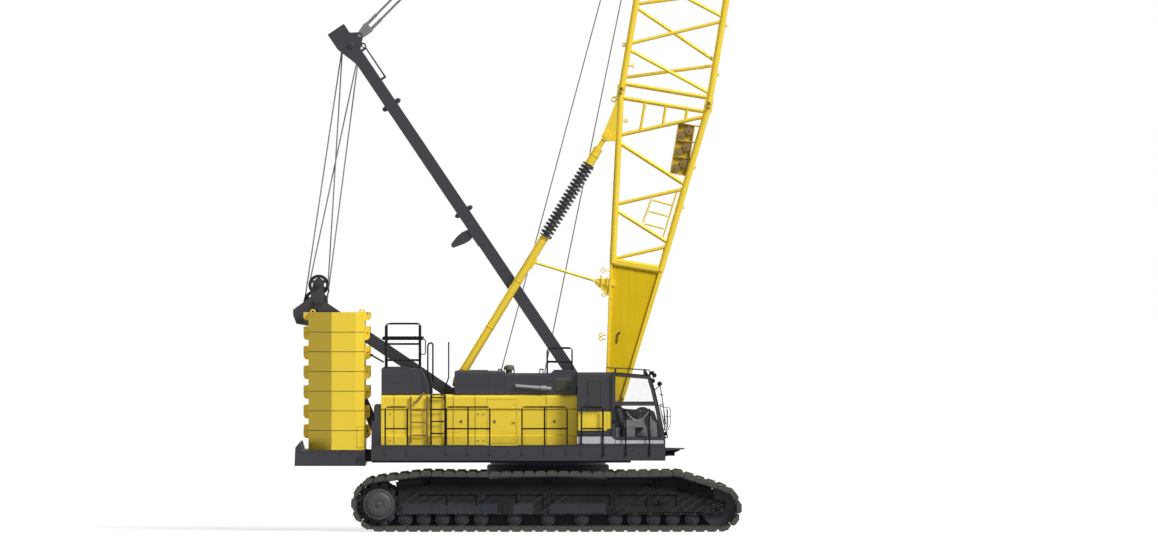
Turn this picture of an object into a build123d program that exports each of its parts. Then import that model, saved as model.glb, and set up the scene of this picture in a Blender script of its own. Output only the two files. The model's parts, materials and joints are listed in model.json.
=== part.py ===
from build123d import *
import math
import os

# Crawler crane with a lattice boom, parked with its boom raised.
# Frame: +X forward, +Y to the machine's left, +Z up; origin on the ground under the slewing axis.
# All sizes are millimetres and degrees.

# ---- working clearances -------------------------------------------------------------------
SEAT_GAP = 0.3          # between seated curved faces of one body
MOVE_GAP = 6.0          # between pieces that move past each other
PIN_GAP = 0.5           # radial, pin in its eye

# ---- tracks -------------------------------------------------------------------------------
TRACK_CENTRE_Y = 3200
SHOE_WIDTH = 1220
TRACK_THICKNESS = 146   # tread face to roller path
SHOE_COUNT = 70
REAR_TUMBLER = (-4063, 661, 661)    # x, z and outer radius of the loop round it
FRONT_IDLER = (4100, 560, 560)
TOP_RUN_Z = 1458
TOP_RUN_REAR_X = -3100
TOP_RUN_FRONT_X = 3240
TOP_RUN_BEND = 420      # radius of the bend where the top run turns down
LOWER_ROLLER_R = 172
LOWER_ROLLER_X = (-3420, -2975, -2520, -2058, -1596, -794, 12, 820, 1628, 2080, 2542, 3004, 3468)
UPPER_ROLLER_R = 80
UPPER_ROLLER_X = (-2900, 0, 3000)
ROLLER_WIDTH = 620
UPPER_ROLLER_WIDTH = 300
FRAME_WIDTH = 760       # track side frame across
FRAME_BOTTOM_Z = 416
FRAME_REAR_X = -3591
FRAME_NOSE_X = 4270
GUARD_PLATES = (        # x, z outlines of the plates over the front of each side frame
    ((2440, 1000), (2440, 1120), (2560, 1265), (3060, 1265), (3120, 1100), (3120, 900)),
    ((3330, 850), (3330, 1090), (3420, 1200), (3560, 1160), (3980, 1000), (3980, 760)),
)
WEB = 60                # thick plate of the track frames
ROLLER_CHANNEL_Z = 530  # roof of the channel that the lower rollers run in
WHEEL_GAP = 25          # round the tumbler and the idler in their forks
TUMBLER_TEETH = 12
DRIVE_COVER_R = 378

# ---- carbody and slewing ring -------------------------------------------------------------
CARBODY_R = 1420
CARBODY_BOTTOM_Z = 620
CARBODY_TOP_Z = 1400
AXLE_X = 1500           # centre of each axle beam, fore and aft of the slewing axis
AXLE_DEPTH = 640
AXLE_LOW_Z = 660
AXLE_HIGH_Z = 1180
RING_R = 1475
RING_WALL = 460
RING_TOP_Z = 1560
UPPER_RACE_R = 1400

# ---- revolving frame and decks ------------------------------------------------------------
DECK_BOTTOM_Z = 1640
DECK_TOP_Z = 2060
SIDE_DECK_BOTTOM_Z = 1700
DECK_REAR_X = -4250
DECK_FRONT_X = 2000
DECK_HALF_Y = 1240
WALKWAY_OUT_Y = 2750
CAB_DECK_FRONT_X = 2830
RAIL_Y = 2710
RAIL_TOP_Z = 3010
RAIL_MID_Z = 2470
RAIL_TUBE = 36
RAIL_CORNER = 110
WALKWAY_RAILS = ((-3930, -3360), (-2460, -1380), (-640, 480), (790, 1340))     # rear and front x of each
STEP_X = (2840, 3290)   # front step plate

# ---- machinery house ----------------------------------------------------------------------
HOUSE_REAR_X = -4017
HOUSE_FRONT_X = 702
HOUSE_IN_Y = 1290
HOUSE_OUT_Y = 2150
HOUSE_TOP_Z = 3291
HOUSE_RECESS = 35       # depth of the pressed middle band of the side panels
HOUSE_RECESS_LOW_Z = 2310
HOUSE_RECESS_HIGH_Z = 2925
HOUSE_DOOR_REAR_X = -1471
HOUSE_DOOR_FRONT_X = -753
HOUSE_DOOR_LOW_Z = 2110
HOUSE_DOOR_HIGH_Z = 3180
DOOR_WALL = 60
DOOR_GAP = 8
BAY_DEPTH = 560
ENGINE = (-3700, -1750, 1390, 2010, 3150)      # x, x, y, y and top z
ENGINE_ROOM_GAP = 60
HOODS = (               # rear x, front x, top z of each black cover on the house
    (-4010, -3060, 3920),
    (-2250, -1045, 3847),
    (-1040, 680, 3790),
)
HOOD_IN_Y = 1330
HOOD_OUT_Y = 2110
ROOF_RAIL_X = (-3930, -3080)
ROOF_RAIL_Z = (4110, 4500, 5010)    # middle rail, rail under the platform and top rail over the rear cover
ROOF_PLATFORM_Z = (4600, 4680)
MAST_RAIL = (-36, 600, 4420, 4070)  # rear x, front x, top and middle rail beside the mast foot
LADDERS = {             # rear x, front x, low and high z, and the rungs' z
    "house_ladder": (-3300, -2905, 2110, 3240, (2305, 2620, 2910)),
    "deck_ladder": (-2814, -2476, 2075, 3280, (2350, 2640, 2930, 3220)),
}
LADDER_Y = 2205
LADDER_RAIL_D = 42
LADDER_RUNG_D = 30
REAR_BOXES = ((-4180, -4020, 3040), (-4250, -4182, 2640))   # rear x, front x, top z behind each house

# ---- cab ----------------------------------------------------------------------------------
CAB_OUT_Y = 2620        # to the machine's right
CAB_IN_Y = 1500
CAB_WALL = 50
CAB_REAR_X = 1540
CAB_ROOF_REAR_Z = 3820
CAB_ROOF_FRONT = (2460, 3745)
CAB_FRONT = ((2570, 3393), (2662, 3003), (2754, 2541), (2829, 2188))
CAB_SILL_Z = 2190       # bottom of the doorway and windows
CAB_WAIST_Z = 3070      # middle rail of door and windows
CAB_POST = 75           # width of the cab's posts and rails
GLASS = 10
CAB_DOOR_THICKNESS = 45
CAB_DOOR_LAP = 25       # reach of the sliding door past its doorway
CAB_DOOR_TRAVEL = 780   # rearwards, outside the cabinet
CABINET_REAR_X = 712
CABINET_TOP_Z = 3825
CABINET_PANEL_LOW_Z = 2425
CABINET_PANEL_HIGH_Z = 2880
CABINET_PANEL_PROUD = 22

# ---- counterweight ------------------------------------------------------------------------
TRAY_REAR_X = -6100
TRAY_FRONT_X = -4400
TRAY_BOTTOM_Z = 1570
TRAY_TOP_Z = 1950
SLAB_REAR_X = -5770
SLAB_FRONT_X = -4420
SLAB_IN_Y = 950
SLAB_OUT_Y = 2500
SLAB_HEIGHT = 474
SLAB_COUNT = 7
SLAB_REAR_CHAMFER = 565
SLAB_FRONT_CHAMFER = 205
SLAB_LUG = 125
SLAB_LUG_WIDTH = 260
SLAB_LUG_BELOW = 190    # reach of each lug below its slab's top face
SLAB_LUG_ABOVE = 130

# ---- gantry -------------------------------------------------------------------------------
GANTRY_Y = 630
GANTRY_LEG_WIDTH = 180
GANTRY_LEG_DEPTH = 270
GANTRY_REAR_LEG_DEPTH = 220
GANTRY_FOOT = (-1250, 2560)
GANTRY_HEAD = (-5480, 5420)
GANTRY_REAR_FOOT = (-4100, 2300)
LOWER_SHEAVE_PIN = (-5619, 5510)
UPPER_SHEAVE_PIN = (-5547, 5929)
LOWER_SHEAVE_R = 295
UPPER_SHEAVE_R = 250
CHEEK = 10              # plates between the sheave lanes

# ---- mast ---------------------------------------------------------------------------------
MAST_FOOT = (799, 3461)
MAST_LEAN = 33.95       # degrees back from upright
MAST_Y = 700
MAST_PIN_R = 60
MAST_LEG_WIDTH = 180
MAST_LEG_DEPTH = 290
MAST_LENGTH = 10480
MAST_SHEAVE_S = MAST_LENGTH - 530   # along the mast from its foot
MAST_SHEAVE_R = 235
MAST_HEAD_DEPTH = 470
MAST_CROSS_S = (3300, 6500)
MAST_CROSS_SIZE = (180, 220)
PENDANT_S = MAST_LENGTH - 447
PENDANT_N = 307         # ahead of the mast's centreline

# ---- boom ---------------------------------------------------------------------------------
BOOM_FOOT = (1560, 2890)
BOOM_ANGLE = 80.5
BOOM_FOOT_Y = 900
BOOM_HALF_WIDTH = 1020  # chord centres
BOOM_HALF_DEPTH = 1070
CHORD_D = 160
LACING_D = 84
LACING_TRIM = 46        # lacing ends short of the chord's centreline
BASE_LENGTH = 7650
INSERT_LENGTH = 3050
TIP_LENGTH = 7620
JOINT_HALF = 45         # from a section joint to the end of its chords
JOINT_LUG = (190, 90)   # pin lug at the end of each chord, in the side plane and across
FOOT_PLATE_U = 3520     # end of the plated foot, along the boom
FOOT_PLATE_HALF_DEPTH = 585
FOOT_PLATE_HALF_WIDTH = 970
FOOT_HALF_DEPTH = 190
FOOT_EYE_R = 190
FOOT_PIN_R = 70
FOOT_LUG_WIDTH = 110
TIP_STRAIGHT = 3050
TIP_HALF_DEPTH = 400
TIP_HALF_WIDTH = 560
TIP_NARROW_U = 500      # from the end of the narrowing stretch to the tip
HEAD_PLATE = 50
TIP_SHEAVE_R = 330
TIP_SHEAVE_V = 800      # ahead of the boom's centreline
TIP_SHEAVE_U = 18150
BACK_SHEAVE_V = -860
BACK_SHEAVE_U = 17900
BACK_SHEAVE_R = 300
JIB_PIN = (-60, 18270, 40)      # v, u and radius of the jib foot bore in the head plates

# Side-face lacing: u on the rear chord, u on the front chord.
BASE_LACING = ((3614, 4133), (4803, 4220), (4927, 5579), (6424, 5667), (6588, 7391))
BASE_RING_U = (FOOT_PLATE_U, 7497)
BASE_BAR_V = (-453, 58, 577)    # short bars under the upper ring
INSERT_RIGHT_LACING = ((8675, 7935), (8804, 9717), (10520, 9810))
INSERT_LEFT_LACING = ((7995, 8653), (9737, 8754), (9800, 10460))
INSERT_RING_U = (7842, 10580)
TIP_RIGHT_LACING = (
    (10990, 11800), (12760, 11900), (12850, 13620), (14550, 13720), (14650, 15350), (16180, 15450),
)
TIP_LEFT_LACING = (
    (11800, 10990), (11900, 12760), (13720, 12850), (13820, 14550), (15350, 14650), (15450, 16180),
)
TIP_RING_U = (10820, 17560)
# Front- and rear-face lacing: u on the right chord, u on the left chord.
BASE_FACE_LACING = ((3640, 4900), (6200, 5000), (6300, 7380))
INSERT_FACE_LACING = ((7960, 9100), (10460, 9200))
TIP_FACE_LACING = ((10940, 12200), (13560, 12300), (13660, 14860), (16060, 14960), (16160, 17200))

# ---- pendants and backstops ---------------------------------------------------------------
PENDANT_U = 17950
PENDANT_V = -430
PENDANT_Y = 700
PENDANT_STUB_R = 60     # stub on the boom tip that the pendant's far yoke lines up with
PENDANT_D = 36
PENDANT_SPREAD = 158    # between the two ropes of one pendant
YOKE_PLATE = 60
YOKE_LENGTH = 330
YOKE_PIN_R = 40
SOCKET_LENGTH = 320
SOCKET_D = 58
STRUT_Y = 1100
STRUT_FOOT = (-2238, 3530)
STRUT_SEAT_R = 70
STRUT_PIN_R = 45
STRUT_TUBE_D = 205
STRUT_SPRING = (4170, 6220)     # along the strut
STRUT_SPRING_D = 330
STRUT_SPRING_DISCS = 9
STRUT_TOP = (6510, -1259)       # u and v of the pin on the boom
LINK_D = 60
LINK_PIN_R = 28
LINK_EYE_R = 58
LINK_S = 3480                   # along the strut, where the link bar leaves it
LINK_CLAMP = (3018, -870)       # u and v of the link bar's pin behind the boom's foot plate

# ---- winches and ropes --------------------------------------------------------------------
ROPE_D = 28
ROPE_GAP = 6            # between a rope and the groove or drum it leaves
GROOVE_DEPTH = 45
SHEAVE_PIN_R = 45
FALL_PITCH = 110
MAST_SHEAVE_COUNT = 6
TIP_SHEAVE_COUNT = 4
TIP_SHEAVE_PITCH = 150
HOIST_ROPE_Y = 150
DRUM_HALF_WIDTH = 430
DRUM_FLANGE = 35
DRUMS = {               # x, z, barrel radius, flange radius
    "main_drum": (33, 2624, 330, 470),
    "aux_drum": (-1106, 2603, 330, 470),
    "boom_hoist_drum": (-2960, 2640, 250, 390),
}
WINCH_PLATE_Y = 470
WINCH_PLATE = 40
DRUM_BEARING_R = 150

# ---- hook ---------------------------------------------------------------------------------
HOOK_DROP = 2900        # tip sheave pin to block pin
HOOK_SHEAVE_R = 285
HOOK_R = 190
HOOK_BOWL_R = 95
HOOK_THICKNESS = 110


# ---- small tools --------------------------------------------------------------------------
def point(foot, lean, s, n):
    """Point s along and n ahead of a member that leans forward from upright by lean degrees."""
    a = math.radians(lean)
    return (foot[0] + s * math.sin(a) + n * math.cos(a), foot[1] + s * math.cos(a) - n * math.sin(a))


def boom_point(u, v):
    """Point on the boom in the machine's side plane."""
    return point(BOOM_FOOT, 90 - BOOM_ANGLE, u, v)


def mast_point(s, n):
    """Point on the mast in the machine's side plane."""
    return point(MAST_FOOT, -MAST_LEAN, s, n)


def box(x0, x1, y0, y1, z0, z1):
    """Box between two corners."""
    return Pos((x0 + x1) / 2, (y0 + y1) / 2, (z0 + z1) / 2) * Box(abs(x1 - x0), abs(y1 - y0), abs(z1 - z0))


def rod(p, q, diameter):
    """Round bar between two points, drawn with two arcs so that its end faces have no seam."""
    axis = Vector(*q) - Vector(*p)
    r = diameter / 2
    arcs = [ThreePointArc((r, 0, 0), (0, r, 0), (-r, 0, 0)), ThreePointArc((-r, 0, 0), (0, -r, 0), (r, 0, 0))]
    upright = extrude(make_face(Wire(arcs)), amount=axis.length, dir=(0, 0, 1), clean=False)
    return Plane(origin=p, z_dir=axis) * upright


def disc(radius, z0, z1):
    """Upright cylinder on the slewing axis."""
    return Pos(0, 0, z0) * Cylinder(radius, z1 - z0, align=(Align.CENTER, Align.CENTER, Align.MIN))


def cross_pin(x, z, y0, y1, radius):
    """Cylinder along Y between two Y values."""
    return rod((x, min(y0, y1), z), (x, max(y0, y1), z), 2 * radius)


def plate(outline, y0, y1):
    """Outline of (x, z) points, extruded across from y0 to y1."""
    face = make_face(Polyline(*[(x, 0, z) for x, z in outline], close=True))
    return Pos(0, min(y0, y1), 0) * extrude(face, amount=abs(y1 - y0), dir=(0, 1, 0))


def bar(p, q, depth, y0, y1):
    """Flat-sided bar between two (x, z) points, as deep as given in the side plane."""
    dx, dz = q[0] - p[0], q[1] - p[1]
    length = math.hypot(dx, dz)
    nx, nz = -dz / length * depth / 2, dx / length * depth / 2
    outline = [(p[0] + nx, p[1] + nz), (p[0] - nx, p[1] - nz), (q[0] - nx, q[1] - nz), (q[0] + nx, q[1] + nz)]
    return plate(outline, y0, y1)


def group(shapes):
    """Solids that stay separate in one node."""
    solids = []
    for shape in shapes:
        solids.extend(shape.solids())
    return Compound(children=solids)


def fused(shapes):
    """One welded piece."""
    return Part() + list(shapes)


def between(p, q, share):
    """Point part of the way from p to q."""
    return tuple(a + (b - a) * share for a, b in zip(p, q))


# ---- tracks -------------------------------------------------------------------------------
def loop_circles():
    """Circles the loop runs round, counter-clockwise from the rear tumbler, as (x, z, radius)."""
    bend_z = TOP_RUN_Z - TOP_RUN_BEND
    bends = [(x, bend_z, TOP_RUN_BEND) for x in (TOP_RUN_FRONT_X, TOP_RUN_REAR_X)]
    return [REAR_TUMBLER, FRONT_IDLER, *bends]


def loop_runs(inset):
    """Straight runs of the loop moved inwards by inset: (start, end, circle at the end)."""
    circles = [(x, z, r - inset) for x, z, r in loop_circles()]
    runs = []
    for (x0, z0, r0), (x1, z1, r1) in zip(circles, circles[1:] + circles[:1]):
        dx, dz = x1 - x0, z1 - z0
        heading = math.atan2(dz, dx) - math.asin((r1 - r0) / math.hypot(dx, dz))
        nx, nz = math.sin(heading), -math.cos(heading)
        runs.append(((x0 + nx * r0, z0 + nz * r0), (x1 + nx * r1, z1 + nz * r1), (x1, z1, r1)))
    return runs


def loop_stations(inset):
    """The loop as runs and bends that can be walked: (kind, length, data)."""
    runs = loop_runs(inset)
    stations = []
    for i, (start, end, circle) in enumerate(runs):
        following = runs[(i + 1) % len(runs)][0]
        a0 = math.atan2(end[1] - circle[1], end[0] - circle[0])
        a1 = math.atan2(following[1] - circle[1], following[0] - circle[0])
        sweep = (a1 - a0) % (2 * math.pi)
        stations.append(("line", math.dist(start, end), (start, end)))
        stations.append(("arc", sweep * circle[2], (circle, a0, sweep)))
    return stations


def walk(stations, distance):
    """Point and outward normal at a distance along the loop."""
    distance %= sum(length for _, length, _ in stations)
    for kind, length, data in stations:
        if distance <= length:
            break
        distance -= length
    if kind == "line":
        (x0, z0), (x1, z1) = data
        tx, tz = (x1 - x0) / length, (z1 - z0) / length
        return (x0 + tx * distance, z0 + tz * distance), (tz, -tx)
    (cx, cz, r), a0, sweep = data
    a = a0 + sweep * distance / length
    return (cx + r * math.cos(a), cz + r * math.sin(a)), (math.cos(a), math.sin(a))


def roller_path_face():
    """Face inside the roller path of the loop, with true arcs."""
    edges = []
    for kind, _, data in loop_stations(TRACK_THICKNESS):
        if kind == "line":
            (x0, z0), (x1, z1) = data
            edges.append(Line((x0, 0, z0), (x1, 0, z1)))
        else:
            (cx, cz, r), a0, sweep = data
            turns = [a0 + sweep * k / 2 for k in range(3)]
            edges.append(ThreePointArc(*[(cx + r * math.cos(a), 0, cz + r * math.sin(a)) for a in turns]))
    return make_face(Wire(edges))


def track_loop(side):
    """One track: pads with a bevelled tread face, hinged edge to edge round the loop."""
    # share of the pitch from the pad's middle, depth below the tread face
    pad = ((-0.47, 62), (-0.44, 18), (-0.34, 0), (0.34, 0), (0.44, 18), (0.47, 62))
    stations = loop_stations(0)
    pitch = sum(length for _, length, _ in stations) / SHOE_COUNT
    outline = []
    for i in range(SHOE_COUNT):
        for share, depth in pad:
            (x, z), (nx, nz) = walk(stations, (i + 0.5 + share) * pitch)
            outline.append((x - nx * depth, z - nz * depth))
    y0 = side * TRACK_CENTRE_Y - SHOE_WIDTH / 2
    solid = plate(outline, y0, y0 + SHOE_WIDTH)
    hole = Pos(0, y0 - 1, 0) * extrude(roller_path_face(), amount=SHOE_WIDTH + 2, dir=(0, 1, 0))
    return solid - hole


def track_frame(side):
    """Side frame: box beam, forked for the idler and the tumbler, with a channel over the lower rollers."""
    cy, half = side * TRACK_CENTRE_Y, FRAME_WIDTH / 2
    outline = [(FRAME_REAR_X, FRAME_BOTTOM_Z), (FRAME_NOSE_X - 90, FRAME_BOTTOM_Z + 60), (FRAME_NOSE_X, 720),
               (3300, 930), (2243, 1113), (-2628, 1176), (FRAME_REAR_X, 992)]
    beam = plate(outline, cy - half, cy + half)
    in0, in1 = cy - half + WEB, cy + half - WEB
    idler_reach = FRONT_IDLER[2] - TRACK_THICKNESS + WHEEL_GAP
    tumbler_reach = REAR_TUMBLER[2] - TRACK_THICKNESS + WHEEL_GAP
    cuts = [
        box(FRONT_IDLER[0] - idler_reach, FRAME_NOSE_X + 100, in0, in1, 100, 1400),
        cross_pin(REAR_TUMBLER[0], REAR_TUMBLER[1], in0, in1, tumbler_reach),
        box(FRAME_REAR_X - 10, FRONT_IDLER[0], in0, in1, FRAME_BOTTOM_Z - 10, ROLLER_CHANNEL_Z),
    ]
    for x0, x1 in ((-3100, -1700), (-1500, -100), (100, 1500), (1700, 3100)):
        cuts.append(box(x0, x1, cy + side * (half - 30), cy + side * (half + 5), 620, 900))
    inner = cy - side * half
    arm = bar((FRAME_REAR_X + 200, 700), REAR_TUMBLER[:2], 520, inner, inner + side * WEB)
    hub = cross_pin(*REAR_TUMBLER[:2], inner, inner + side * WEB, 320)
    pads = []
    for x in UPPER_ROLLER_X:
        top = TOP_RUN_Z - TRACK_THICKNESS - SEAT_GAP - 2 * UPPER_ROLLER_R
        for k in (-1, 1):
            y = cy + k * (UPPER_ROLLER_WIDTH / 2 + 1)
            pads.append(box(x - 70, x + 70, y, y + k * 40, 900, top + UPPER_ROLLER_R + 40))
    guards = [plate(shape, cy + side * (half - 55), cy + side * (half - 30)) for shape in GUARD_PLATES]
    return fused([beam - cuts, arm, hub] + pads + guards)


def track_rollers():
    """All lower and upper rollers of both side frames."""
    parts = []
    lower_z = TRACK_THICKNESS + SEAT_GAP + LOWER_ROLLER_R
    upper_z = TOP_RUN_Z - TRACK_THICKNESS - SEAT_GAP - UPPER_ROLLER_R
    for side in (-1, 1):
        cy = side * TRACK_CENTRE_Y
        half, waist = ROLLER_WIDTH / 2, 90
        for x in LOWER_ROLLER_X:
            body = cross_pin(x, lower_z, cy - half, cy + half, LOWER_ROLLER_R)
            ring = cross_pin(x, lower_z, cy - waist, cy + waist, LOWER_ROLLER_R + 1)
            core = cross_pin(x, lower_z, cy - waist, cy + waist, LOWER_ROLLER_R - 50)
            parts.append(body - (ring - core))
        half = UPPER_ROLLER_WIDTH / 2
        parts.extend(cross_pin(x, upper_z, cy - half, cy + half, UPPER_ROLLER_R) for x in UPPER_ROLLER_X)
    return group(parts)


def drive_tumblers():
    """Toothed tumblers that drive the pads."""
    x, z, outer = REAR_TUMBLER
    radius = outer - TRACK_THICKNESS - SEAT_GAP
    # share of the tooth pitch, depth below the tooth tip
    tooth = ((0.0, 70), (0.2, 0), (0.7, 0), (0.9, 70))
    outline = []
    for i in range(TUMBLER_TEETH):
        for share, depth in tooth:
            a = 2 * math.pi * (i + share) / TUMBLER_TEETH
            outline.append((x + (radius - depth) * math.cos(a), z + (radius - depth) * math.sin(a)))
    half = FRAME_WIDTH / 2 - WEB - SEAT_GAP
    places = (-TRACK_CENTRE_Y, TRACK_CENTRE_Y)
    return group([plate(outline, y - half, y + half) for y in places])


def idlers():
    """Front idlers with a guide groove and their shafts in the frame's fork."""
    x, z, outer = FRONT_IDLER
    radius = outer - TRACK_THICKNESS - SEAT_GAP
    parts = []
    for side in (-1, 1):
        cy = side * TRACK_CENTRE_Y
        half = FRAME_WIDTH / 2 - WEB - SEAT_GAP
        wheel = cross_pin(x, z, cy - half, cy + half, radius)
        y0, y1 = cy - 90, cy + 90
        groove = cross_pin(x, z, y0, y1, radius + 1) - cross_pin(x, z, y0, y1, radius - 60)
        parts.append(wheel - groove)
    return group(parts)


def final_drives():
    """Drive covers outside and travel motors inside each tumbler."""
    x, z = REAR_TUMBLER[:2]
    parts = []
    for side in (-1, 1):
        cy, half = side * TRACK_CENTRE_Y, FRAME_WIDTH / 2
        face = cy + side * (half - WEB)
        cover = [cross_pin(x, z, face, face + side * out, r) for out, r in ((170, DRIVE_COVER_R), (215, 300))]
        inner = cy - side * half
        motor = [cross_pin(x, z, inner, inner - side * into, r) for into, r in ((240, 250), (460, 150))]
        parts.extend([fused(cover), fused(motor)])
    return group(parts)


# ---- carbody ------------------------------------------------------------------------------
def carbody():
    """Centre drum with two axle beams that reach the side frames."""
    reach = TRACK_CENTRE_Y - FRAME_WIDTH / 2
    shapes = [disc(CARBODY_R, CARBODY_BOTTOM_Z, CARBODY_TOP_Z)]
    shapes.append(box(-AXLE_X, AXLE_X, -900, 900, AXLE_LOW_Z, AXLE_HIGH_Z))
    for x in (-AXLE_X, AXLE_X):
        shapes.append(box(x - AXLE_DEPTH / 2, x + AXLE_DEPTH / 2, -reach, reach, AXLE_LOW_Z, AXLE_HIGH_Z))
    return fused(shapes)


def slew_ring():
    """Fixed race on the carbody."""
    hole = disc(RING_R - RING_WALL, CARBODY_TOP_Z - 1, RING_TOP_Z + 1)
    return disc(RING_R, CARBODY_TOP_Z, RING_TOP_Z) - hole


# ---- revolving frame ----------------------------------------------------------------------
def revolving_frame():
    """Deep centre deck with the upper race under it."""
    deck = box(DECK_REAR_X, DECK_FRONT_X, -DECK_HALF_Y, DECK_HALF_Y, DECK_BOTTOM_Z, DECK_TOP_Z)
    return fused([deck, disc(UPPER_RACE_R, RING_TOP_Z + MOVE_GAP, DECK_BOTTOM_Z + 1)])


def side_decks():
    """Outrigger decks that carry the house, the walkways and the cab, with the front step."""
    right = box(DECK_REAR_X, CAB_DECK_FRONT_X, -WALKWAY_OUT_Y, -DECK_HALF_Y, SIDE_DECK_BOTTOM_Z, DECK_TOP_Z)
    left = box(DECK_REAR_X, DECK_FRONT_X, DECK_HALF_Y, WALKWAY_OUT_Y, SIDE_DECK_BOTTOM_Z, DECK_TOP_Z)
    x0, x1 = STEP_X
    step = plate([(x0 - 20, 1940), (x1, 1975), (x1, 2000), (x0 - 20, 2010)], -CAB_OUT_Y, -CAB_IN_Y)
    return group([fused([right, step]), left])


def foot_brackets():
    """Clevis plates of the boom feet, posts of the mast feet and seats of the backstops."""
    parts = []
    bx, bz = BOOM_FOOT
    mx, mz = MAST_FOOT
    sx, sz = STRUT_FOOT
    gap = FOOT_LUG_WIDTH / 2 + MOVE_GAP
    leg = MAST_LEG_WIDTH / 2 + MOVE_GAP
    boom_ear = [(bx - 380, DECK_TOP_Z), (bx + 330, DECK_TOP_Z), (bx + 200, bz + 60), (bx + 90, bz + 190),
                (bx - 90, bz + 190), (bx - 200, bz + 60)]
    mast_ear = [(mx - 620, DECK_TOP_Z), (mx + 330, DECK_TOP_Z), (mx + 160, mz + 20), (mx + 90, mz + 150),
                (mx - 90, mz + 150), (mx - 200, mz + 20)]
    seat = [(sx - 420, DECK_TOP_Z), (sx + 160, DECK_TOP_Z), (sx + 170, sz - 220),
            (sx + 20, sz - STRUT_SEAT_R - MOVE_GAP), (sx - 150, sz - STRUT_SEAT_R - 30)]
    for side in (-1, 1):
        by, my = side * BOOM_FOOT_Y, side * MAST_Y
        ears = [plate(boom_ear, by + k * gap, by + k * (gap + 50)) for k in (-1, 1)]
        parts.append(fused(ears + [cross_pin(bx, bz, by - gap - 70, by + gap + 70, FOOT_PIN_R)]))
        inner, outer = my - side * leg, my + side * leg
        posts = [plate(mast_ear, inner, inner - side * 40), plate(mast_ear, outer, outer + side * 40)]
        parts.append(fused(posts + [cross_pin(mx, mz, inner - side * 60, outer + side * 60, MAST_PIN_R)]))
        parts.append(plate(seat, side * (STRUT_Y - 90), side * (STRUT_Y + 90)))
    return group(parts)


def house_profile(side):
    """Cross-section of the house as (y, z), with the pressed middle band."""
    out, recess = HOUSE_OUT_Y, HOUSE_RECESS
    points = [(HOUSE_IN_Y, DECK_TOP_Z), (out, DECK_TOP_Z), (out, HOUSE_RECESS_LOW_Z - 20),
              (out - recess, HOUSE_RECESS_LOW_Z), (out - recess, HOUSE_RECESS_HIGH_Z),
              (out, HOUSE_RECESS_HIGH_Z + 25), (out, HOUSE_TOP_Z - 70), (out - 70, HOUSE_TOP_Z), (HOUSE_IN_Y, HOUSE_TOP_Z)]
    return [(side * y, z) for y, z in points]


def house_block(side, x0, x1):
    """Length of the house between two X values."""
    face = make_face(Polyline(*[(x0, y, z) for y, z in house_profile(side)], close=True))
    return extrude(face, amount=x1 - x0, dir=(1, 0, 0))


def house(side):
    """House of one side, with an open bay behind its door; the left one has the engine room."""
    body = house_block(side, HOUSE_REAR_X, HOUSE_FRONT_X)
    y0, y1 = side * (HOUSE_OUT_Y + 10), side * (HOUSE_OUT_Y - BAY_DEPTH)
    body -= box(HOUSE_DOOR_REAR_X, HOUSE_DOOR_FRONT_X, y0, y1, HOUSE_DOOR_LOW_Z, HOUSE_DOOR_HIGH_Z)
    if side > 0:
        x0, x1, y0, y1, top = ENGINE
        gap = ENGINE_ROOM_GAP
        body -= box(x0 - gap, x1 + gap, y0 - gap, y1 + gap, DECK_TOP_Z - 1, top + gap)
    return body


def house_door(side):
    """Door panel that closes the bay and follows the house's pressed side."""
    x0, x1 = HOUSE_DOOR_REAR_X + DOOR_GAP, HOUSE_DOOR_FRONT_X - DOOR_GAP
    inner = HOUSE_OUT_Y - HOUSE_RECESS - DOOR_WALL
    return house_block(side, x0, x1) & box(x0 - 1, x1 + 1, side * inner, side * (HOUSE_OUT_Y + 1),
                                           HOUSE_DOOR_LOW_Z + DOOR_GAP, HOUSE_DOOR_HIGH_Z - DOOR_GAP)


def hoods():
    """Black covers on top of both houses and the boxes behind them."""
    parts = []
    for side in (-1, 1):
        for x0, x1, top in HOODS:
            cover = box(x0, x1, side * HOOD_IN_Y, side * HOOD_OUT_Y, HOUSE_TOP_Z, top)
            edges = cover.edges().filter_by(Axis.X).group_by(Axis.Z)[-1]
            parts.append(chamfer(edges, 45))
        y0, y1 = side * HOOD_IN_Y, side * HOOD_OUT_Y
        parts.append(fused([box(x0, x1 + 3, y0, y1, DECK_TOP_Z, top) for x0, x1, top in REAR_BOXES]))
    return group(parts)


def engine():
    """Engine as one closed block inside the left house."""
    x0, x1, y0, y1, top = ENGINE
    return box(x0, x1, y0, y1, DECK_TOP_Z, top)


def rail_frame(x0, x1, z0, z1, mids, posts, y):
    """Tube rail with rounded top corners: feet at z0, top at z1, middle rails and inner posts."""
    t = RAIL_TUBE
    outer = make_face(Polyline((x0, 0, z0), (x1, 0, z0), (x1, 0, z1), (x0, 0, z1), close=True))
    corners = outer.vertices().group_by(Axis.Z)[-1]
    face = fillet(corners, RAIL_CORNER)
    xs = [x0 + t] + [v for post in posts for v in (post - t / 2, post + t / 2)] + [x1 - t]
    zs = [z0] + [v for mid in mids for v in (mid - t / 2, mid + t / 2)] + [z1 - t]
    for left, right in zip(xs[::2], xs[1::2]):
        for low, high in zip(zs[::2], zs[1::2]):
            low = low - 1 if low == z0 else low
            window = Polyline((left, 0, low), (right, 0, low), (right, 0, high), (left, 0, high), close=True)
            face -= make_face(window)
    return Pos(0, y - t / 2, 0) * extrude(face, amount=t, dir=(0, 1, 0))


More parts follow.
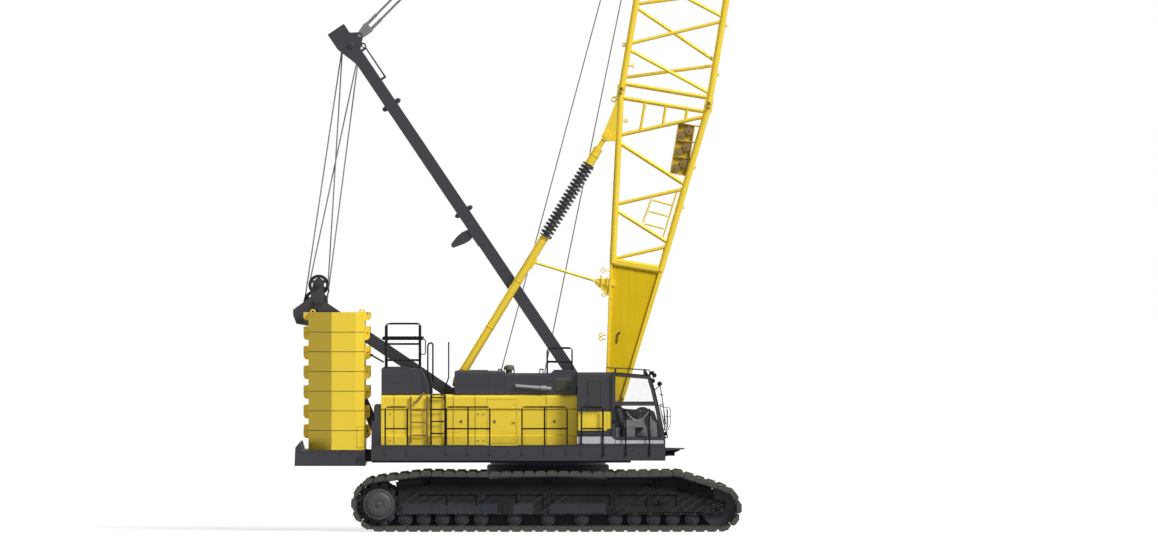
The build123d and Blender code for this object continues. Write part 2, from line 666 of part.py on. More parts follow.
def guard_rails():
    """Walkway rails, the roof platform with its rails, and the rails beside the mast feet."""
    parts = []
    for side in (-1, 1):
        for x0, x1 in WALKWAY_RAILS[:3 if side > 0 else 4]:
            posts = [(x0 + x1) / 2] if x1 - x0 > 800 else []
            parts.append(rail_frame(x0, x1, DECK_TOP_Z, RAIL_TOP_Z, [RAIL_MID_Z], posts, side * RAIL_Y))
        x0, x1 = ROOF_RAIL_X
        middle, under, top = ROOF_RAIL_Z
        outer, inner = side * (HOOD_OUT_Y - 60), side * (HOOD_IN_Y + 60)
        half = RAIL_TUBE / 2
        parts += [rail_frame(x0, x1, HOODS[0][2], top, [middle, under], [], y) for y in (outer, inner)]
        parts.append(box(x0 - 60, x1 + 60, outer - side * half, inner + side * half, *ROOF_PLATFORM_Z))
        rear, front, top, middle = MAST_RAIL
        parts.append(rail_frame(rear, front, HOODS[2][2], top, [middle], [], outer))
    return group(parts)


def ladder(name):
    """Ladder on the right house, stood off on four short brackets."""
    x0, x1, low, high, rungs = LADDERS[name]
    parts = []
    for x in (x0, x1):
        parts.append(rod((x, -LADDER_Y, low), (x, -LADDER_Y, high), LADDER_RAIL_D))
        for z in (low + 60, high - 80):
            parts.append(rod((x, -LADDER_Y, z), (x, -HOUSE_OUT_Y, z), LADDER_RUNG_D))
    parts += [rod((x0, -LADDER_Y, z), (x1, -LADDER_Y, z), LADDER_RUNG_D) for z in rungs]
    return fused(parts)


# ---- cab ----------------------------------------------------------------------------------
def cab_outline():
    """Side outline of the cab as (x, z)."""
    return [(CAB_REAR_X, DECK_TOP_Z), (CAB_FRONT[-1][0], DECK_TOP_Z)] + list(reversed(CAB_FRONT)) + [
        CAB_ROOF_FRONT, (CAB_REAR_X, CAB_ROOF_REAR_Z)]


def outline_block(outline, inset, y0, y1):
    """Outline moved inwards by inset and extruded across."""
    face = make_face(Polyline(*[(x, 0, z) for x, z in outline], close=True))
    if inset:
        face = offset(face, amount=-inset, kind=Kind.INTERSECTION)
    return Pos(0, min(y0, y1), 0) * extrude(face.face(), amount=abs(y1 - y0), dir=(0, 1, 0))


def window_blocks(inset, y0, y1):
    """Upper and lower side openings of the cab, as blocks across the wall."""
    body = outline_block(cab_outline(), CAB_POST + inset, y0, y1)
    rail = CAB_POST / 2 + inset
    bands = ((CAB_WAIST_Z + rail, CAB_ROOF_REAR_Z), (CAB_SILL_Z + CAB_POST + inset, CAB_WAIST_Z - rail))
    return [body & box(CAB_REAR_X, CAB_DECK_FRONT_X, y0, y1, low, high) for low, high in bands]


def doorway(inset, y0, y1):
    """Doorway of the cab, as a block across the wall."""
    body = outline_block(cab_outline(), CAB_POST / 2 + inset, y0, y1)
    low = CAB_SILL_Z + CAB_POST / 2 + inset
    return body & box(CAB_REAR_X, CAB_DECK_FRONT_X, y0, y1, low, CAB_ROOF_REAR_Z)


def door_faces():
    """Inner and outer Y of the sliding door."""
    inner = -CAB_OUT_Y - MOVE_GAP
    return inner, inner - CAB_DOOR_THICKNESS


def front_opening(inset):
    """Opening of the front and roof glazing, as a block through the front wall."""
    return box(2300, CAB_DECK_FRONT_X + 50, -CAB_OUT_Y + CAB_POST + inset, -CAB_IN_Y - CAB_POST - inset,
               CAB_SILL_Z + CAB_POST + inset, CAB_ROOF_FRONT[1] - CAB_POST - inset)


def rear_opening(inset):
    """Opening of the rear window."""
    return box(CAB_REAR_X - 10, CAB_REAR_X + CAB_WALL + 10, -CAB_OUT_Y + 2 * CAB_POST + inset,
               -CAB_IN_Y - 2 * CAB_POST - inset, CAB_WAIST_Z + CAB_POST / 2 + inset, 3640 - inset)


def cab_shell():
    """Hollow cab with its doorway and windows cut, and the roof guard on its posts."""
    outer = outline_block(cab_outline(), 0, -CAB_OUT_Y, -CAB_IN_Y)
    inner = outline_block(cab_outline(), CAB_WALL, -CAB_OUT_Y + CAB_WALL, -CAB_IN_Y - CAB_WALL)
    cuts = [inner, doorway(0, -CAB_OUT_Y - 5, -CAB_OUT_Y + CAB_WALL + 5), front_opening(0), rear_opening(0)]
    cuts += window_blocks(0, -CAB_IN_Y - CAB_WALL - 5, -CAB_IN_Y + 5)
    shell = outer - cuts
    guard = plate([(1400, 3925), (2470, 3862), (2470, 3884), (1400, 3947)], -CAB_OUT_Y + 120, -CAB_IN_Y - 120)
    posts = [box(x, x + 50, y, y + 50, z, 3905) for x, z in ((1600, 3790), (2300, 3730))
             for y in (-CAB_OUT_Y + 160, -CAB_IN_Y - 210)]
    guide_top = CAB_SILL_Z + CAB_POST / 2 - CAB_DOOR_LAP - MOVE_GAP
    x0, x1 = CABINET_REAR_X + 20, CAB_FRONT[-1][0] - 60
    guide = box(x0, x1, -CAB_OUT_Y, door_faces()[1], guide_top - 40, guide_top)
    return fused([shell, guard, guide] + posts)


def cab_glass():
    """Front, left and rear panes, flush in their openings."""
    skin = outline_block(cab_outline(), 18, -CAB_OUT_Y, -CAB_IN_Y)
    skin -= outline_block(cab_outline(), 18 + GLASS, -CAB_OUT_Y - 1, -CAB_IN_Y + 1)
    rear = box(CAB_REAR_X + 20, CAB_REAR_X + 20 + GLASS, -CAB_OUT_Y, -CAB_IN_Y, DECK_TOP_Z, CAB_ROOF_REAR_Z)
    panes = [skin & front_opening(SEAT_GAP), rear & rear_opening(SEAT_GAP)]
    y = -CAB_IN_Y - 18
    panes += window_blocks(SEAT_GAP, y - GLASS, y)
    return group(panes)


def cab_door():
    """Sliding side door that laps over the doorway, with its two window openings."""
    inner, outer = door_faces()
    return doorway(-CAB_DOOR_LAP, inner, outer) - window_blocks(0, inner + 5, outer - 5)


def cab_door_glass():
    """Panes of the side door."""
    y = sum(door_faces()) / 2
    return group(window_blocks(SEAT_GAP, y - GLASS / 2, y + GLASS / 2))


def cab_console():
    """Floor stand, side consoles, pedals and dash of the cab."""
    mid = -(CAB_OUT_Y + CAB_IN_Y) / 2
    stand = box(1800, 2150, mid - 160, mid + 160, DECK_TOP_Z + CAB_WALL, 2440)
    rear = box(1640, 1750, mid - 240, mid + 240, DECK_TOP_Z + CAB_WALL, 2500)
    arms = [box(1850, 2330, mid + k * 290, mid + k * 400, 2500, 2680) for k in (-1, 1)]
    arm_feet = [box(1900, 2100, mid + k * 300, mid + k * 390, DECK_TOP_Z + CAB_WALL, 2500) for k in (-1, 1)]
    floor = DECK_TOP_Z + CAB_WALL
    dash = plate([(2500, floor), (2640, floor), (2620, 2600), (2480, 2700), (2440, 2660)],
                 mid - 180, mid + 180)
    return group([stand, rear] + [fused([a, f]) for a, f in zip(arms, arm_feet)] + [dash])


def cab_seat():
    """Operator's seat: cushion, backrest and headrest."""
    mid = -(CAB_OUT_Y + CAB_IN_Y) / 2
    cushion = box(1760, 2250, mid - 240, mid + 240, 2440, 2570)
    back = plate([(1700, 2570), (1830, 2570), (1740, 3130), (1630, 3130)], mid - 220, mid + 220)
    return group([cushion, back])


def cabinet():
    """Black cabinet between the house and the cab."""
    y0, y1 = -CAB_OUT_Y + CABINET_PANEL_PROUD, -CAB_IN_Y
    body = box(CABINET_REAR_X, CAB_REAR_X - SEAT_GAP, y0, y1, DECK_TOP_Z, CABINET_TOP_Z)
    return chamfer(body.edges().filter_by(Axis.X).group_by(Axis.Z)[-1], 60)


def cabinet_panels():
    """Yellow panels on the cabinet's outer side."""
    y0, y1 = -CAB_OUT_Y, -CAB_OUT_Y + CABINET_PANEL_PROUD
    wide = box(CABINET_REAR_X + 10, 1420, y0, y1, CABINET_PANEL_LOW_Z, CABINET_PANEL_HIGH_Z)
    narrow = box(1428, CAB_REAR_X - 15, y0, y1, CABINET_PANEL_LOW_Z + 45, CABINET_PANEL_HIGH_Z)
    return group([wide, narrow])


# ---- winches ------------------------------------------------------------------------------
def drum(name):
    """Rope drum: barrel with the rope wound on it, flanges and shaft ends."""
    x, z, barrel, flange = DRUMS[name]
    half = DRUM_HALF_WIDTH
    body = cross_pin(x, z, -half, half, barrel)
    rims = [cross_pin(x, z, s * half, s * (half - DRUM_FLANGE), flange) for s in (-1, 1)]
    return fused([body] + rims)


def winch_frame():
    """Side plates with bearing stubs that carry the drums."""
    parts = []
    for side in (-1, 1):
        y0, y1 = side * WINCH_PLATE_Y, side * (WINCH_PLATE_Y + WINCH_PLATE)
        shape = plate([(-3500, DECK_TOP_Z), (620, DECK_TOP_Z), (400, 2900), (-3200, 2960)], y0, y1)
        near = side * (DRUM_HALF_WIDTH + SEAT_GAP)
        stubs = [cross_pin(x, z, near, y1, DRUM_BEARING_R) for x, z, _, _ in DRUMS.values()]
        parts.append(fused([shape] + stubs))
    return group(parts)


# ---- counterweight ------------------------------------------------------------------------
def counterweight_tray():
    """Cast tray under both stacks, hooked to the rear of the deck."""
    horn = SLAB_REAR_X - SLAB_LUG - 10
    outline = [(TRAY_REAR_X, TRAY_BOTTOM_Z), (TRAY_FRONT_X, TRAY_BOTTOM_Z), (TRAY_FRONT_X, TRAY_TOP_Z),
               (horn, TRAY_TOP_Z), (horn - 60, TRAY_TOP_Z + 210), (TRAY_REAR_X + 20, TRAY_TOP_Z + 60)]
    tray = plate(outline, -SLAB_OUT_Y, SLAB_OUT_Y)
    tongue = box(TRAY_FRONT_X - 1, DECK_REAR_X, -800, 800, TRAY_BOTTOM_Z + 90, TRAY_TOP_Z)
    pocket = box(TRAY_REAR_X - 1, SLAB_REAR_X - 5, -SLAB_IN_Y, SLAB_IN_Y, TRAY_BOTTOM_Z - 1, TRAY_TOP_Z + 300)
    return fused([tray - pocket, tongue])


def slab(side, level):
    """One slab of the stack with chamfered ends and hooked lugs."""
    z0 = TRAY_TOP_Z + level * SLAB_HEIGHT
    top = z0 + SLAB_HEIGHT
    outline = [(SLAB_REAR_X, SLAB_IN_Y), (SLAB_FRONT_X, SLAB_IN_Y),
               (SLAB_FRONT_X, SLAB_OUT_Y - SLAB_FRONT_CHAMFER),
               (SLAB_FRONT_X - SLAB_FRONT_CHAMFER, SLAB_OUT_Y), (SLAB_REAR_X + SLAB_REAR_CHAMFER, SLAB_OUT_Y),
               (SLAB_REAR_X, SLAB_OUT_Y - SLAB_REAR_CHAMFER)]
    face = make_face(Polyline(*[(x, side * y, z0) for x, y in outline], close=True))
    body = extrude(face, amount=SLAB_HEIGHT, dir=(0, 0, 1))
    mid_y = side * (SLAB_IN_Y + 420)
    y0, y1 = mid_y - SLAB_LUG_WIDTH / 2, mid_y + SLAB_LUG_WIDTH / 2
    above = SLAB_LUG_ABOVE if level < SLAB_COUNT - 1 else 0
    lugs = []
    for x, out in ((SLAB_REAR_X, -SLAB_LUG), (SLAB_FRONT_X, SLAB_LUG)):
        near = x + out * 0.04
        low = top - SLAB_LUG_BELOW
        shape = [(x, low), (x + out * 0.6, low), (x + out, low + 60),
                 (x + out, top), (x, top)]
        if above:
            shape[-1:] = [(x + out, top + above), (near, top + above), (near, top), (x, top)]
        lugs.append(plate(shape, y0, y1))
    return fused([body] + lugs)


def counterweights():
    """Two stacks of slabs, left and right of the gantry."""
    return group([slab(side, level) for side in (-1, 1) for level in range(SLAB_COUNT)])


# ---- gantry -------------------------------------------------------------------------------
def gantry():
    """Fixed A-frame: front legs, rear legs and the head that carries the lower falls."""
    w = GANTRY_LEG_WIDTH / 2
    parts = []
    head = [(-5230, 5130), (-5230, 5330), (-5400, 5560), (-5430, 6040), (-5560, 6090), (-5670, 6030),
            (-5740, 5640), (-6160, 5330), (-6160, 5200), (-6080, 4990), (-5800, 4940), (-5500, 5000)]
    fx, fz = GANTRY_FOOT
    rx, rz = GANTRY_REAR_FOOT
    for side in (-1, 1):
        y0, y1 = side * (GANTRY_Y - w), side * (GANTRY_Y + w)
        parts.append(bar(GANTRY_FOOT, GANTRY_HEAD, GANTRY_LEG_DEPTH, y0, y1))
        parts.append(bar(GANTRY_REAR_FOOT, GANTRY_HEAD, GANTRY_REAR_LEG_DEPTH, y0 + side * 10, y1 - side * 10))
        parts.append(box(fx - 200, fx + 230, y0 + side * 5, y1 - side * 5, DECK_TOP_Z, fz + 90))
        parts.append(box(rx - 100, rx + 130, y0 + side * 5, y1 - side * 5, DECK_TOP_Z, rz + 90))
        parts.append(plate(head, side * (GANTRY_Y - 120), side * (GANTRY_Y - 60)))
    parts.append(cross_pin(-5950, 5110, -GANTRY_Y, GANTRY_Y, 90))
    parts.append(bar((-3900, 4351), (-3700, 4216), 230, -GANTRY_Y, GANTRY_Y))
    parts.append(cross_pin(*LOWER_SHEAVE_PIN, -GANTRY_Y, GANTRY_Y, SHEAVE_PIN_R))
    outer_lane = 3 * FALL_PITCH
    parts.append(cross_pin(*UPPER_SHEAVE_PIN, -GANTRY_Y, -outer_lane - CHEEK, SHEAVE_PIN_R))
    parts.append(cross_pin(*UPPER_SHEAVE_PIN, outer_lane - FALL_PITCH, GANTRY_Y, SHEAVE_PIN_R))
    for y in fall_places()[1::2]:
        parts.append(cross_pin(*UPPER_SHEAVE_PIN, y - FALL_PITCH / 2, y + FALL_PITCH / 2, SHEAVE_PIN_R))
    low, high = [between(LOWER_SHEAVE_PIN, UPPER_SHEAVE_PIN, share) for share in (-0.12, 1.12)]
    for lane in range(-2, 4):
        y = lane * FALL_PITCH
        parts.append(bar(low, high, 2 * SHEAVE_PIN_R + 40, y - CHEEK / 2, y + CHEEK / 2))
    return fused(parts)


def sheave(x, z, y, radius, width):
    """Rope sheave: radius at the flange's rim, groove as deep as named."""
    root, w = radius - GROOVE_DEPTH, width / 2
    bore = SHEAVE_PIN_R + PIN_GAP
    profile = [(bore, -w), (radius, -w), (root, -w * 0.7), (root, w * 0.7), (radius, w), (bore, w)]
    face = make_face(Polyline(*[(r, d, 0) for r, d in profile], close=True))
    return Pos(x, y, z) * revolve(face, axis=Axis.Y)


def sheave_row(pin, radius, places, width):
    """Equal sheaves on one pin at the given Y places."""
    return [sheave(pin[0], pin[1], y, radius, width) for y in places]


def fall_places():
    """Y places of the mast sheaves, from right to left."""
    first = -(MAST_SHEAVE_COUNT - 1) / 2 * FALL_PITCH
    return [first + i * FALL_PITCH for i in range(MAST_SHEAVE_COUNT)]


def gantry_sheaves(pin, radius, places):
    """One row of sheaves at the gantry head; each row serves every second fall."""
    return group(sheave_row(pin, radius, places, FALL_PITCH - CHEEK - 2 * MOVE_GAP))


def tangents(c0, r0, c1, r1, crossed):
    """Two straight rope runs between circles, as pairs of (x, z) points."""
    dx, dz = c1[0] - c0[0], c1[1] - c0[1]
    heading = math.atan2(dz, dx)
    spread = math.acos((r0 + (r1 if crossed else -r1)) / math.hypot(dx, dz))
    runs = []
    for sign in (-1, 1):
        a = heading + sign * spread
        nx, nz = math.cos(a), math.sin(a)
        far = -r1 if crossed else r1
        runs.append(((c0[0] + r0 * nx, c0[1] + r0 * nz), (c1[0] + far * nx, c1[1] + far * nz)))
    return runs


def fall_radius(sheave_radius):
    """Radius of a rope's centreline on a sheave."""
    return sheave_radius - GROOVE_DEPTH + ROPE_GAP + ROPE_D / 2


def falls(pin, radius, places, crossed):
    """Rope runs between one row of gantry sheaves and the mast head; crossed runs pass side by side."""
    head = mast_point(MAST_SHEAVE_S, 0)
    runs = tangents(pin, fall_radius(radius), head, fall_radius(MAST_SHEAVE_R), crossed)
    aside = (ROPE_D / 2 + SEAT_GAP) if crossed else 0
    pairs = [(y + k * aside, a, b) for y in places for k, (a, b) in zip((-1, 1), runs)]
    return group([rod((a[0], y, a[1]), (b[0], y, b[1]), ROPE_D) for y, a, b in pairs])


def lower_falls():
    """Boom hoist falls that stay at the gantry when the mast swings."""
    return falls(LOWER_SHEAVE_PIN, LOWER_SHEAVE_R, fall_places()[0::2], False)


def upper_falls():
    """Boom hoist falls that stay at the mast head when the mast swings."""
    return falls(UPPER_SHEAVE_PIN, UPPER_SHEAVE_R, fall_places()[1::2], True)


# ---- mast ---------------------------------------------------------------------------------
def on_mast(shape):
    """Shape built upright with its foot pin at the origin, placed as the mast stands."""
    return Pos(MAST_FOOT[0], 0, MAST_FOOT[1]) * Rot(0, -MAST_LEAN, 0) * shape


def mast_frame():
    """Two box legs with cross beams and the head."""
    w, d = MAST_LEG_WIDTH / 2, MAST_LEG_DEPTH / 2
    head_low = MAST_SHEAVE_S - 450
    back = d - MAST_HEAD_DEPTH
    leg = [(-60, -110), (60, -110), (110, 0), (d, 700), (d, MAST_LENGTH), (back, MAST_LENGTH),
           (back, MAST_SHEAVE_S + 100), (-d, head_low), (-d, 700), (-110, 0)]
    lug = [(d - 10, PENDANT_S - 260), (d - 10, PENDANT_S + 200), (PENDANT_N + 20, PENDANT_S + 80),
           (PENDANT_N + 80, PENDANT_S), (PENDANT_N + 20, PENDANT_S - 80)]
    parts = []
    for side in (-1, 1):
        y0, y1 = side * (MAST_Y - w), side * (MAST_Y + w)
        eye = cross_pin(0, 0, y0 - side, y1 + side, MAST_PIN_R + PIN_GAP)
        parts.append(plate(leg, y0, y1) - eye)
        inner = side * (PENDANT_Y + YOKE_PLATE / 2 + MOVE_GAP)
        outer = side * (PENDANT_Y - YOKE_PLATE / 2 - MOVE_GAP)
        y0, y1 = side * (PENDANT_Y - 200), side * (PENDANT_Y + 200)
        hole = cross_pin(PENDANT_N, PENDANT_S, y0, y1, YOKE_PIN_R + PIN_GAP)
        parts.append(plate(lug, inner, inner + side * 40) - hole)
        parts.append(plate(lug, outer, outer - side * 40) - hole)
    depth, height = MAST_CROSS_SIZE
    for s in MAST_CROSS_S:
        parts.append(box(-depth / 2, depth / 2, -MAST_Y, MAST_Y, s, s + height))
    parts.append(box(back + 20, d - 20, -MAST_Y, MAST_Y, MAST_LENGTH - 150, MAST_LENGTH - 20))
    parts.append(box(d - 60, d - 2, -MAST_Y, MAST_Y, MAST_SHEAVE_S + MAST_SHEAVE_R + 30, MAST_LENGTH - 20))
    parts.append(cross_pin(0, MAST_SHEAVE_S, -MAST_Y, MAST_Y, SHEAVE_PIN_R))
    return on_mast(fused(parts))


def mast_sheaves():
    """Sheaves of the mast head."""
    return on_mast(group(sheave_row((0, MAST_SHEAVE_S), MAST_SHEAVE_R, fall_places(), FALL_PITCH - 14)))


def pendants():
    """Pendants from the mast head to the boom tip: a yoke, two ropes and a link plate on each side."""
    mast_pin, boom_pin = mast_point(PENDANT_S, PENDANT_N), boom_point(PENDANT_U, PENDANT_V)
    length = math.dist(mast_pin, boom_pin)
    heading = math.degrees(math.atan2(boom_pin[1] - mast_pin[1], boom_pin[0] - mast_pin[0]))
    half, spread = YOKE_PLATE / 2, PENDANT_SPREAD / 2
    yoke = [(-70, -50), (-50, -80), (20, -80), (YOKE_LENGTH - 60, -spread - 50), (YOKE_LENGTH, -spread - 30),
            (YOKE_LENGTH, spread + 30), (YOKE_LENGTH - 60, spread + 50), (20, 80), (-50, 80), (-70, 50)]
    parts = []
    for side in (-1, 1):
        y = side * PENDANT_Y
        ends = (yoke, [(length - a, b) for a, b in yoke])
        pieces = [plate(end, y - half, y + half) for end in ends]
        pieces.append(cross_pin(0, 0, y - half - MOVE_GAP - 38, y + half + MOVE_GAP + 38, YOKE_PIN_R))
        for k in (-spread, spread):
            pieces.append(rod((YOKE_LENGTH - 30, y, k), (length - YOKE_LENGTH + 30, y, k), PENDANT_D))
            pieces.append(rod((YOKE_LENGTH - 20, y, k), (YOKE_LENGTH + SOCKET_LENGTH, y, k), SOCKET_D))
        parts.append(Pos(mast_pin[0], 0, mast_pin[1]) * Rot(0, -heading, 0) * fused(pieces))
    return group(parts)


# ---- boom ---------------------------------------------------------------------------------
def on_boom(shape):
    """Shape built upright with the foot pins on the origin, placed as the boom stands."""
    return Pos(BOOM_FOOT[0], 0, BOOM_FOOT[1]) * Rot(0, 90 - BOOM_ANGLE, 0) * shape


def chord_point(stations, u, v_side, w_side):
    """Point of one chord at u; stations are (u, half depth, half width) from foot to tip."""
    for low, high in zip(stations, stations[1:]):
        if u <= high[0]:
            break
    share = (u - low[0]) / (high[0] - low[0])
    _, depth, width = between(low, high, share)
    return (v_side * depth, w_side * width, u)


def brace(p, q, trim=LACING_TRIM):
    """Lacing tube between two chord points, stopped inside the chord walls."""
    length = math.dist(p, q)
    return rod(between(p, q, trim / length), between(p, q, 1 - trim / length), LACING_D)


def chords(stations):
    """The four chord tubes through all the stations, with a ball where they bend."""
    tubes = []
    for v, w in ((1, 1), (1, -1), (-1, -1), (-1, 1)):
        path = [chord_point(stations, station[0], v, w) for station in stations]
        tubes += [rod(a, b, CHORD_D) for a, b in zip(path, path[1:])]
        tubes += [Pos(*bend) * Sphere(CHORD_D / 2) for bend in path[1:-1]]
    return tubes


def side_lacing(stations, rows, side):
    """Lacing of one side face."""
    ends = [(chord_point(stations, rear, -1, side), chord_point(stations, front, 1, side)) for rear, front in rows]
    return [brace(rear, front) for rear, front in ends]


def face_lacing(stations, rows):
    """Lacing of the front face, mirrored on the rear face."""
    braces = []
    for v, flip in ((1, 1), (-1, -1)):
        for right, left in rows:
            braces.append(brace(chord_point(stations, right, v, -flip), chord_point(stations, left, v, flip)))
    return braces


def ring(stations, u):
    """Four tubes round the section at u."""
    corners = [chord_point(stations, u, v, w) for v, w in ((1, 1), (1, -1), (-1, -1), (-1, 1))]
    return [brace(corners[i], corners[(i + 1) % 4]) for i in range(4)]


def joint_lugs(stations, joint_u, toward):
    """Pin lugs from a section's four chords to its joint; toward is 1 below the joint, -1 above."""
    lugs = []
    low, high = joint_u - toward * (JOINT_HALF + 110), joint_u - toward * SEAT_GAP / 2
    for v in (-1, 1):
        for w in (-1, 1):
            x, y, _ = chord_point(stations, joint_u - toward * JOINT_HALF, v, w)
            lugs.append(Pos(x, y, (low + high) / 2) * Box(*JOINT_LUG, abs(high - low)))
    return lugs


def boom_base():
    """Base section: plated feet, then lattice up to the first joint."""
    stations = [(FOOT_PLATE_U, FOOT_PLATE_HALF_DEPTH, FOOT_PLATE_HALF_WIDTH),
                (BASE_LENGTH - JOINT_HALF, BOOM_HALF_DEPTH, BOOM_HALF_WIDTH)]
    parts = chords(stations) + face_lacing(stations, BASE_FACE_LACING) + joint_lugs(stations, BASE_LENGTH, 1)
    for u in BASE_RING_U:
        parts += ring(stations, u + (LACING_D if u == FOOT_PLATE_U else 0))
    rear, front = BASE_LACING[-1]
    for side in (-1, 1):
        parts += side_lacing(stations, BASE_LACING, side)
        a, b = chord_point(stations, rear, -1, side), chord_point(stations, front, 1, side)
        for v in BASE_BAR_V:
            low = a[2] + (b[2] - a[2]) * (v - a[0]) / (b[0] - a[0])
            w = chord_point(stations, BASE_RING_U[1], 1, side)[1]
            parts.append(rod((v, w, low), (v, w, BASE_RING_U[1]), LACING_D - 14))
        outline = [(-FOOT_HALF_DEPTH, 0), (-110, -150), (0, -FOOT_EYE_R), (110, -150), (FOOT_HALF_DEPTH, 0),
                   (FOOT_PLATE_HALF_DEPTH + 70, FOOT_PLATE_U), (FOOT_PLATE_HALF_DEPTH + 60, FOOT_PLATE_U + 60),
                   (-FOOT_PLATE_HALF_DEPTH - 60, FOOT_PLATE_U + 60), (-FOOT_PLATE_HALF_DEPTH - 70, FOOT_PLATE_U)]
        y, half = side * BOOM_FOOT_Y, FOOT_LUG_WIDTH / 2
        bore = cross_pin(0, 0, y - half - 1, y + half + 1, FOOT_PIN_R + PIN_GAP)
        parts.append(plate(outline, y - half, y + half) - bore)
        top_u, top_v = STRUT_TOP
        bracket = [(-1000, 6450), (-1000, 7430), (-1150, 7400), (-1210, 7080), (top_v - 70, top_u + 60),
                   (top_v - 70, top_u - 70), (top_v + 60, top_u - 110)]
        parts.append(plate(bracket, side * (STRUT_Y - 100), side * (STRUT_Y - 40)))
        parts.append(cross_pin(top_v, top_u, side * (STRUT_Y - 100), side * (STRUT_Y + 100), STRUT_PIN_R))
        clamp_u, clamp_v = LINK_CLAMP
        lug = [(-FOOT_PLATE_HALF_DEPTH + 20, clamp_u - 300), (-FOOT_PLATE_HALF_DEPTH + 20, clamp_u + 120),
               (clamp_v - 50, clamp_u + 60), (clamp_v - 50, clamp_u - 60)]
        parts.append(plate(lug, y - half, y + half))
        parts.append(cross_pin(clamp_v, clamp_u, y, side * (STRUT_Y + LINK_D), LINK_PIN_R))
    return on_boom(fused(parts))


def boom_insert():
    """Parallel insert section."""
    stations = [(BASE_LENGTH + JOINT_HALF, BOOM_HALF_DEPTH, BOOM_HALF_WIDTH),
                (BASE_LENGTH + INSERT_LENGTH - JOINT_HALF, BOOM_HALF_DEPTH, BOOM_HALF_WIDTH)]
    parts = chords(stations) + face_lacing(stations, INSERT_FACE_LACING)
    parts += joint_lugs(stations, BASE_LENGTH, -1) + joint_lugs(stations, BASE_LENGTH + INSERT_LENGTH, 1)
    parts += side_lacing(stations, INSERT_RIGHT_LACING, -1) + side_lacing(stations, INSERT_LEFT_LACING, 1)
    for u in INSERT_RING_U:
        parts += ring(stations, u)
    return on_boom(fused(parts))


def boom_tip():
    """Tip section that narrows to the head plates."""
    low_u = BASE_LENGTH + INSERT_LENGTH
    high_u = low_u + TIP_LENGTH
    stations = [(low_u + JOINT_HALF, BOOM_HALF_DEPTH, BOOM_HALF_WIDTH),
                (low_u + TIP_STRAIGHT, BOOM_HALF_DEPTH, BOOM_HALF_WIDTH),
                (high_u - TIP_NARROW_U, TIP_HALF_DEPTH, TIP_HALF_WIDTH)]
    parts = chords(stations) + face_lacing(stations, TIP_FACE_LACING) + joint_lugs(stations, low_u, -1)
    parts += side_lacing(stations, TIP_RIGHT_LACING, -1) + side_lacing(stations, TIP_LEFT_LACING, 1)
    for u in TIP_RING_U:
        parts += ring(stations, u)
    neck = high_u - TIP_NARROW_U - 180
    head = [(-500, neck), (500, neck), (TIP_SHEAVE_V + 110, TIP_SHEAVE_U - 60),
            (TIP_SHEAVE_V + 90, TIP_SHEAVE_U + 90), (150, high_u + 60), (-250, high_u + 60),
            (BACK_SHEAVE_V - 80, BACK_SHEAVE_U + 80), (BACK_SHEAVE_V - 80, BACK_SHEAVE_U - 60)]
    jib_v, jib_u, jib_r = JIB_PIN
    for side in (-1, 1):
        y0, y1 = side * (TIP_HALF_WIDTH - HEAD_PLATE), side * TIP_HALF_WIDTH
        parts.append(plate(head, y0, y1) - cross_pin(jib_v, jib_u, y0 - side, y1 + side, jib_r))
        stub = side * (PENDANT_Y - YOKE_PLATE / 2 - MOVE_GAP)
        parts.append(cross_pin(PENDANT_V, PENDANT_U, y0, stub, PENDANT_STUB_R))
    for v, u in ((TIP_SHEAVE_V, TIP_SHEAVE_U), (BACK_SHEAVE_V, BACK_SHEAVE_U)):
        parts.append(cross_pin(v, u, -TIP_HALF_WIDTH + 10, TIP_HALF_WIDTH - 10, SHEAVE_PIN_R))
    return on_boom(fused(parts))


def tip_places():
    """Y places of the front tip sheaves."""
    first = -(TIP_SHEAVE_COUNT - 1) / 2 * TIP_SHEAVE_PITCH
    return [first + i * TIP_SHEAVE_PITCH for i in range(TIP_SHEAVE_COUNT)]


def tip_sheaves():
    """Hoist sheaves at the front of the boom tip."""
    return on_boom(group(sheave_row((TIP_SHEAVE_V, TIP_SHEAVE_U), TIP_SHEAVE_R, tip_places(), 90)))


def back_sheaves():
    """Deflector sheaves behind the boom tip."""
    pin = (BACK_SHEAVE_V, BACK_SHEAVE_U)
    return on_boom(group(sheave_row(pin, BACK_SHEAVE_R, (-HOIST_ROPE_Y, HOIST_ROPE_Y), 110)))


def hoist_rope(drum_name, y):
    """Hoist rope from the rear of its drum to the rear of its deflector sheave."""
    x, z, barrel, _ = DRUMS[drum_name]
    pin = boom_point(BACK_SHEAVE_U, BACK_SHEAVE_V)
    runs = tangents((x, z), barrel + ROPE_GAP + ROPE_D / 2, pin, fall_radius(BACK_SHEAVE_R), False)
    a, b = min(runs, key=lambda run: run[0][0])
    return rod((a[0], y, a[1]), (b[0], y, b[1]), ROPE_D)


def on_strut(s):
    """Point along a backstop in the machine's side plane."""
    top = boom_point(*STRUT_TOP)
    return between(STRUT_FOOT, top, s / math.dist(STRUT_FOOT, top))


def strut_rod(s0, s1, diameter, y):
    """Length of a backstop between two distances from its foot."""
    (x0, z0), (x1, z1) = on_strut(s0), on_strut(s1)
    return rod((x0, y, z0), (x1, y, z1), diameter)


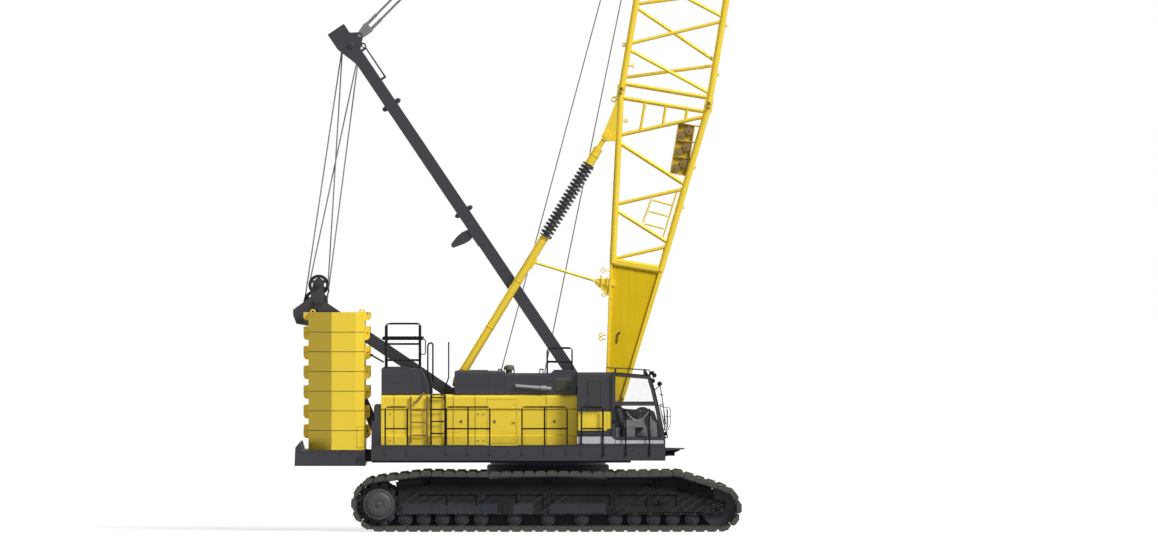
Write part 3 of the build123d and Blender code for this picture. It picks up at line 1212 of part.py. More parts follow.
def backstop_struts():
    """Backstop tubes with their feet, upper sleeves, eyes and link bars."""
    top, clamp = boom_point(*STRUT_TOP), boom_point(*LINK_CLAMP)
    length = math.dist(STRUT_FOOT, top)
    inner, outer = STRUT_Y - 40 + SEAT_GAP, STRUT_Y + 85
    link_x, link_z = on_strut(LINK_S)
    strut = fused([
        cross_pin(*STRUT_FOOT, STRUT_Y - 85, STRUT_Y + 85, STRUT_SEAT_R),
        strut_rod(20, STRUT_SPRING[0], STRUT_TUBE_D, STRUT_Y),
        strut_rod(STRUT_SPRING[0] - 10, length, 120, STRUT_Y),
        strut_rod(STRUT_SPRING[1], length - 330, STRUT_TUBE_D + 20, STRUT_Y),
        cross_pin(*top, inner, outer, STRUT_PIN_R + 50),
        rod((link_x, STRUT_Y, link_z), (clamp[0], STRUT_Y, clamp[1]), LINK_D),
        cross_pin(*clamp, STRUT_Y - LINK_D / 2, STRUT_Y + LINK_D / 2, LINK_EYE_R),
    ])
    strut -= cross_pin(*top, inner - 200, outer + 200, STRUT_PIN_R + SEAT_GAP)
    strut -= box(top[0] - 500, top[0] + 500, inner - 260, inner, top[1] - 320, top[1] + 500)
    strut -= cross_pin(*clamp, STRUT_Y - 200, STRUT_Y + 200, LINK_PIN_R + SEAT_GAP)
    return group([strut, mirror(strut, about=Plane.XZ)])


def backstop_springs():
    """Spring packs round the upper part of the backstops."""
    s0, s1 = STRUT_SPRING
    bore = 120 + 2 * SEAT_GAP
    parts = []
    for side in (-1, 1):
        y = side * STRUT_Y
        wide = strut_rod(s0 + SEAT_GAP, s1 - SEAT_GAP, STRUT_SPRING_D - 60, y)
        pitch = (s1 - s0) / STRUT_SPRING_DISCS
        starts = [s0 + (i + 0.25) * pitch for i in range(STRUT_SPRING_DISCS)]
        discs = [strut_rod(start, start + pitch / 2, STRUT_SPRING_D, y) for start in starts]
        parts.append(fused([wide] + discs) - strut_rod(s0 - 10, s1 + 10, bore, y))
    return group(parts)


# ---- hook ---------------------------------------------------------------------------------
def hook_pin():
    """Pin of the hook block in the machine's side plane, under the tip sheaves."""
    x, z = boom_point(TIP_SHEAVE_U, TIP_SHEAVE_V)
    return x, z - HOOK_DROP


def hook_falls():
    """Load falls from the tip sheaves down to the block's sheaves."""
    x, z = boom_point(TIP_SHEAVE_U, TIP_SHEAVE_V)
    on_block = HOOK_SHEAVE_R - GROOVE_DEPTH + SEAT_GAP + ROPE_D / 2
    runs = tangents((x, z), fall_radius(TIP_SHEAVE_R), hook_pin(), on_block, False)
    return group([rod((a[0], y, a[1]), (b[0], y, b[1]), ROPE_D) for y in tip_places() for a, b in runs])


def hook_block():
    """Hook block: cheeks, sheaves on their pin, weights and the hook."""
    x, z = hook_pin()
    edge = tip_places()[-1] + 70
    cheek = [(x - 230, z - 560), (x + 230, z - 560), (x + 280, z - 120), (x + 200, z + 250),
             (x - 200, z + 250), (x - 280, z - 120)]
    parts = [plate(cheek, s * edge, s * (edge + 40)) for s in (-1, 1)]
    parts.append(cross_pin(x, z, -edge, edge, SHEAVE_PIN_R))
    parts += [cross_pin(x, z, y - 45, y + 45, HOOK_SHEAVE_R - GROOVE_DEPTH) for y in tip_places()]
    parts.append(box(x - 210, x + 210, -edge, edge, z - 740, z - 350))
    parts.append(rod((x, 0, z - 1000), (x, 0, z - 700), 120))
    bowl_z = z - 1000 - HOOK_R + 10
    ring_shape = cross_pin(x, bowl_z, -HOOK_THICKNESS / 2, HOOK_THICKNESS / 2, HOOK_R)
    eye = cross_pin(x, bowl_z, -HOOK_THICKNESS, HOOK_THICKNESS, HOOK_BOWL_R)
    gap = [(x, bowl_z), (x + 300, bowl_z - 20), (x + 300, bowl_z + 190), (x + 40, bowl_z + 160)]
    mouth = plate(gap, -90, 90)
    parts.append(ring_shape - eye - mouth)
    return fused(parts)


NODES = {
    "track_right": lambda: track_loop(-1),
    "track_left": lambda: track_loop(1),
    "track_frame_right": lambda: track_frame(-1),
    "track_frame_left": lambda: track_frame(1),
    "track_rollers": track_rollers,
    "drive_tumblers": drive_tumblers,
    "idlers": idlers,
    "final_drives": final_drives,
    "carbody": carbody,
    "slew_ring": slew_ring,
    "revolving_frame": revolving_frame,
    "side_decks": side_decks,
    "foot_brackets": foot_brackets,
    "house_right": lambda: house(-1),
    "house_left": lambda: house(1),
    "house_door_right": lambda: house_door(-1),
    "house_door_left": lambda: house_door(1),
    "hoods": hoods,
    "engine": engine,
    "guard_rails": guard_rails,
    "house_ladder": lambda: ladder("house_ladder"),
    "deck_ladder": lambda: ladder("deck_ladder"),
    "cab_shell": cab_shell,
    "cab_glass": cab_glass,
    "cab_door": cab_door,
    "cab_door_glass": cab_door_glass,
    "cab_console": cab_console,
    "cab_seat": cab_seat,
    "cabinet": cabinet,
    "cabinet_panels": cabinet_panels,
    "main_drum": lambda: drum("main_drum"),
    "aux_drum": lambda: drum("aux_drum"),
    "boom_hoist_drum": lambda: drum("boom_hoist_drum"),
    "winch_frame": winch_frame,
    "counterweight_tray": counterweight_tray,
    "counterweights": counterweights,
    "gantry": gantry,
    "gantry_sheaves_lower": lambda: gantry_sheaves(LOWER_SHEAVE_PIN, LOWER_SHEAVE_R, fall_places()[0::2]),
    "gantry_sheaves_upper": lambda: gantry_sheaves(UPPER_SHEAVE_PIN, UPPER_SHEAVE_R, fall_places()[1::2]),
    "lower_falls": lower_falls,
    "upper_falls": upper_falls,
    "mast_frame": mast_frame,
    "mast_sheaves": mast_sheaves,
    "pendants": pendants,
    "boom_base": boom_base,
    "boom_insert": boom_insert,
    "boom_tip": boom_tip,
    "tip_sheaves": tip_sheaves,
    "back_sheaves": back_sheaves,
    "backstop_struts": backstop_struts,
    "backstop_springs": backstop_springs,
    "hoist_rope_main": lambda: hoist_rope("main_drum", -HOIST_ROPE_Y),
    "hoist_rope_aux": lambda: hoist_rope("aux_drum", HOIST_ROPE_Y),
    "hook_falls": hook_falls,
    "hook_block": hook_block,
}


def main():
    """Write one STEP file for each node."""
    os.makedirs("parts", exist_ok=True)
    for name, make in NODES.items():
        export_step(make(), f"parts/{name}.step")


if __name__ == "__main__":
    main()
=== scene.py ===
import json
import logging
import math
from dataclasses import dataclass
from enum import Enum
from typing import NamedTuple

import bmesh
import bpy
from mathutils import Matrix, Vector


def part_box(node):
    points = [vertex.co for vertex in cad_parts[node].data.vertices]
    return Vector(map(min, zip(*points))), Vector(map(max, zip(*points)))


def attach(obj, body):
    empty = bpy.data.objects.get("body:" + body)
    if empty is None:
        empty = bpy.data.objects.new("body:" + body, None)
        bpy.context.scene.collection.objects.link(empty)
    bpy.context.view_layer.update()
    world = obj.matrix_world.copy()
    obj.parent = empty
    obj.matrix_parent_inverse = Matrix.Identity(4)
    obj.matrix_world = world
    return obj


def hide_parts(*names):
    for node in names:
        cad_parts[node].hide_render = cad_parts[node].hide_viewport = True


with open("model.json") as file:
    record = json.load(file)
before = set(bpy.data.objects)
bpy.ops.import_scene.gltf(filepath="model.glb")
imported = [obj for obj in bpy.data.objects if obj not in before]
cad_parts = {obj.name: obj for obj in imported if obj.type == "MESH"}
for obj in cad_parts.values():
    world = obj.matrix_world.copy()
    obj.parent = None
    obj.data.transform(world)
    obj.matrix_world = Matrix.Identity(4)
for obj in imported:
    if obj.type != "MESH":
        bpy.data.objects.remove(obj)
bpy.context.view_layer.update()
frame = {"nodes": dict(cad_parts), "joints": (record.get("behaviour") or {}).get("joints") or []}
log = logging.getLogger("crane")

Point = tuple[float, float, float]
Flat = tuple[float, float]
Colour = tuple[float, float, float]
Socket = bpy.types.NodeSocket
Sockets = bpy.types.bpy_prop_collection
Piece = bpy.types.Object

# how alike a rounded and a plain normal are where an edge starts to show, and where it shows in full
ALIKE, UNLIKE = 0.985, 0.8


class Slot(Enum):
    """The record's finishes, by the name that each has there."""

    YELLOW = "yellow_paint"
    BLACK = "black_paint"
    GREY = "grey_paint"
    DARK_STEEL = "dark_steel"
    TRACK = "track_steel"
    ROPE = "rope"
    GLASS = "glass"
    SEAT = "seat"
    CONSOLE = "console"
    ENGINE = "engine_iron"


class Body(Enum):
    """The moving bodies that pieces ride on."""

    UNDER = "undercarriage"
    UPPER = "upper"
    MAST = "mast"
    BOOM = "boom"
    HOOK = "hook"
    CAB_DOOR = "cab_door"
    DOOR_RIGHT = "house_door_right"
    DOOR_LEFT = "house_door_left"
    MAIN_DRUM = "main_drum"
    AUX_DRUM = "aux_drum"
    BOOM_DRUM = "boom_hoist_drum"
    GANTRY_LOW = "gantry_sheaves_lower"
    GANTRY_HIGH = "gantry_sheaves_upper"
    MAST_SHEAVES = "mast_sheaves"
    TIP_SHEAVES = "tip_sheaves"
    BACK_SHEAVES = "back_sheaves"


# ---- node trees ---------------------------------------------------------------------------


class Tree:
    """A thin wrapper that adds and links the nodes of one tree."""

    def __init__(self, tree: bpy.types.NodeTree) -> None:
        """Wraps the shader or geometry tree to fill."""
        self.tree = tree

    def add(self, kind: str, inputs: dict | None = None, **settings: object) -> bpy.types.Node:
        """Adds one node.

        Args:
            kind: the node's type name.
            inputs: value or source socket for each input, by name or number.
            **settings: properties of the node itself.

        Returns:
            The new node.
        """
        node = self.tree.nodes.new(kind)
        for key, value in settings.items():
            setattr(node, key, value)
        for key, value in (inputs or {}).items():
            if isinstance(value, Socket):
                self.tree.links.new(value, node.inputs[key])
            else:
                node.inputs[key].default_value = value
        return node

    def maths(self, operation: str, *values: object) -> Socket:
        """Adds a Math node for a sum of numbers or sockets, and returns its output."""
        return self.add("ShaderNodeMath", dict(enumerate(values)), operation=operation).outputs[0]

    def product(self, first: object, *others: object) -> object:
        """Multiplies numbers or sockets together.

        Args:
            first: the first of them.
            *others: the rest.

        Returns:
            The product's socket.
        """
        for other in others:
            first = self.maths("MULTIPLY", first, other)
        return first

    def ranged(
        self, value: object, low: float, high: float, to_low: float = 0.0, to_high: float = 1.0
    ) -> object:
        """Maps a value from one range to another, kept inside the second.

        Args:
            value: the socket to map.
            low: start of its range.
            high: end of its range.
            to_low: result at the start.
            to_high: result at the end.

        Returns:
            The mapped socket.
        """
        inputs = {"Value": value, 1: low, 2: high, 3: to_low, 4: to_high}
        return self.add("ShaderNodeMapRange", inputs).outputs[0]

    def mix(self, share: object, first: object, second: object) -> Socket:
        """Mixes two colours, with a share of the second from 0 to 1."""
        inputs = {0: share, 6: shade_of(first), 7: shade_of(second)}
        return self.add("ShaderNodeMix", inputs, data_type="RGBA").outputs[2]

    def noise(self, where: object, scale: float, detail: float = 3.0, roughness: float = 0.55) -> object:
        """Adds a noise pattern and returns its value.

        Args:
            where: coordinates.
            scale: patches a metre.
            detail: octaves.
            roughness: strength of the finer octaves.

        Returns:
            The pattern's value.
        """
        inputs = {"Vector": where, "Scale": scale, "Detail": detail, "Roughness": roughness}
        return self.add("ShaderNodeTexNoise", inputs).outputs[0]

    def bump(self, height: object, strength: float, distance: float) -> Socket:
        """Adds a bump of a strength and a depth in metres, and returns its normal."""
        inputs = {"Strength": strength, "Distance": distance, "Height": height}
        return self.add("ShaderNodeBump", inputs).outputs[0]

    def edges(self, radius: float, share: float = 1.0) -> object:
        """Finds the edges.

        Args:
            radius: how far in from an edge it shows, in metres.
            share: what an edge reaches.

        Returns:
            0 on flat faces, rising to the share at edges.
        """
        rounded = self.add("ShaderNodeBevel", {"Radius": radius}, samples=4).outputs[0]
        plain = self.add("ShaderNodeNewGeometry").outputs["Normal"]
        inputs = {0: rounded, 1: plain}
        alike = self.add("ShaderNodeVectorMath", inputs, operation="DOT_PRODUCT").outputs["Value"]
        return self.ranged(alike, ALIKE, UNLIKE, 0.0, share)


def shade_of(colour: object) -> object:
    """Gives a colour the fourth number that a colour socket wants, and leaves a socket alone."""
    return (*colour, 1.0) if isinstance(colour, tuple) and len(colour) == 3 else colour


def scaled(colour: Colour, factor: float, lift: float = 0.0) -> Colour:
    """Returns a colour made darker or lighter, and lifted towards white, up to white itself."""
    return tuple(min(1.0, part * factor + lift) for part in colour)


# ---- finishes -----------------------------------------------------------------------------


@dataclass(frozen=True)
class Finish:
    """A surface finish, with the record's slot that it belongs to."""

    name: str
    slot: Slot
    colour: Colour
    roughness: float = 0.5
    metallic: float = 0.0
    specular: float = 0.5

    def material(self) -> bpy.types.Material:
        """Makes the material on first use, and finds it by its name after that.

        Returns:
            The finish's material.
        """
        made = bpy.data.materials.get(self.name)
        if made is None:
            made = bpy.data.materials.new(self.name)
            made.use_nodes = True
            made.node_tree.nodes.clear()
            tree = Tree(made.node_tree)
            inputs = {
                "Base Color": shade_of(self.colour),
                "Roughness": self.roughness,
                "Metallic": self.metallic,
                "Specular IOR Level": self.specular,
            }
            inputs |= self.dress(tree, tree.add("ShaderNodeTexCoord").outputs["Object"])
            surface = tree.add("ShaderNodeBsdfPrincipled", inputs).outputs[0]
            tree.add("ShaderNodeOutputMaterial", {"Surface": surface})
        return made

    def dress(self, tree: Tree, where: object) -> dict[str, object]:
        """Makes the patterns that drive the surface.

        Args:
            tree: the material's tree.
            where: object coordinates.

        Returns:
            The inputs that differ from the plain ones.
        """
        tone = tree.ranged(tree.noise(where, 6.0), 0.35, 0.65)
        spread = tree.noise(where, 22.0)
        return {
            "Base Color": tree.mix(tone, self.colour, scaled(self.colour, 0.82)),
            "Roughness": tree.ranged(spread, 0.3, 0.7, self.roughness - 0.06, self.roughness + 0.06),
        }


@dataclass(frozen=True)
class Paint(Finish):
    """Machine paint: slow tone changes, faint runs, dust low down, and paler edges that are partly wear and
    partly a painted highlight.
    """

    coat: float = 0.0
    coat_roughness: float = 0.18
    tone_change: float = 0.08
    runs: float = 0.1
    run_colour: Colour = (0.02, 0.02, 0.02)
    dust: Colour = (0.3, 0.27, 0.22)
    dust_low: float = 0.2
    dust_top: float = 1.6
    dust_share: float = 0.3
    # share of the paler edge colour, partly worn paint and partly a painted highlight along the edges
    edge_wear_and_highlight: float = 0.35
    edge_radius: float = 0.01

    def dress(self, tree: Tree, where: object) -> dict[str, object]:
        """Makes the paint's colour, its uneven gloss and its orange peel.

        Args:
            tree: the material's tree.
            where: object coordinates.

        Returns:
            The inputs that differ from the plain ones.
        """
        colour = self.painted(tree, where)
        streaked = tree.add("ShaderNodeMapping", {"Vector": where, "Scale": (5.0, 5.0, 0.45)}).outputs[0]
        runs = tree.ranged(tree.noise(streaked, 1.6, 5.0, 0.6), 0.45, 0.75)
        colour = tree.mix(tree.product(runs, self.runs), colour, self.run_colour)
        height = tree.add("ShaderNodeSeparateXYZ", {0: where}).outputs[2]
        low = tree.ranged(height, self.dust_low, self.dust_top, 1.0, 0.0)
        patch = tree.ranged(tree.noise(where, 2.3, 6.0, 0.65), 0.35, 0.7)
        colour = tree.mix(tree.product(low, patch, self.dust_share), colour, self.dust)
        # paler edges, partly worn paint and partly a painted highlight that brightens every edge
        colour = tree.mix(self.worn(tree, where), colour, scaled(self.colour, 1.6, 0.05))
        spread = tree.noise(where, 4.0, 5.0)
        return {
            "Base Color": colour,
            "Roughness": tree.ranged(spread, 0.3, 0.7, self.roughness - 0.07, self.roughness + 0.09),
            "Normal": tree.bump(tree.noise(where, 90.0, 2.0), 0.06, 0.002),
            "Coat Weight": self.coat,
            "Coat Roughness": self.coat_roughness,
        }

    def painted(self, tree: Tree, where: object) -> object:
        """Returns the paint's own colour with its slow tone changes."""
        tone = tree.ranged(tree.noise(where, 0.7, 4.0), 0.35, 0.65)
        return tree.mix(tone, self.colour, scaled(self.colour, 1.0 - self.tone_change))

    def worn(self, tree: Tree, where: object) -> object:
        """Returns the share of paler edge colour, partly wear and partly painted highlight: most at the
        edges, broken up by a fine pattern.
        """
        broken = tree.ranged(tree.noise(where, 9.0, 5.0, 0.7), 0.4, 0.62, 0.35, 1.0)
        return tree.product(tree.edges(self.edge_radius), broken, self.edge_wear_and_highlight)


@dataclass(frozen=True)
class FramePaint(Paint):
    """The track frames' paint: a paler band along the foot, and above it fine slanting light streaks that
    are a painted reflection.
    """

    band: Colour = (0.036, 0.04, 0.052)
    band_z: Flat = (0.44, 0.68)
    band_x: tuple[Flat, ...] = ((-3.49, -1.21), (-0.83, -0.34), (0.06, 1.39))
    band_blur: float = 0.015
    # the painted reflection's slanting light streaks: spacing, slope, strength and where they fade out at
    # the top
    reflection_spacing: float = 0.28
    reflection_slope: float = 1.4
    reflection_share: float = 0.75
    reflection_top: Flat = (0.93, 0.97)

    def painted(self, tree: Tree, where: object) -> object:
        """Adds the band and the painted reflection streaks to the paint's colour.

        Args:
            tree: the material's tree.
            where: object coordinates.

        Returns:
            The colour.
        """
        base = Paint.painted(self, tree, where)
        along, _, height = tree.add("ShaderNodeSeparateXYZ", {0: where}).outputs
        # painted reflection: slanting streaks in the band's paler colour, in patches, fading out near the
        # top
        slant = tree.maths("SUBTRACT", along, tree.product(height, self.reflection_slope))
        reflection_wave = tree.maths("SINE", tree.product(slant, 2 * math.pi / self.reflection_spacing))
        patch = tree.ranged(tree.noise(where, 1.3, 2.0), 0.42, 0.52, 0.0, self.reflection_share)
        below = tree.ranged(height, *self.reflection_top, 1.0, 0.0)
        base = tree.mix(tree.product(tree.ranged(reflection_wave, 0.72, 0.92), patch, below), base, self.band)
        lengths = 0.0
        for length in self.band_x:
            lengths = tree.maths("ADD", lengths, self.window(tree, along, length))
        return tree.mix(tree.product(self.window(tree, height, self.band_z), lengths), base, self.band)

    def window(self, tree: Tree, value: object, span: Flat) -> object:
        """Finds where a value lies within a span.

        Args:
            tree: the material's tree.
            value: the socket to test.
            span: from and to.

        Returns:
            1 within the span, with a soft edge, and 0 outside it.
        """
        up = tree.ranged(value, span[0] - self.band_blur, span[0] + self.band_blur)
        down = tree.ranged(value, span[1] - self.band_blur, span[1] + self.band_blur, 1.0, 0.0)
        return tree.product(up, down)


@dataclass(frozen=True)
class Worn(Finish):
    """Bare or mud-stained steel: rust and soil in patches, polished where it rubs."""

    rust: Colour = (0.16, 0.085, 0.045)
    rust_share: float = 0.5
    soil: Colour = (0.02, 0.018, 0.016)
    soil_share: float = 0.35
    shine: Colour = (0.36, 0.34, 0.31)
    polish: float = 0.3
    edge_radius: float = 0.008

    def dress(self, tree: Tree, where: object) -> dict[str, object]:
        """Makes the steel's stains, its polished edges and its rough skin.

        Args:
            tree: the material's tree.
            where: object coordinates.

        Returns:
            The inputs that differ from the plain ones.
        """
        patch = tree.noise(where, 5.0, 7.0, 0.68)
        fine = tree.noise(where, 55.0, 4.0)
        colour = tree.mix(tree.ranged(patch, 0.45, 0.68, 0.0, self.rust_share), self.colour, self.rust)
        colour = tree.mix(tree.ranged(fine, 0.55, 0.75, 0.0, self.soil_share), colour, self.soil)
        return {
            "Base Color": tree.mix(tree.edges(self.edge_radius, self.polish), colour, self.shine),
            "Roughness": tree.ranged(patch, 0.35, 0.65, self.roughness - 0.08, self.roughness + 0.14),
            "Normal": tree.bump(fine, 0.35, 0.004),
        }


@dataclass(frozen=True)
class Strand(Finish):
    """Laid wire rope: slanting bands for the strands, darker in the valleys between them, and oil stains.
    """

    pitch: float = 26.0
    oil: float = 0.45

    def dress(self, tree: Tree, where: object) -> dict[str, object]:
        """Makes the rope's strands and its stains.

        Args:
            tree: the material's tree.
            where: object coordinates.

        Returns:
            The inputs that differ from the plain ones.
        """
        inputs = {"Vector": where, "Rotation": (0.0, 0.75, 0.5)}
        slanted = tree.add("ShaderNodeMapping", inputs).outputs[0]
        inputs = {"Vector": slanted, "Scale": self.pitch, "Distortion": 0.0}
        lay = tree.add("ShaderNodeTexWave", inputs, bands_direction="Z").outputs["Fac"]
        dark = scaled(self.colour, 0.35)
        stain = tree.product(tree.ranged(tree.noise(where, 3.0, 5.0), 0.35, 0.7), self.oil)
        colour = tree.mix(tree.ranged(lay, 0.0, 0.35, 1.0, 0.0), self.colour, dark)
        return {"Base Color": tree.mix(stain, colour, dark), "Normal": tree.bump(lay, 0.5, 0.003)}


@dataclass(frozen=True)
class Glazing(Finish):
    """Clear cab glass with a faint uneven haze."""

    clear: float = 0.03
    haze: float = 0.02

    def dress(self, tree: Tree, where: object) -> dict[str, object]:
        """Makes the glass's haze."""
        spread = tree.noise(where, 7.0, 5.0, 0.6)
        return {"Alpha": tree.ranged(spread, 0.45, 0.75, self.clear, self.clear + self.haze)}


@dataclass(frozen=True)
class Cloth(Finish):
    """Woven seat cloth: crossed threads, a soft sheen and a faint fleck."""

    threads: float = 260.0
    turn: float = 6.28
    sheen: float = 0.3

    def dress(self, tree: Tree, where: object) -> dict[str, object]:
        """Makes the weave and the fleck.

        Args:
            tree: the material's tree.
            where: object coordinates.

        Returns:
            The inputs that differ from the plain ones.
        """
        axes = tree.add("ShaderNodeSeparateXYZ", {0: where}).outputs
        across, deep, up = (
            tree.maths("SINE", tree.product(axis, self.threads * self.turn)) for axis in axes)
        weave = tree.product(tree.maths("ADD", across, up), deep)
        fleck = tree.ranged(tree.noise(where, 120.0, 2.0), 0.55, 0.7, 0.0, 0.5)
        return {
            "Base Color": tree.mix(fleck, self.colour, scaled(self.colour, 1.7)),
            "Normal": tree.bump(weave, 0.25, 0.001),
            "Sheen Weight": self.sheen,
            "Sheen Roughness": 0.5,
        }


YELLOW = Paint(
    "yellow_paint", Slot.YELLOW, (0.87, 0.61, 0.012), 0.42, coat=0.12, edge_wear_and_highlight=0.18, dust_top=1.9,
    specular=0.35)
# painted shade: a darker copy of the yellow, laid on the boom's foot plates for the shade in their recess
RECESS_SHADE = Paint("recess_yellow_paint", Slot.YELLOW, (0.8, 0.55, 0.008), 0.5, edge_wear_and_highlight=0.1, specular=0.2)
BLACK = Paint(
    "black_paint", Slot.BLACK, (0.01, 0.0097, 0.012), 0.54, edge_wear_and_highlight=0.22, dust_top=1.7, dust_share=0.2,
    specular=0.05)
RAIL = Paint(
    "rail_paint", Slot.BLACK, (0.012, 0.012, 0.014), 0.5, edge_wear_and_highlight=0.15, edge_radius=0.004, specular=0.08)
FRAME = FramePaint(
    "track_frame_paint", Slot.GREY, (0.013, 0.013, 0.016), 0.55, edge_wear_and_highlight=0.25, dust_top=1.5,
    dust_share=0.1, specular=0.08)
COVER = Paint(
    "drive_cover_paint", Slot.DARK_STEEL, (0.026, 0.028, 0.036), 0.5, dust_top=1.6, dust_share=0.15)
STEEL = Worn("dark_steel", Slot.DARK_STEEL, (0.03, 0.03, 0.032), 0.5, 0.25, specular=0.2, rust_share=0.2)
SHEAVE = Worn(
    "sheave_steel", Slot.DARK_STEEL, (0.024, 0.024, 0.027), 0.48, 0.2, specular=0.2, rust_share=0.1)
TRACK = Worn(
    "track_steel", Slot.TRACK, (0.013, 0.0125, 0.012), 0.62, 0.05, specular=0.08, rust_share=0.08,
    polish=0.15)
ROPE = Strand("wire_rope", Slot.ROPE, (0.3, 0.295, 0.285), 0.45, 0.35)
CLEAR = Glazing("cab_glass", Slot.GLASS, (0.1, 0.13, 0.14), 0.04)
FABRIC = Cloth("seat_cloth", Slot.SEAT, (0.045, 0.045, 0.05), 0.85)
CONSOLE = Paint("console_plastic", Slot.CONSOLE, (0.22, 0.23, 0.24), 0.55, edge_wear_and_highlight=0.1, dust_share=0.1)
IRON = Worn("engine_iron", Slot.ENGINE, (0.1, 0.1, 0.1), 0.6, 0.5)
STRIPE = Paint("stripe_paint", Slot.GREY, (0.56, 0.56, 0.6), 0.42, coat=0.2)
BRIGHT = Finish("bright_steel", Slot.DARK_STEEL, (0.62, 0.62, 0.64), 0.25, 0.9)
RUBBER = Finish("black_rubber", Slot.BLACK, (0.018, 0.018, 0.018), 0.75)
SEAM = Finish("seam_shadow", Slot.BLACK, (0.03, 0.026, 0.018), 0.8)
BOLT = Worn("bolt_steel", Slot.DARK_STEEL, (0.1, 0.09, 0.075), 0.5, 0.5, rust_share=0.3)
LENS = Finish("lamp_lens", Slot.GLASS, (0.75, 0.78, 0.78), 0.12)
DARK_GLASS = Finish("dark_glass", Slot.GLASS, (0.022, 0.027, 0.027), 0.06)
OLIVE = Paint("olive_paint", Slot.BLACK, (0.085, 0.08, 0.05), 0.6, edge_wear_and_highlight=0.2)
PALE = Paint("pale_pipe_paint", Slot.GREY, (0.34, 0.34, 0.33), 0.45)
WARM = Paint("warm_yellow_paint", Slot.YELLOW, (0.62, 0.41, 0.03), 0.5, edge_wear_and_highlight=0.25)
BROWN = Worn("brown_steel", Slot.DARK_STEEL, (0.25, 0.17, 0.045), 0.5, 0.15, rust_share=0.25)
SPRING = Paint("spring_paint", Slot.BLACK, (0.03, 0.028, 0.03), 0.4, edge_wear_and_highlight=0.1)
DRUM_ROPE = Strand("drum_rope", Slot.ROPE, (0.22, 0.21, 0.19), 0.5, 0.5, pitch=60.0)

NODE_FINISHES: dict[Finish, str] = {
    FRAME: "track_frame_right track_frame_left",
    STEEL: "track_rollers drive_tumblers idlers slew_ring main_drum aux_drum boom_hoist_drum",
    COVER: "final_drives",
    BLACK: (
        "carbody revolving_frame side_decks foot_brackets hoods cab_shell cab_door cabinet "
        "winch_frame counterweight_tray gantry mast_frame hook_block backstop_springs"
    ),
    YELLOW: (
        "house_right house_left house_door_right house_door_left cabinet_panels counterweights "
        "boom_base boom_insert boom_tip backstop_struts"
    ),
    IRON: "engine",
    RAIL: "guard_rails deck_ladder",
    CLEAR: "cab_glass cab_door_glass",
    CONSOLE: "cab_console",
    SHEAVE: "gantry_sheaves_lower gantry_sheaves_upper mast_sheaves tip_sheaves back_sheaves",
    ROPE: "lower_falls upper_falls pendants hoist_rope_main hoist_rope_aux hook_falls",
    FABRIC: "cab_seat",
    TRACK: "track_right track_left",
    # painted shade: the house ladder gets this brown, a darkened stand-in for its yellow in the shade of
    # its recessed step well
    BROWN: "house_ladder",
}


def dress_nodes() -> None:
    """Gives every CAD node that stays in sight its finish."""
    for finish, names in NODE_FINISHES.items():
        for name in names.split():
            for entry in frame["nodes"][name].material_slots:
                entry.material = finish.material()
            log.info("dressed %s", name)


# ---- shapes -------------------------------------------------------------------------------


# edges flatter than the first are smoothed over, and those sharper than the second are rounded, in degrees
SMOOTH_TO, BEVEL_FROM = 35.0, 38.0
# the cosine at which a tube's mitre stops growing, and the smallest bend and radius that count, in metres
SHARPEST, TINY, THINNEST = 0.5, 1e-6, 1e-4


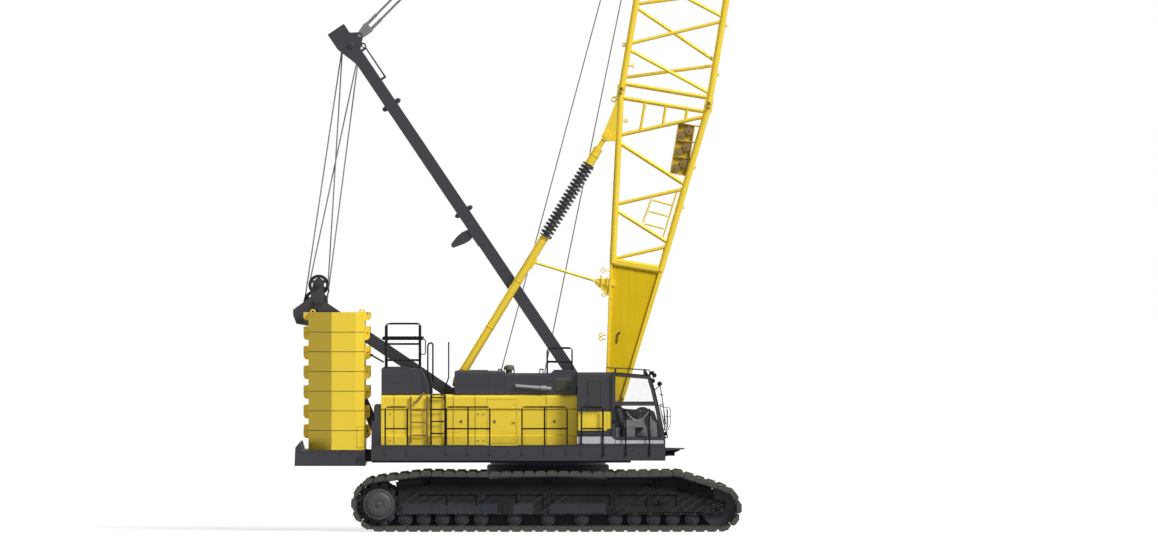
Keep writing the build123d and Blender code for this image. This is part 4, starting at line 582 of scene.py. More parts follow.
class Shape:
    """Gathers plain solids into one mesh and turns it into a finished piece."""

    def __init__(self) -> None:
        """Starts an empty shape."""
        self.mesh = bmesh.new()

    def hull(self, rings: list[list[Point]], closed: bool = False) -> None:
        """Joins rings of points into a skin, with flat ends unless it closes on itself.

        Args:
            rings: rings of equally many points.
            closed: whether the last ring joins the first.
        """
        made = [[self.mesh.verts.new(p) for p in ring] for ring in rings]
        count = len(made[0])
        steps = len(made) if closed else len(made) - 1
        faces = []
        for i in range(steps):
            a, b = made[i], made[(i + 1) % len(made)]
            for k in range(count):
                n = (k + 1) % count
                faces.append(self.mesh.faces.new((a[k], a[n], b[n], b[k])))
        if not closed:
            faces.append(self.mesh.faces.new(list(reversed(made[0]))))
            faces.append(self.mesh.faces.new(made[-1]))
        bmesh.ops.recalc_face_normals(self.mesh, faces=faces)

    def block(self, low: Point, high: Point) -> None:
        """Adds a box.

        Args:
            low: its lowest corner.
            high: its highest corner.
        """
        (a, b, c), (d, e, f) = low, high
        ring = [(a, b), (d, b), (d, e), (a, e)]
        self.hull([[(x, y, c) for x, y in ring], [(x, y, f) for x, y in ring]])

    def plate(self, outline: list[Flat], near: float, far: float) -> None:
        """Adds a plate with an outline in X and Z, between two Y places."""
        self.hull([[(x, near, z) for x, z in outline], [(x, far, z) for x, z in outline]])

    def bar(self, outline: list[Flat], near: float, far: float) -> None:
        """Adds a bar with an outline in Y and Z, between two X places."""
        self.hull([[(near, y, z) for y, z in outline], [(far, y, z) for y, z in outline]])

    def lean(self, member: "Leaning", outline: list[Flat], near: float, far: float) -> None:
        """Adds a plate, its outline along and ahead of a leaning member, between two Y places."""
        self.hull([[member.at(s, n, y) for s, n in outline] for y in (near, far)])

    def rod(
        self, start: Point, end: Point, radius: float, sides: int = 12, end_radius: float | None = None
    ) -> None:
        """Adds a round bar between two points, tapering if a second radius is given."""
        self.pipe([start, end], [radius, radius if end_radius is None else end_radius], sides)

    def pipe(
        self, points: list[Point], radius: float | list[float], sides: int = 10, closed: bool = False
    ) -> None:
        """Adds a round tube along points, mitred at each.

        Args:
            points: the line that it follows.
            radius: one radius, or one for each point.
            sides: faces round it.
            closed: whether it joins up with itself.
        """
        line = [Vector(p) for p in points]
        radii = radius if isinstance(radius, list) else [radius] * len(line)
        last = len(line) - 1
        rings: list[list[Point]] = []
        side = None
        for i, here in enumerate(line):
            before = line[i - 1] if i > 0 or closed else here
            after = line[(i + 1) % len(line)] if i < last or closed else here
            into = (here - before).normalized() if before != here else (after - here).normalized()
            out = (after - here).normalized() if after != here else into
            along = (into + out).normalized()
            if side is None:
                side = along.orthogonal().normalized()
            side = (side - along * side.dot(along)).normalized()
            other = along.cross(side)
            bend = into - out
            stretch = 1.0 / max(SHARPEST, along.dot(out))
            across = bend.normalized() if bend.length > TINY else side
            ring = []
            for k in range(sides):
                turn = 2 * math.pi * k / sides
                spoke = side * math.cos(turn) + other * math.sin(turn)
                spoke += across * spoke.dot(across) * (stretch - 1.0)
                ring.append(tuple(here + spoke * radii[i]))
            rings.append(ring)
        self.hull(rings, closed)

    def wire(
        self, line: list[Flat], y: float, radius: float, sides: int = 10, closed: bool = False
    ) -> None:
        """Adds a round tube along points in X and Z, at one Y place."""
        self.pipe([(x, y, z) for x, z in line], radius, sides, closed)

    def turned(self, profile: list[Flat], centre: Point, along: Point, sides: int = 40) -> None:
        """Adds a solid turned about an axis.

        Args:
            profile: distance along the axis and radius, from one end to the other.
            centre: where the axis starts.
            along: its direction.
            sides: faces round it.
        """
        axis = Vector(along).normalized()
        side = axis.orthogonal().normalized()
        other = axis.cross(side)
        rings = []
        for distance, radius in profile:
            middle = Vector(centre) + axis * distance
            rings.append([
                tuple(middle + (side * math.cos(t) + other * math.sin(t)) * max(radius, THINNEST))
                for t in (2 * math.pi * k / sides for k in range(sides))
            ])
        self.hull(rings)

    def slab(self, member: "Leaning", along: Flat, ahead: Flat, across: Flat) -> None:
        """Adds a box that leans with a member.

        Args:
            member: the member.
            along: from and to, along it.
            ahead: from and to, ahead of its middle.
            across: from and to, across the machine.
        """
        ring = [(along[0], ahead[0]), (along[1], ahead[0]), (along[1], ahead[1]), (along[0], ahead[1])]
        self.lean(member, ring, *across)

    def pillow(self, low: Point, high: Point) -> None:
        """Adds a box with enough rings along Y to swell evenly.

        Args:
            low: its lowest corner.
            high: its highest corner.
        """
        (a, b, c), (d, e, f) = low, high
        ring = [(a, c), (d, c), (d, f), (a, f)]
        self.hull([[(x, b + (e - b) * k / 4, z) for x, z in ring] for k in range(5)])

    def mirror(self) -> None:
        """Adds the mirror image of everything so far on the machine's other side."""
        parts = self.mesh.verts[:] + self.mesh.edges[:] + self.mesh.faces[:]
        copied = bmesh.ops.duplicate(self.mesh, geom=parts)["geom"]
        for vertex in (p for p in copied if isinstance(p, bmesh.types.BMVert)):
            vertex.co.y = -vertex.co.y
        bmesh.ops.reverse_faces(self.mesh, faces=[p for p in copied if isinstance(p, bmesh.types.BMFace)])

    def flip(self) -> None:
        """Moves everything so far to the machine's other side."""
        for vertex in self.mesh.verts:
            vertex.co.y = -vertex.co.y
        bmesh.ops.reverse_faces(self.mesh, faces=self.mesh.faces[:])

    def object(self, name: str, finish: Finish, bevel: float = 0.0) -> Piece:
        """Turns the shape into an object with its finish.

        Args:
            name: the piece's name.
            finish: its surface.
            bevel: width of its rounded edges, or 0 for none.

        Returns:
            The object, at the origin.
        """
        mesh = bpy.data.meshes.new(name)
        self.mesh.to_mesh(mesh)
        self.mesh.free()
        mesh.materials.append(finish.material())
        made = bpy.data.objects.new(name, mesh)
        bpy.context.scene.collection.objects.link(made)
        mesh.shade_smooth()
        mesh.set_sharp_from_angle(angle=math.radians(SMOOTH_TO))
        if bevel > 0.0:
            edge = made.modifiers.new("edges", "BEVEL")
            edge.width = bevel
            edge.segments = 2
            edge.limit_method = "ANGLE"
            edge.angle_limit = math.radians(BEVEL_FROM)
            edge.harden_normals = True
        return made

    def piece(self, name: str, finish: Finish, body: Body, bevel: float = 0.0, node: str = "") -> None:
        """Turns the shape into a finished piece that rides on a body.

        Args:
            name: the piece's name.
            finish: its surface, which names its slot.
            body: the body that it rides on.
            bevel: width of its rounded edges, or 0 for none.
            node: the CAD node that it stands for, if any.
        """
        settle(self.object(name, finish, bevel), body, finish.slot, *filter(None, [node]))


def settle(piece: Piece, body: Body, slot: Slot, *nodes: str) -> Piece:
    """Puts a finished piece on its body.

    Args:
        piece: the piece, in place.
        body: the body that it rides on.
        slot: not used.
        *nodes: CAD nodes that it stands for.

    Returns:
        The piece.
    """
    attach(piece, body.value)
    if nodes:
        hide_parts(*nodes)
    log.info("%s rides on %s", piece.name, body.value)
    return piece


# ---- repeats ------------------------------------------------------------------------------


class Group:
    """A geometry node tree with named inputs, run to leave a plain mesh."""

    def __init__(self, name: str, **kinds: str) -> None:
        """Builds the tree.

        Args:
            name: the tree's name.
            **kinds: the socket type of each input beside the finish, by its label.
        """
        self.inputs: dict[str, str] = {}
        self.group = bpy.data.node_groups.new(name, "GeometryNodeTree")
        face = self.group.interface
        face.new_socket("Geometry", in_out="INPUT", socket_type="NodeSocketGeometry")
        for label, kind in (kinds | {"Finish": "Material"}).items():
            made = face.new_socket(label, in_out="INPUT", socket_type="NodeSocket" + kind)
            self.inputs[label] = made.identifier
        face.new_socket("Geometry", in_out="OUTPUT", socket_type="NodeSocketGeometry")
        tree = Tree(self.group)
        given = tree.add("NodeGroupInput").outputs
        real = tree.add("GeometryNodeRealizeInstances", {"Geometry": self.spread(tree, given)}).outputs[0]
        inputs = {"Geometry": real, "Material": given["Finish"]}
        tree.add("NodeGroupOutput", {"Geometry": tree.add("GeometryNodeSetMaterial", inputs).outputs[0]})

    def spread(self, tree: Tree, given: Sockets) -> Socket:
        """Makes the tree's own nodes.

        Args:
            tree: the tree to add to.
            given: the sockets of its inputs.

        Returns:
            The socket of the geometry that they make.
        """
        raise NotImplementedError

    def apply(self, name: str, base: bpy.types.Mesh, finish: Finish, **values: object) -> Piece:
        """Runs the tree once and keeps its result as a plain mesh.

        Args:
            name: the finished piece's name.
            base: the mesh that goes in.
            finish: the piece's surface.
            **values: a value for each of the tree's own inputs.

        Returns:
            The finished piece, at the origin.
        """
        carrier = bpy.data.objects.new(name, base)
        bpy.context.scene.collection.objects.link(carrier)
        made = carrier.modifiers.new("nodes", "NODES")
        made.node_group = self.group
        for label, value in (values | {"Finish": finish.material()}).items():
            made[self.inputs[label]] = value
        return keep_result(carrier)


class AlongPath(Group):
    """Puts one part at even steps along a closed path, turned to follow it."""

    def spread(self, tree: Tree, given: Sockets) -> Socket:
        """Makes the nodes that resample the path and stand the part on it.

        Args:
            tree: the tree to add to.
            given: the sockets of its inputs.

        Returns:
            The socket of the geometry that they make.
        """
        part = tree.add("GeometryNodeObjectInfo", {"Object": given["Part"]}, transform_space="ORIGINAL")
        line = tree.add("GeometryNodeMeshToCurve", {"Mesh": given["Geometry"]}).outputs[0]
        inputs = {"Curve": line, "Count": given["Count"]}
        points = tree.add("GeometryNodeResampleCurve", inputs).outputs[0]
        inputs = {"Vector": tree.add("GeometryNodeInputTangent").outputs[0]}
        turn = tree.add("FunctionNodeAlignRotationToVector", inputs, axis="X", pivot_axis="Y").outputs[0]
        inputs = {"Points": points, "Instance": part.outputs["Geometry"], "Rotation": turn}
        return tree.add("GeometryNodeInstanceOnPoints", inputs).outputs[0]


class AtMarks(Group):
    """Puts one part at marked points, with each point's own turn and size."""

    def spread(self, tree: Tree, given: Sockets) -> Socket:
        """Makes the nodes that stand the part on the points.

        Args:
            tree: the tree to add to.
            given: the sockets of its inputs.

        Returns:
            The socket of the geometry that they make.
        """
        part = tree.add("GeometryNodeObjectInfo", {"Object": given["Part"]}, transform_space="ORIGINAL")
        points = tree.add("GeometryNodeMeshToPoints", {"Mesh": given["Geometry"]}).outputs[0]
        turn, size = (
            tree.add("GeometryNodeInputNamedAttribute", {"Name": name}, data_type="FLOAT_VECTOR").outputs[0]
            for name in ("turn", "size")
        )
        inputs = {"Points": points, "Instance": part.outputs["Geometry"], "Rotation": turn, "Scale": size}
        return tree.add("GeometryNodeInstanceOnPoints", inputs).outputs[0]


def keep_result(carrier: Piece) -> Piece:
    """Turns an object's evaluated result into its plain mesh.

    Args:
        carrier: the object with its modifier.

    Returns:
        The same object, with no modifier.
    """
    evaluated = carrier.evaluated_get(bpy.context.evaluated_depsgraph_get())
    result = bpy.data.meshes.new_from_object(evaluated)
    result.name = carrier.name
    carrier.modifiers.clear()
    carrier.data = result
    return carrier


class Mark(NamedTuple):
    """Where a repeated part stands, how it is turned in degrees, and its size."""

    place: Point
    turn: Point = (0.0, 0.0, 0.0)
    size: Point = (1.0, 1.0, 1.0)


def scatter(name: str, rows: list[Mark], part: Shape, finish: Finish, body: Body) -> None:
    """Stands a part at every mark, as one finished piece.

    Args:
        name: the piece's name.
        rows: one mark for each part.
        part: the shape that repeats.
        finish: its surface.
        body: the body that the piece rides on.
    """
    mesh = bpy.data.meshes.new("marks")
    mesh.from_pydata([row.place for row in rows], [], [])
    turned = mesh.attributes.new("turn", "FLOAT_VECTOR", "POINT")
    sized = mesh.attributes.new("size", "FLOAT_VECTOR", "POINT")
    for i, row in enumerate(rows):
        turned.data[i].vector = [math.radians(t) for t in row.turn]
        sized.data[i].vector = row.size
    one = part.object(name + "_one", finish)
    piece = AtMarks(name + "_at_marks", Part="Object").apply(name, mesh, finish, Part=one)
    bpy.data.objects.remove(one)
    settle(piece, body, finish.slot)


# ---- stage --------------------------------------------------------------------------------


@dataclass
class Stage:
    """The pale floor, the lamps and the camera."""

    distance: float = 500.0
    eye: Flat = (0.75, 6.12)
    lens: float = 642.57
    floor_size: float = 4000.0
    floor_glow: float = 0.76
    floor_colour: float = 0.26
    ambient: float = 0.15
    key: float = 4.0
    back: float = 1.4
    sight: float = 4000.0

    def build(self) -> None:
        """Makes the whole stage."""
        self.camera()
        self.floor()
        self.lamps()

    def camera(self) -> None:
        """Places the camera level, square to the machine's right side."""
        data = bpy.data.cameras.new("camera")
        data.lens = self.lens
        data.clip_end = self.sight
        eye = bpy.data.objects.new("camera", data)
        eye.location = (self.eye[0], -self.distance, self.eye[1])
        eye.rotation_euler = (math.radians(90.0), 0.0, 0.0)
        bpy.context.scene.collection.objects.link(eye)
        bpy.context.scene.camera = eye

    def floor(self) -> None:
        """Makes the floor: it takes shadows, and it is white to the eye where it is lit."""
        shape = Shape()
        half = self.floor_size / 2
        shape.block((-half, -half, -0.2), (half, half, -0.002))
        floor = shape.object("floor", STRIPE)
        material = bpy.data.materials.new("floor")
        material.use_nodes = True
        material.node_tree.nodes.clear()
        tree = Tree(material.node_tree)
        seen = self.seen(tree)
        grey = shade_of((self.floor_colour,) * 3)
        matt = tree.add("ShaderNodeBsdfDiffuse", {"Color": grey}).outputs[0]
        strength = tree.maths("MULTIPLY", seen, self.floor_glow)
        glow = tree.add("ShaderNodeEmission", {"Strength": strength}).outputs[0]
        both = tree.add("ShaderNodeAddShader", {0: matt, 1: glow}).outputs[0]
        tree.add("ShaderNodeOutputMaterial", {"Surface": both})
        floor.data.materials[0] = material

    def seen(self, tree: Tree) -> object:
        """Returns 1 for what the eye sees directly, in a reflection or through glass, and 0 for light.

        Args:
            tree: the tree to add to.

        Returns:
            The share socket.
        """
        path = tree.add("ShaderNodeLightPath").outputs
        direct = tree.maths("MAXIMUM", path["Is Camera Ray"], path["Is Glossy Ray"])
        return tree.maths("MAXIMUM", direct, path["Is Transmission Ray"])

    def lamps(self) -> None:
        """Sets an even sky, a broad key lamp high to the front right, and a broad weaker one behind."""
        world = bpy.data.worlds.new("sky")
        bpy.context.scene.world = world
        world.use_nodes = True
        world.node_tree.nodes.clear()
        tree = Tree(world.node_tree)
        strength = tree.ranged(self.seen(tree), 0.0, 1.0, self.ambient, 1.0)
        sky = tree.add("ShaderNodeBackground", {"Color": (1.0, 1.0, 1.0, 1.0), "Strength": strength})
        tree.add("ShaderNodeOutputWorld", {"Surface": sky.outputs[0]})
        for name, power, turn, spread in (
            ("key", self.key, (48.0, 0.0, 50.0), 18.0),
            ("back", self.back, (72.0, 0.0, 205.0), 40.0),
        ):
            data = bpy.data.lights.new(name, "SUN")
            data.energy = power
            data.angle = math.radians(spread)
            lamp = bpy.data.objects.new(name, data)
            lamp.rotation_euler = [math.radians(t) for t in turn]
            bpy.context.scene.collection.objects.link(lamp)
        bpy.context.scene.view_settings.view_transform = "Standard"


# ---- tracks -------------------------------------------------------------------------------


@dataclass
class Tracks:
    """The two crawler tracks, shoe by shoe."""

    centre_y: float = 3.2
    width: float = 1.22
    shoes: int = 70
    tread: float = 0.146
    rear: Point = (-4.063, 0.661, 0.661)
    front: Point = (4.1, 0.56, 0.56)
    top_z: float = 1.458
    top_rear_x: float = -3.1
    top_front_x: float = 3.24
    top_end: float = 0.12
    top_steps: int = 24
    arc_steps: int = 18
    sag: float = 0.02

    def loop(self) -> list[Flat]:
        """Follows the path of the rollers round the track.

        Returns:
            Points in X and Z, clockwise from the rear.
        """
        top = self.top_z - self.tread
        line = self.arc(self.rear, math.radians(270.0), self.tangent(self.rear, (self.top_rear_x, top), 1))
        run = self.top_front_x - self.top_rear_x - 2 * self.top_end
        for i in range(self.top_steps + 1):
            share = i / self.top_steps
            sag = self.sag * abs(math.sin(2 * math.pi * share))
            line.append((self.top_rear_x + self.top_end + run * share, top - sag))
        end = self.tangent(self.front, (self.top_front_x, top), -1)
        return line + self.arc(self.front, end, math.radians(-90.0))

    def arc(self, wheel: Point, start: float, end: float) -> list[Flat]:
        """Follows a wheel round.

        Args:
            wheel: its x, z and outer radius.
            start: angle that the path starts at, in radians.
            end: angle that it ends at.

        Returns:
            Points in X and Z.
        """
        x, z, r = wheel
        turns = [start + (end - start) * i / self.arc_steps for i in range(self.arc_steps + 1)]
        inner = r - self.tread
        return [(x + inner * math.cos(turn), z + inner * math.sin(turn)) for turn in turns]

    def tangent(self, wheel: Point, target: Flat, side: int) -> float:
        """Finds where the run to a point leaves a wheel.

        Args:
            wheel: its x, z and outer radius.
            target: the run's other end.
            side: 1 for the rear wheel and -1 for the front one.

        Returns:
            The angle of the leaving point, in radians.
        """
        x, z, r = wheel
        away = math.hypot(target[0] - x, target[1] - z)
        slope = math.atan2(target[1] - z, target[0] - x)
        return slope + side * math.acos((r - self.tread) / away)

    def shoe(self, pitch: float) -> Shape:
        """Makes one shoe: a grouser pad over two rails and a guide, with pin lugs at both ends.

        Args:
            pitch: distance from shoe to shoe.

        Returns:
            The shoe, with its path along X and its tread to +Z.
        """
        shape = Shape()
        half, p = self.width / 2, pitch / 2
        out = self.tread
        profile = [
            (-p + 0.006, 0.055), (-p + 0.012, 0.03), (p - 0.012, 0.03), (p - 0.006, 0.055),
            (p - 0.008, out - 0.03), (p - 0.035, out - 0.03), (p - 0.045, out), (-p + 0.045, out),
            (-p + 0.035, out - 0.03), (-p + 0.008, out - 0.03),
        ]
        shape.hull([[(x, y, z) for x, z in profile] for y in (-half, -half + 0.02, half - 0.02, half)])
        for y in (-0.24, 0.24):
            shape.block((-p + 0.004, y - 0.075, 0.0), (p - 0.004, y + 0.075, 0.034))
        for y in (-0.42, 0.42):
            shape.rod((-p, y - 0.13, 0.06), (-p, y + 0.13, 0.06), 0.04, 8)
        for y in (-0.09, 0.09):
            shape.block((-0.05, y - 0.03, 0.0), (0.05, y + 0.03, 0.04))
        return shape

    def build(self) -> None:
        """Makes both tracks."""
        line = self.loop()
        length = sum(math.dist(a, b) for a, b in zip(line, line[1:] + line[:1]))
        pitch = length / self.shoes
        edges = [(i, (i + 1) % len(line)) for i in range(len(line))]
        along = AlongPath("shoes_along_loop", Part="Object", Count="Int")
        one = self.shoe(pitch).object("shoe", TRACK)
        for side, name in ((-1, "right"), (1, "left")):
            base = bpy.data.meshes.new("loop_" + name)
            base.from_pydata([(x, side * self.centre_y, z) for x, z in line], edges, [])
            piece = along.apply("track_shoes_" + name, base, TRACK, Part=one, Count=self.shoes)
            for vertex in piece.data.vertices:
                vertex.co.z = max(vertex.co.z, 0.0)
            settle(piece, Body.UNDER, Slot.TRACK, "track_" + name)
        bpy.data.objects.remove(one)


# ---- places and shared tables -------------------------------------------------------------


@dataclass(frozen=True)
class Leaning:
    """A slanting member's own directions, from its foot pin in the side plane."""

    foot: Flat
    lean: float

    def at(self, along: float, ahead: float, across: float = 0.0) -> Point:
        """Finds a point from the member's own directions.

        Args:
            along: distance along it from its foot.
            ahead: distance ahead of its middle.
            across: place across the machine.

        Returns:
            The point.
        """
        turn = math.radians(self.lean)
        x = self.foot[0] + along * math.sin(turn) + ahead * math.cos(turn)
        z = self.foot[1] + along * math.cos(turn) - ahead * math.sin(turn)
        return (x, across, z)


BOOM = Leaning((1.56, 2.89), 9.5)
MAST = Leaning((0.799, 3.461), -33.95)
STRUT = Leaning((-2.238, 3.53), 31.23)
SPINS: dict[str, Point] = {j["child"]: tuple(j["pos_m"]) for j in frame["joints"] if "pos_m" in j}


class Facing(Enum):
    """Ways that a bolt head can point, as turns about X, Y and Z in degrees."""

    UP = (0.0, 0.0, 0.0)
    RIGHT = (90.0, 0.0, 0.0)
    LEFT = (-90.0, 0.0, 0.0)


class Fasteners:
    """Bolt heads of the whole machine, gathered by body and set out in one go."""

    def __init__(self) -> None:
        """Starts with no bolts."""
        self.rows: dict[Body, list[Mark]] = {}

    def add(self, body: Body, facing: Facing, size: float, places: list[Point]) -> None:
        """Adds bolts of one size that all point one way.

        Args:
            body: the body that they ride on.
            facing: where the heads point.
            size: width of each head.
            places: where they stand.
        """
        rows = self.rows.setdefault(body, [])
        rows += [Mark(place, facing.value, (size, size, size)) for place in places]

    def mirrored(self, body: Body, facing: Facing, size: float, places: list[Point]) -> None:
        """Adds bolts on the right side and their mirror image on the left.

        Args:
            body: the body that they ride on.
            facing: where the right side's heads point.
            size: width of each head.
            places: where the right side's stand.
        """
        other = Facing.LEFT if facing is Facing.RIGHT else facing
        self.add(body, facing, size, places)
        self.add(body, other, size, [(x, -y, z) for x, y, z in places])

    def build(self) -> None:
        """Makes one piece of bolt heads for each body."""
        profile = [(0.0, 0.62), (0.14, 0.62), (0.14, 0.5), (0.55, 0.5), (0.62, 0.4)]
        for body, rows in self.rows.items():
            head = Shape()
            head.turned(profile, (0, 0, 0), (0, 0, 1), 6)
            scatter("bolts_" + body.value, rows, head, BOLT, body)


BOLTS = Fasteners()


def circle_of(centre: Point, radius: float, count: int, plane: str = "xz") -> list[Point]:
    """Spaces points evenly round a circle.

    Args:
        centre: its middle.
        radius: its radius.
        count: how many points.
        plane: upright along the machine ("xz") or level ("xy").

    Returns:
        The points.
    """
    x, y, z = centre
    points = []
    for i in range(count):
        a = 2 * math.pi * i / count
        c, s = radius * math.cos(a), radius * math.sin(a)
        points.append((x + c, y, z + s) if plane == "xz" else (x + c, y + s, z))
    return points


# ---- undercarriage ------------------------------------------------------------------------


@dataclass
class Undercarriage:
    """Roller caps, hub covers and bolts of the side frames, and the bolts of the slewing ring."""

    face_y: float = 3.58
    roller_y: float = 3.51
    roller_z: float = 0.318
    roller_x: tuple[float, ...] = (
        -3.42, -2.975, -2.52, -2.058, -1.596, -0.794, 0.012, 0.82, 1.628, 2.08, 2.542, 3.004, 3.468,
    )
    drive: Flat = (-4.063, 0.661)
    idler: Flat = (4.1, 0.56)
    ring_radius: float = 1.438
    ring_z: float = 1.56
    ring_bolts: int = 60
    flange_bolts: int = 20
    flange_step: float = 0.36

    def build(self) -> None:
        """Makes every piece of the undercarriage but the shoes."""
        self.rollers()
        self.drives()
        self.frames()
        self.webs_and_gap_shade()
        BOLTS.add(
            Body.UNDER, Facing.UP, 0.042,
            circle_of((0, 0, self.ring_z), self.ring_radius, self.ring_bolts, "xy"))

    def rollers(self) -> None:
        """Puts a cap with a grease nut on both ends of every lower roller."""
        cap = Shape()
        cap.turned([
            (0, 0.125), (0.014, 0.125), (0.024, 0.112), (0.024, 0.07), (0.04, 0.062), (0.04, 0.02),
            (0.052, 0.018), (0.052, 0.0)
        ], (0, 0, 0), (0, 0, 1), 24)
        rows = []
        for side, turn in ((-1, Facing.RIGHT.value), (1, Facing.LEFT.value)):
            rows += [Mark((x, side * self.roller_y, self.roller_z), turn) for x in self.roller_x]
        scatter("roller_caps", rows, cap, STEEL, Body.UNDER)
        places = [
            p for x in self.roller_x
            for p in circle_of((x, -self.roller_y - 0.014, self.roller_z), 0.095, 6)]
        BOLTS.mirrored(Body.UNDER, Facing.RIGHT, 0.022, places)

    def drives(self) -> None:
        """Adds the dished cover, its centre boss and its bolts to both drives."""
        x, z = self.drive
        shape = Shape()
        shape.turned(
            [(0, 0.372), (0.012, 0.37), (0.018, 0.362), (0.018, 0.308)], (x, -3.688, z), (0, -1, 0), 64)
        shape.turned(
            [(0, 0.296), (0.01, 0.292), (0.03, 0.255), (0.036, 0.11), (0.03, 0.09), (0.03, 0.0)],
            (x, -3.733, z), (0, -1, 0), 64)
        shape.turned(
            [(0, 0.06), (0.018, 0.058), (0.026, 0.045), (0.026, 0.0)], (x, -3.763, z), (0, -1, 0), 24)
        shape.mirror()
        shape.piece("drive_covers", COVER, Body.UNDER, 0.004)
        BOLTS.mirrored(Body.UNDER, Facing.RIGHT, 0.03, circle_of((x, -3.706, z), 0.342, 20))
        BOLTS.mirrored(Body.UNDER, Facing.RIGHT, 0.04, circle_of((x, -3.765, z), 0.175, 3))

    def frames(self) -> None:
        """Adds the idler's slide plate, the roller brackets, the tow eye and the ribs of both frames."""
        y = -self.face_y
        x, z = self.idler
        shape = Shape()
        plates = (
            (0.34, 0.16, 0.03, -0.12, -0.075), (0.34, 0.13, 0.03, 0.12, 0.165),
            (0.16, 0.13, 0.018, -0.075, 0.12))
        for left, right, out, low, high in plates:
            shape.block((x - left, y - out, z + low), (x + right, y + 0.01, z + high))
        shape.turned(
            [(0, 0.085), (0.02, 0.08), (0.03, 0.06), (0.03, 0.0)], (x, y - 0.018, z + 0.02), (0, -1, 0), 32)
        for left, right in ((3.13, 3.4), (2.52, 2.62)):
            mid = (left + right) / 2
            for foot, top in ((left, mid - 0.03), (right, mid + 0.03)):
                shape.wire([(foot, 1.04), (top, 1.25)], y - 0.01, 0.022)
        for rib in (-0.7, 0.135):
            shape.block((rib - 0.028, y - 0.022, 0.73), (rib + 0.028, y + 0.035, 0.97))
        shape.pipe([
            (2.66, y + 0.01, 0.68), (2.67, y - 0.05, 0.74), (2.75, y - 0.05, 0.74), (2.76, y + 0.01, 0.68)
        ], 0.014)
        shape.block((-3.42, y - 0.018, 0.418), (4.02, y + 0.02, 0.446))
        for seam in (-2.4, -1.6, 0.0, 1.6, 2.4, 3.2):
            shape.block(
                (seam - 0.012, y - 0.008, 0.46), (seam + 0.012, y + 0.035, 1.0 if seam < 2.3 else 0.86))
        shape.mirror()
        shape.piece("frame_fittings", FRAME, Body.UNDER, 0.004)
        flange = [(-3.3 + i * self.flange_step, y - 0.018, 0.432) for i in range(self.flange_bolts)]
        BOLTS.mirrored(Body.UNDER, Facing.RIGHT, 0.024, flange)
        corners = [(x + dx, y - 0.018, z + dz) for dx in (-0.12, 0.09) for dz in (-0.05, 0.09)]
        BOLTS.mirrored(Body.UNDER, Facing.RIGHT, 0.026, corners)

    def webs_and_gap_shade(self) -> None:
        """Fills the room inside the tracks with the carrier's web, the guard and the drive's shield: dark
        plates that also close the see-through gaps as painted shade for the track's shaded inside.
        """
        shape = Shape()
        # dark steel plates closing the see-through gaps: partly real structure, partly painted shade for
        # the shaded inside of the track
        carrier = [(-3.6, 0.95), (3.8, 0.8), (3.86, 0.96), (3.2, 1.272), (-3.05, 1.272), (-3.66, 1.19)]
        shape.plate(carrier, -3.26, -3.14)
        guard = [(-3.9, 0.156), (3.94, 0.156), (3.8, 0.3), (3.7, 0.47), (-3.5, 0.47), (-3.72, 0.3)]
        shape.plate(guard, -3.225, -3.175)
        x, z = self.drive
        shape.turned([(0, 0.497), (0.08, 0.497)], (x, -3.24, z), (0, 1, 0), 48)
        shape.mirror()
        shape.piece("track_webs", STEEL, Body.UNDER, 0.004)


# ---- decks and rails ----------------------------------------------------------------------


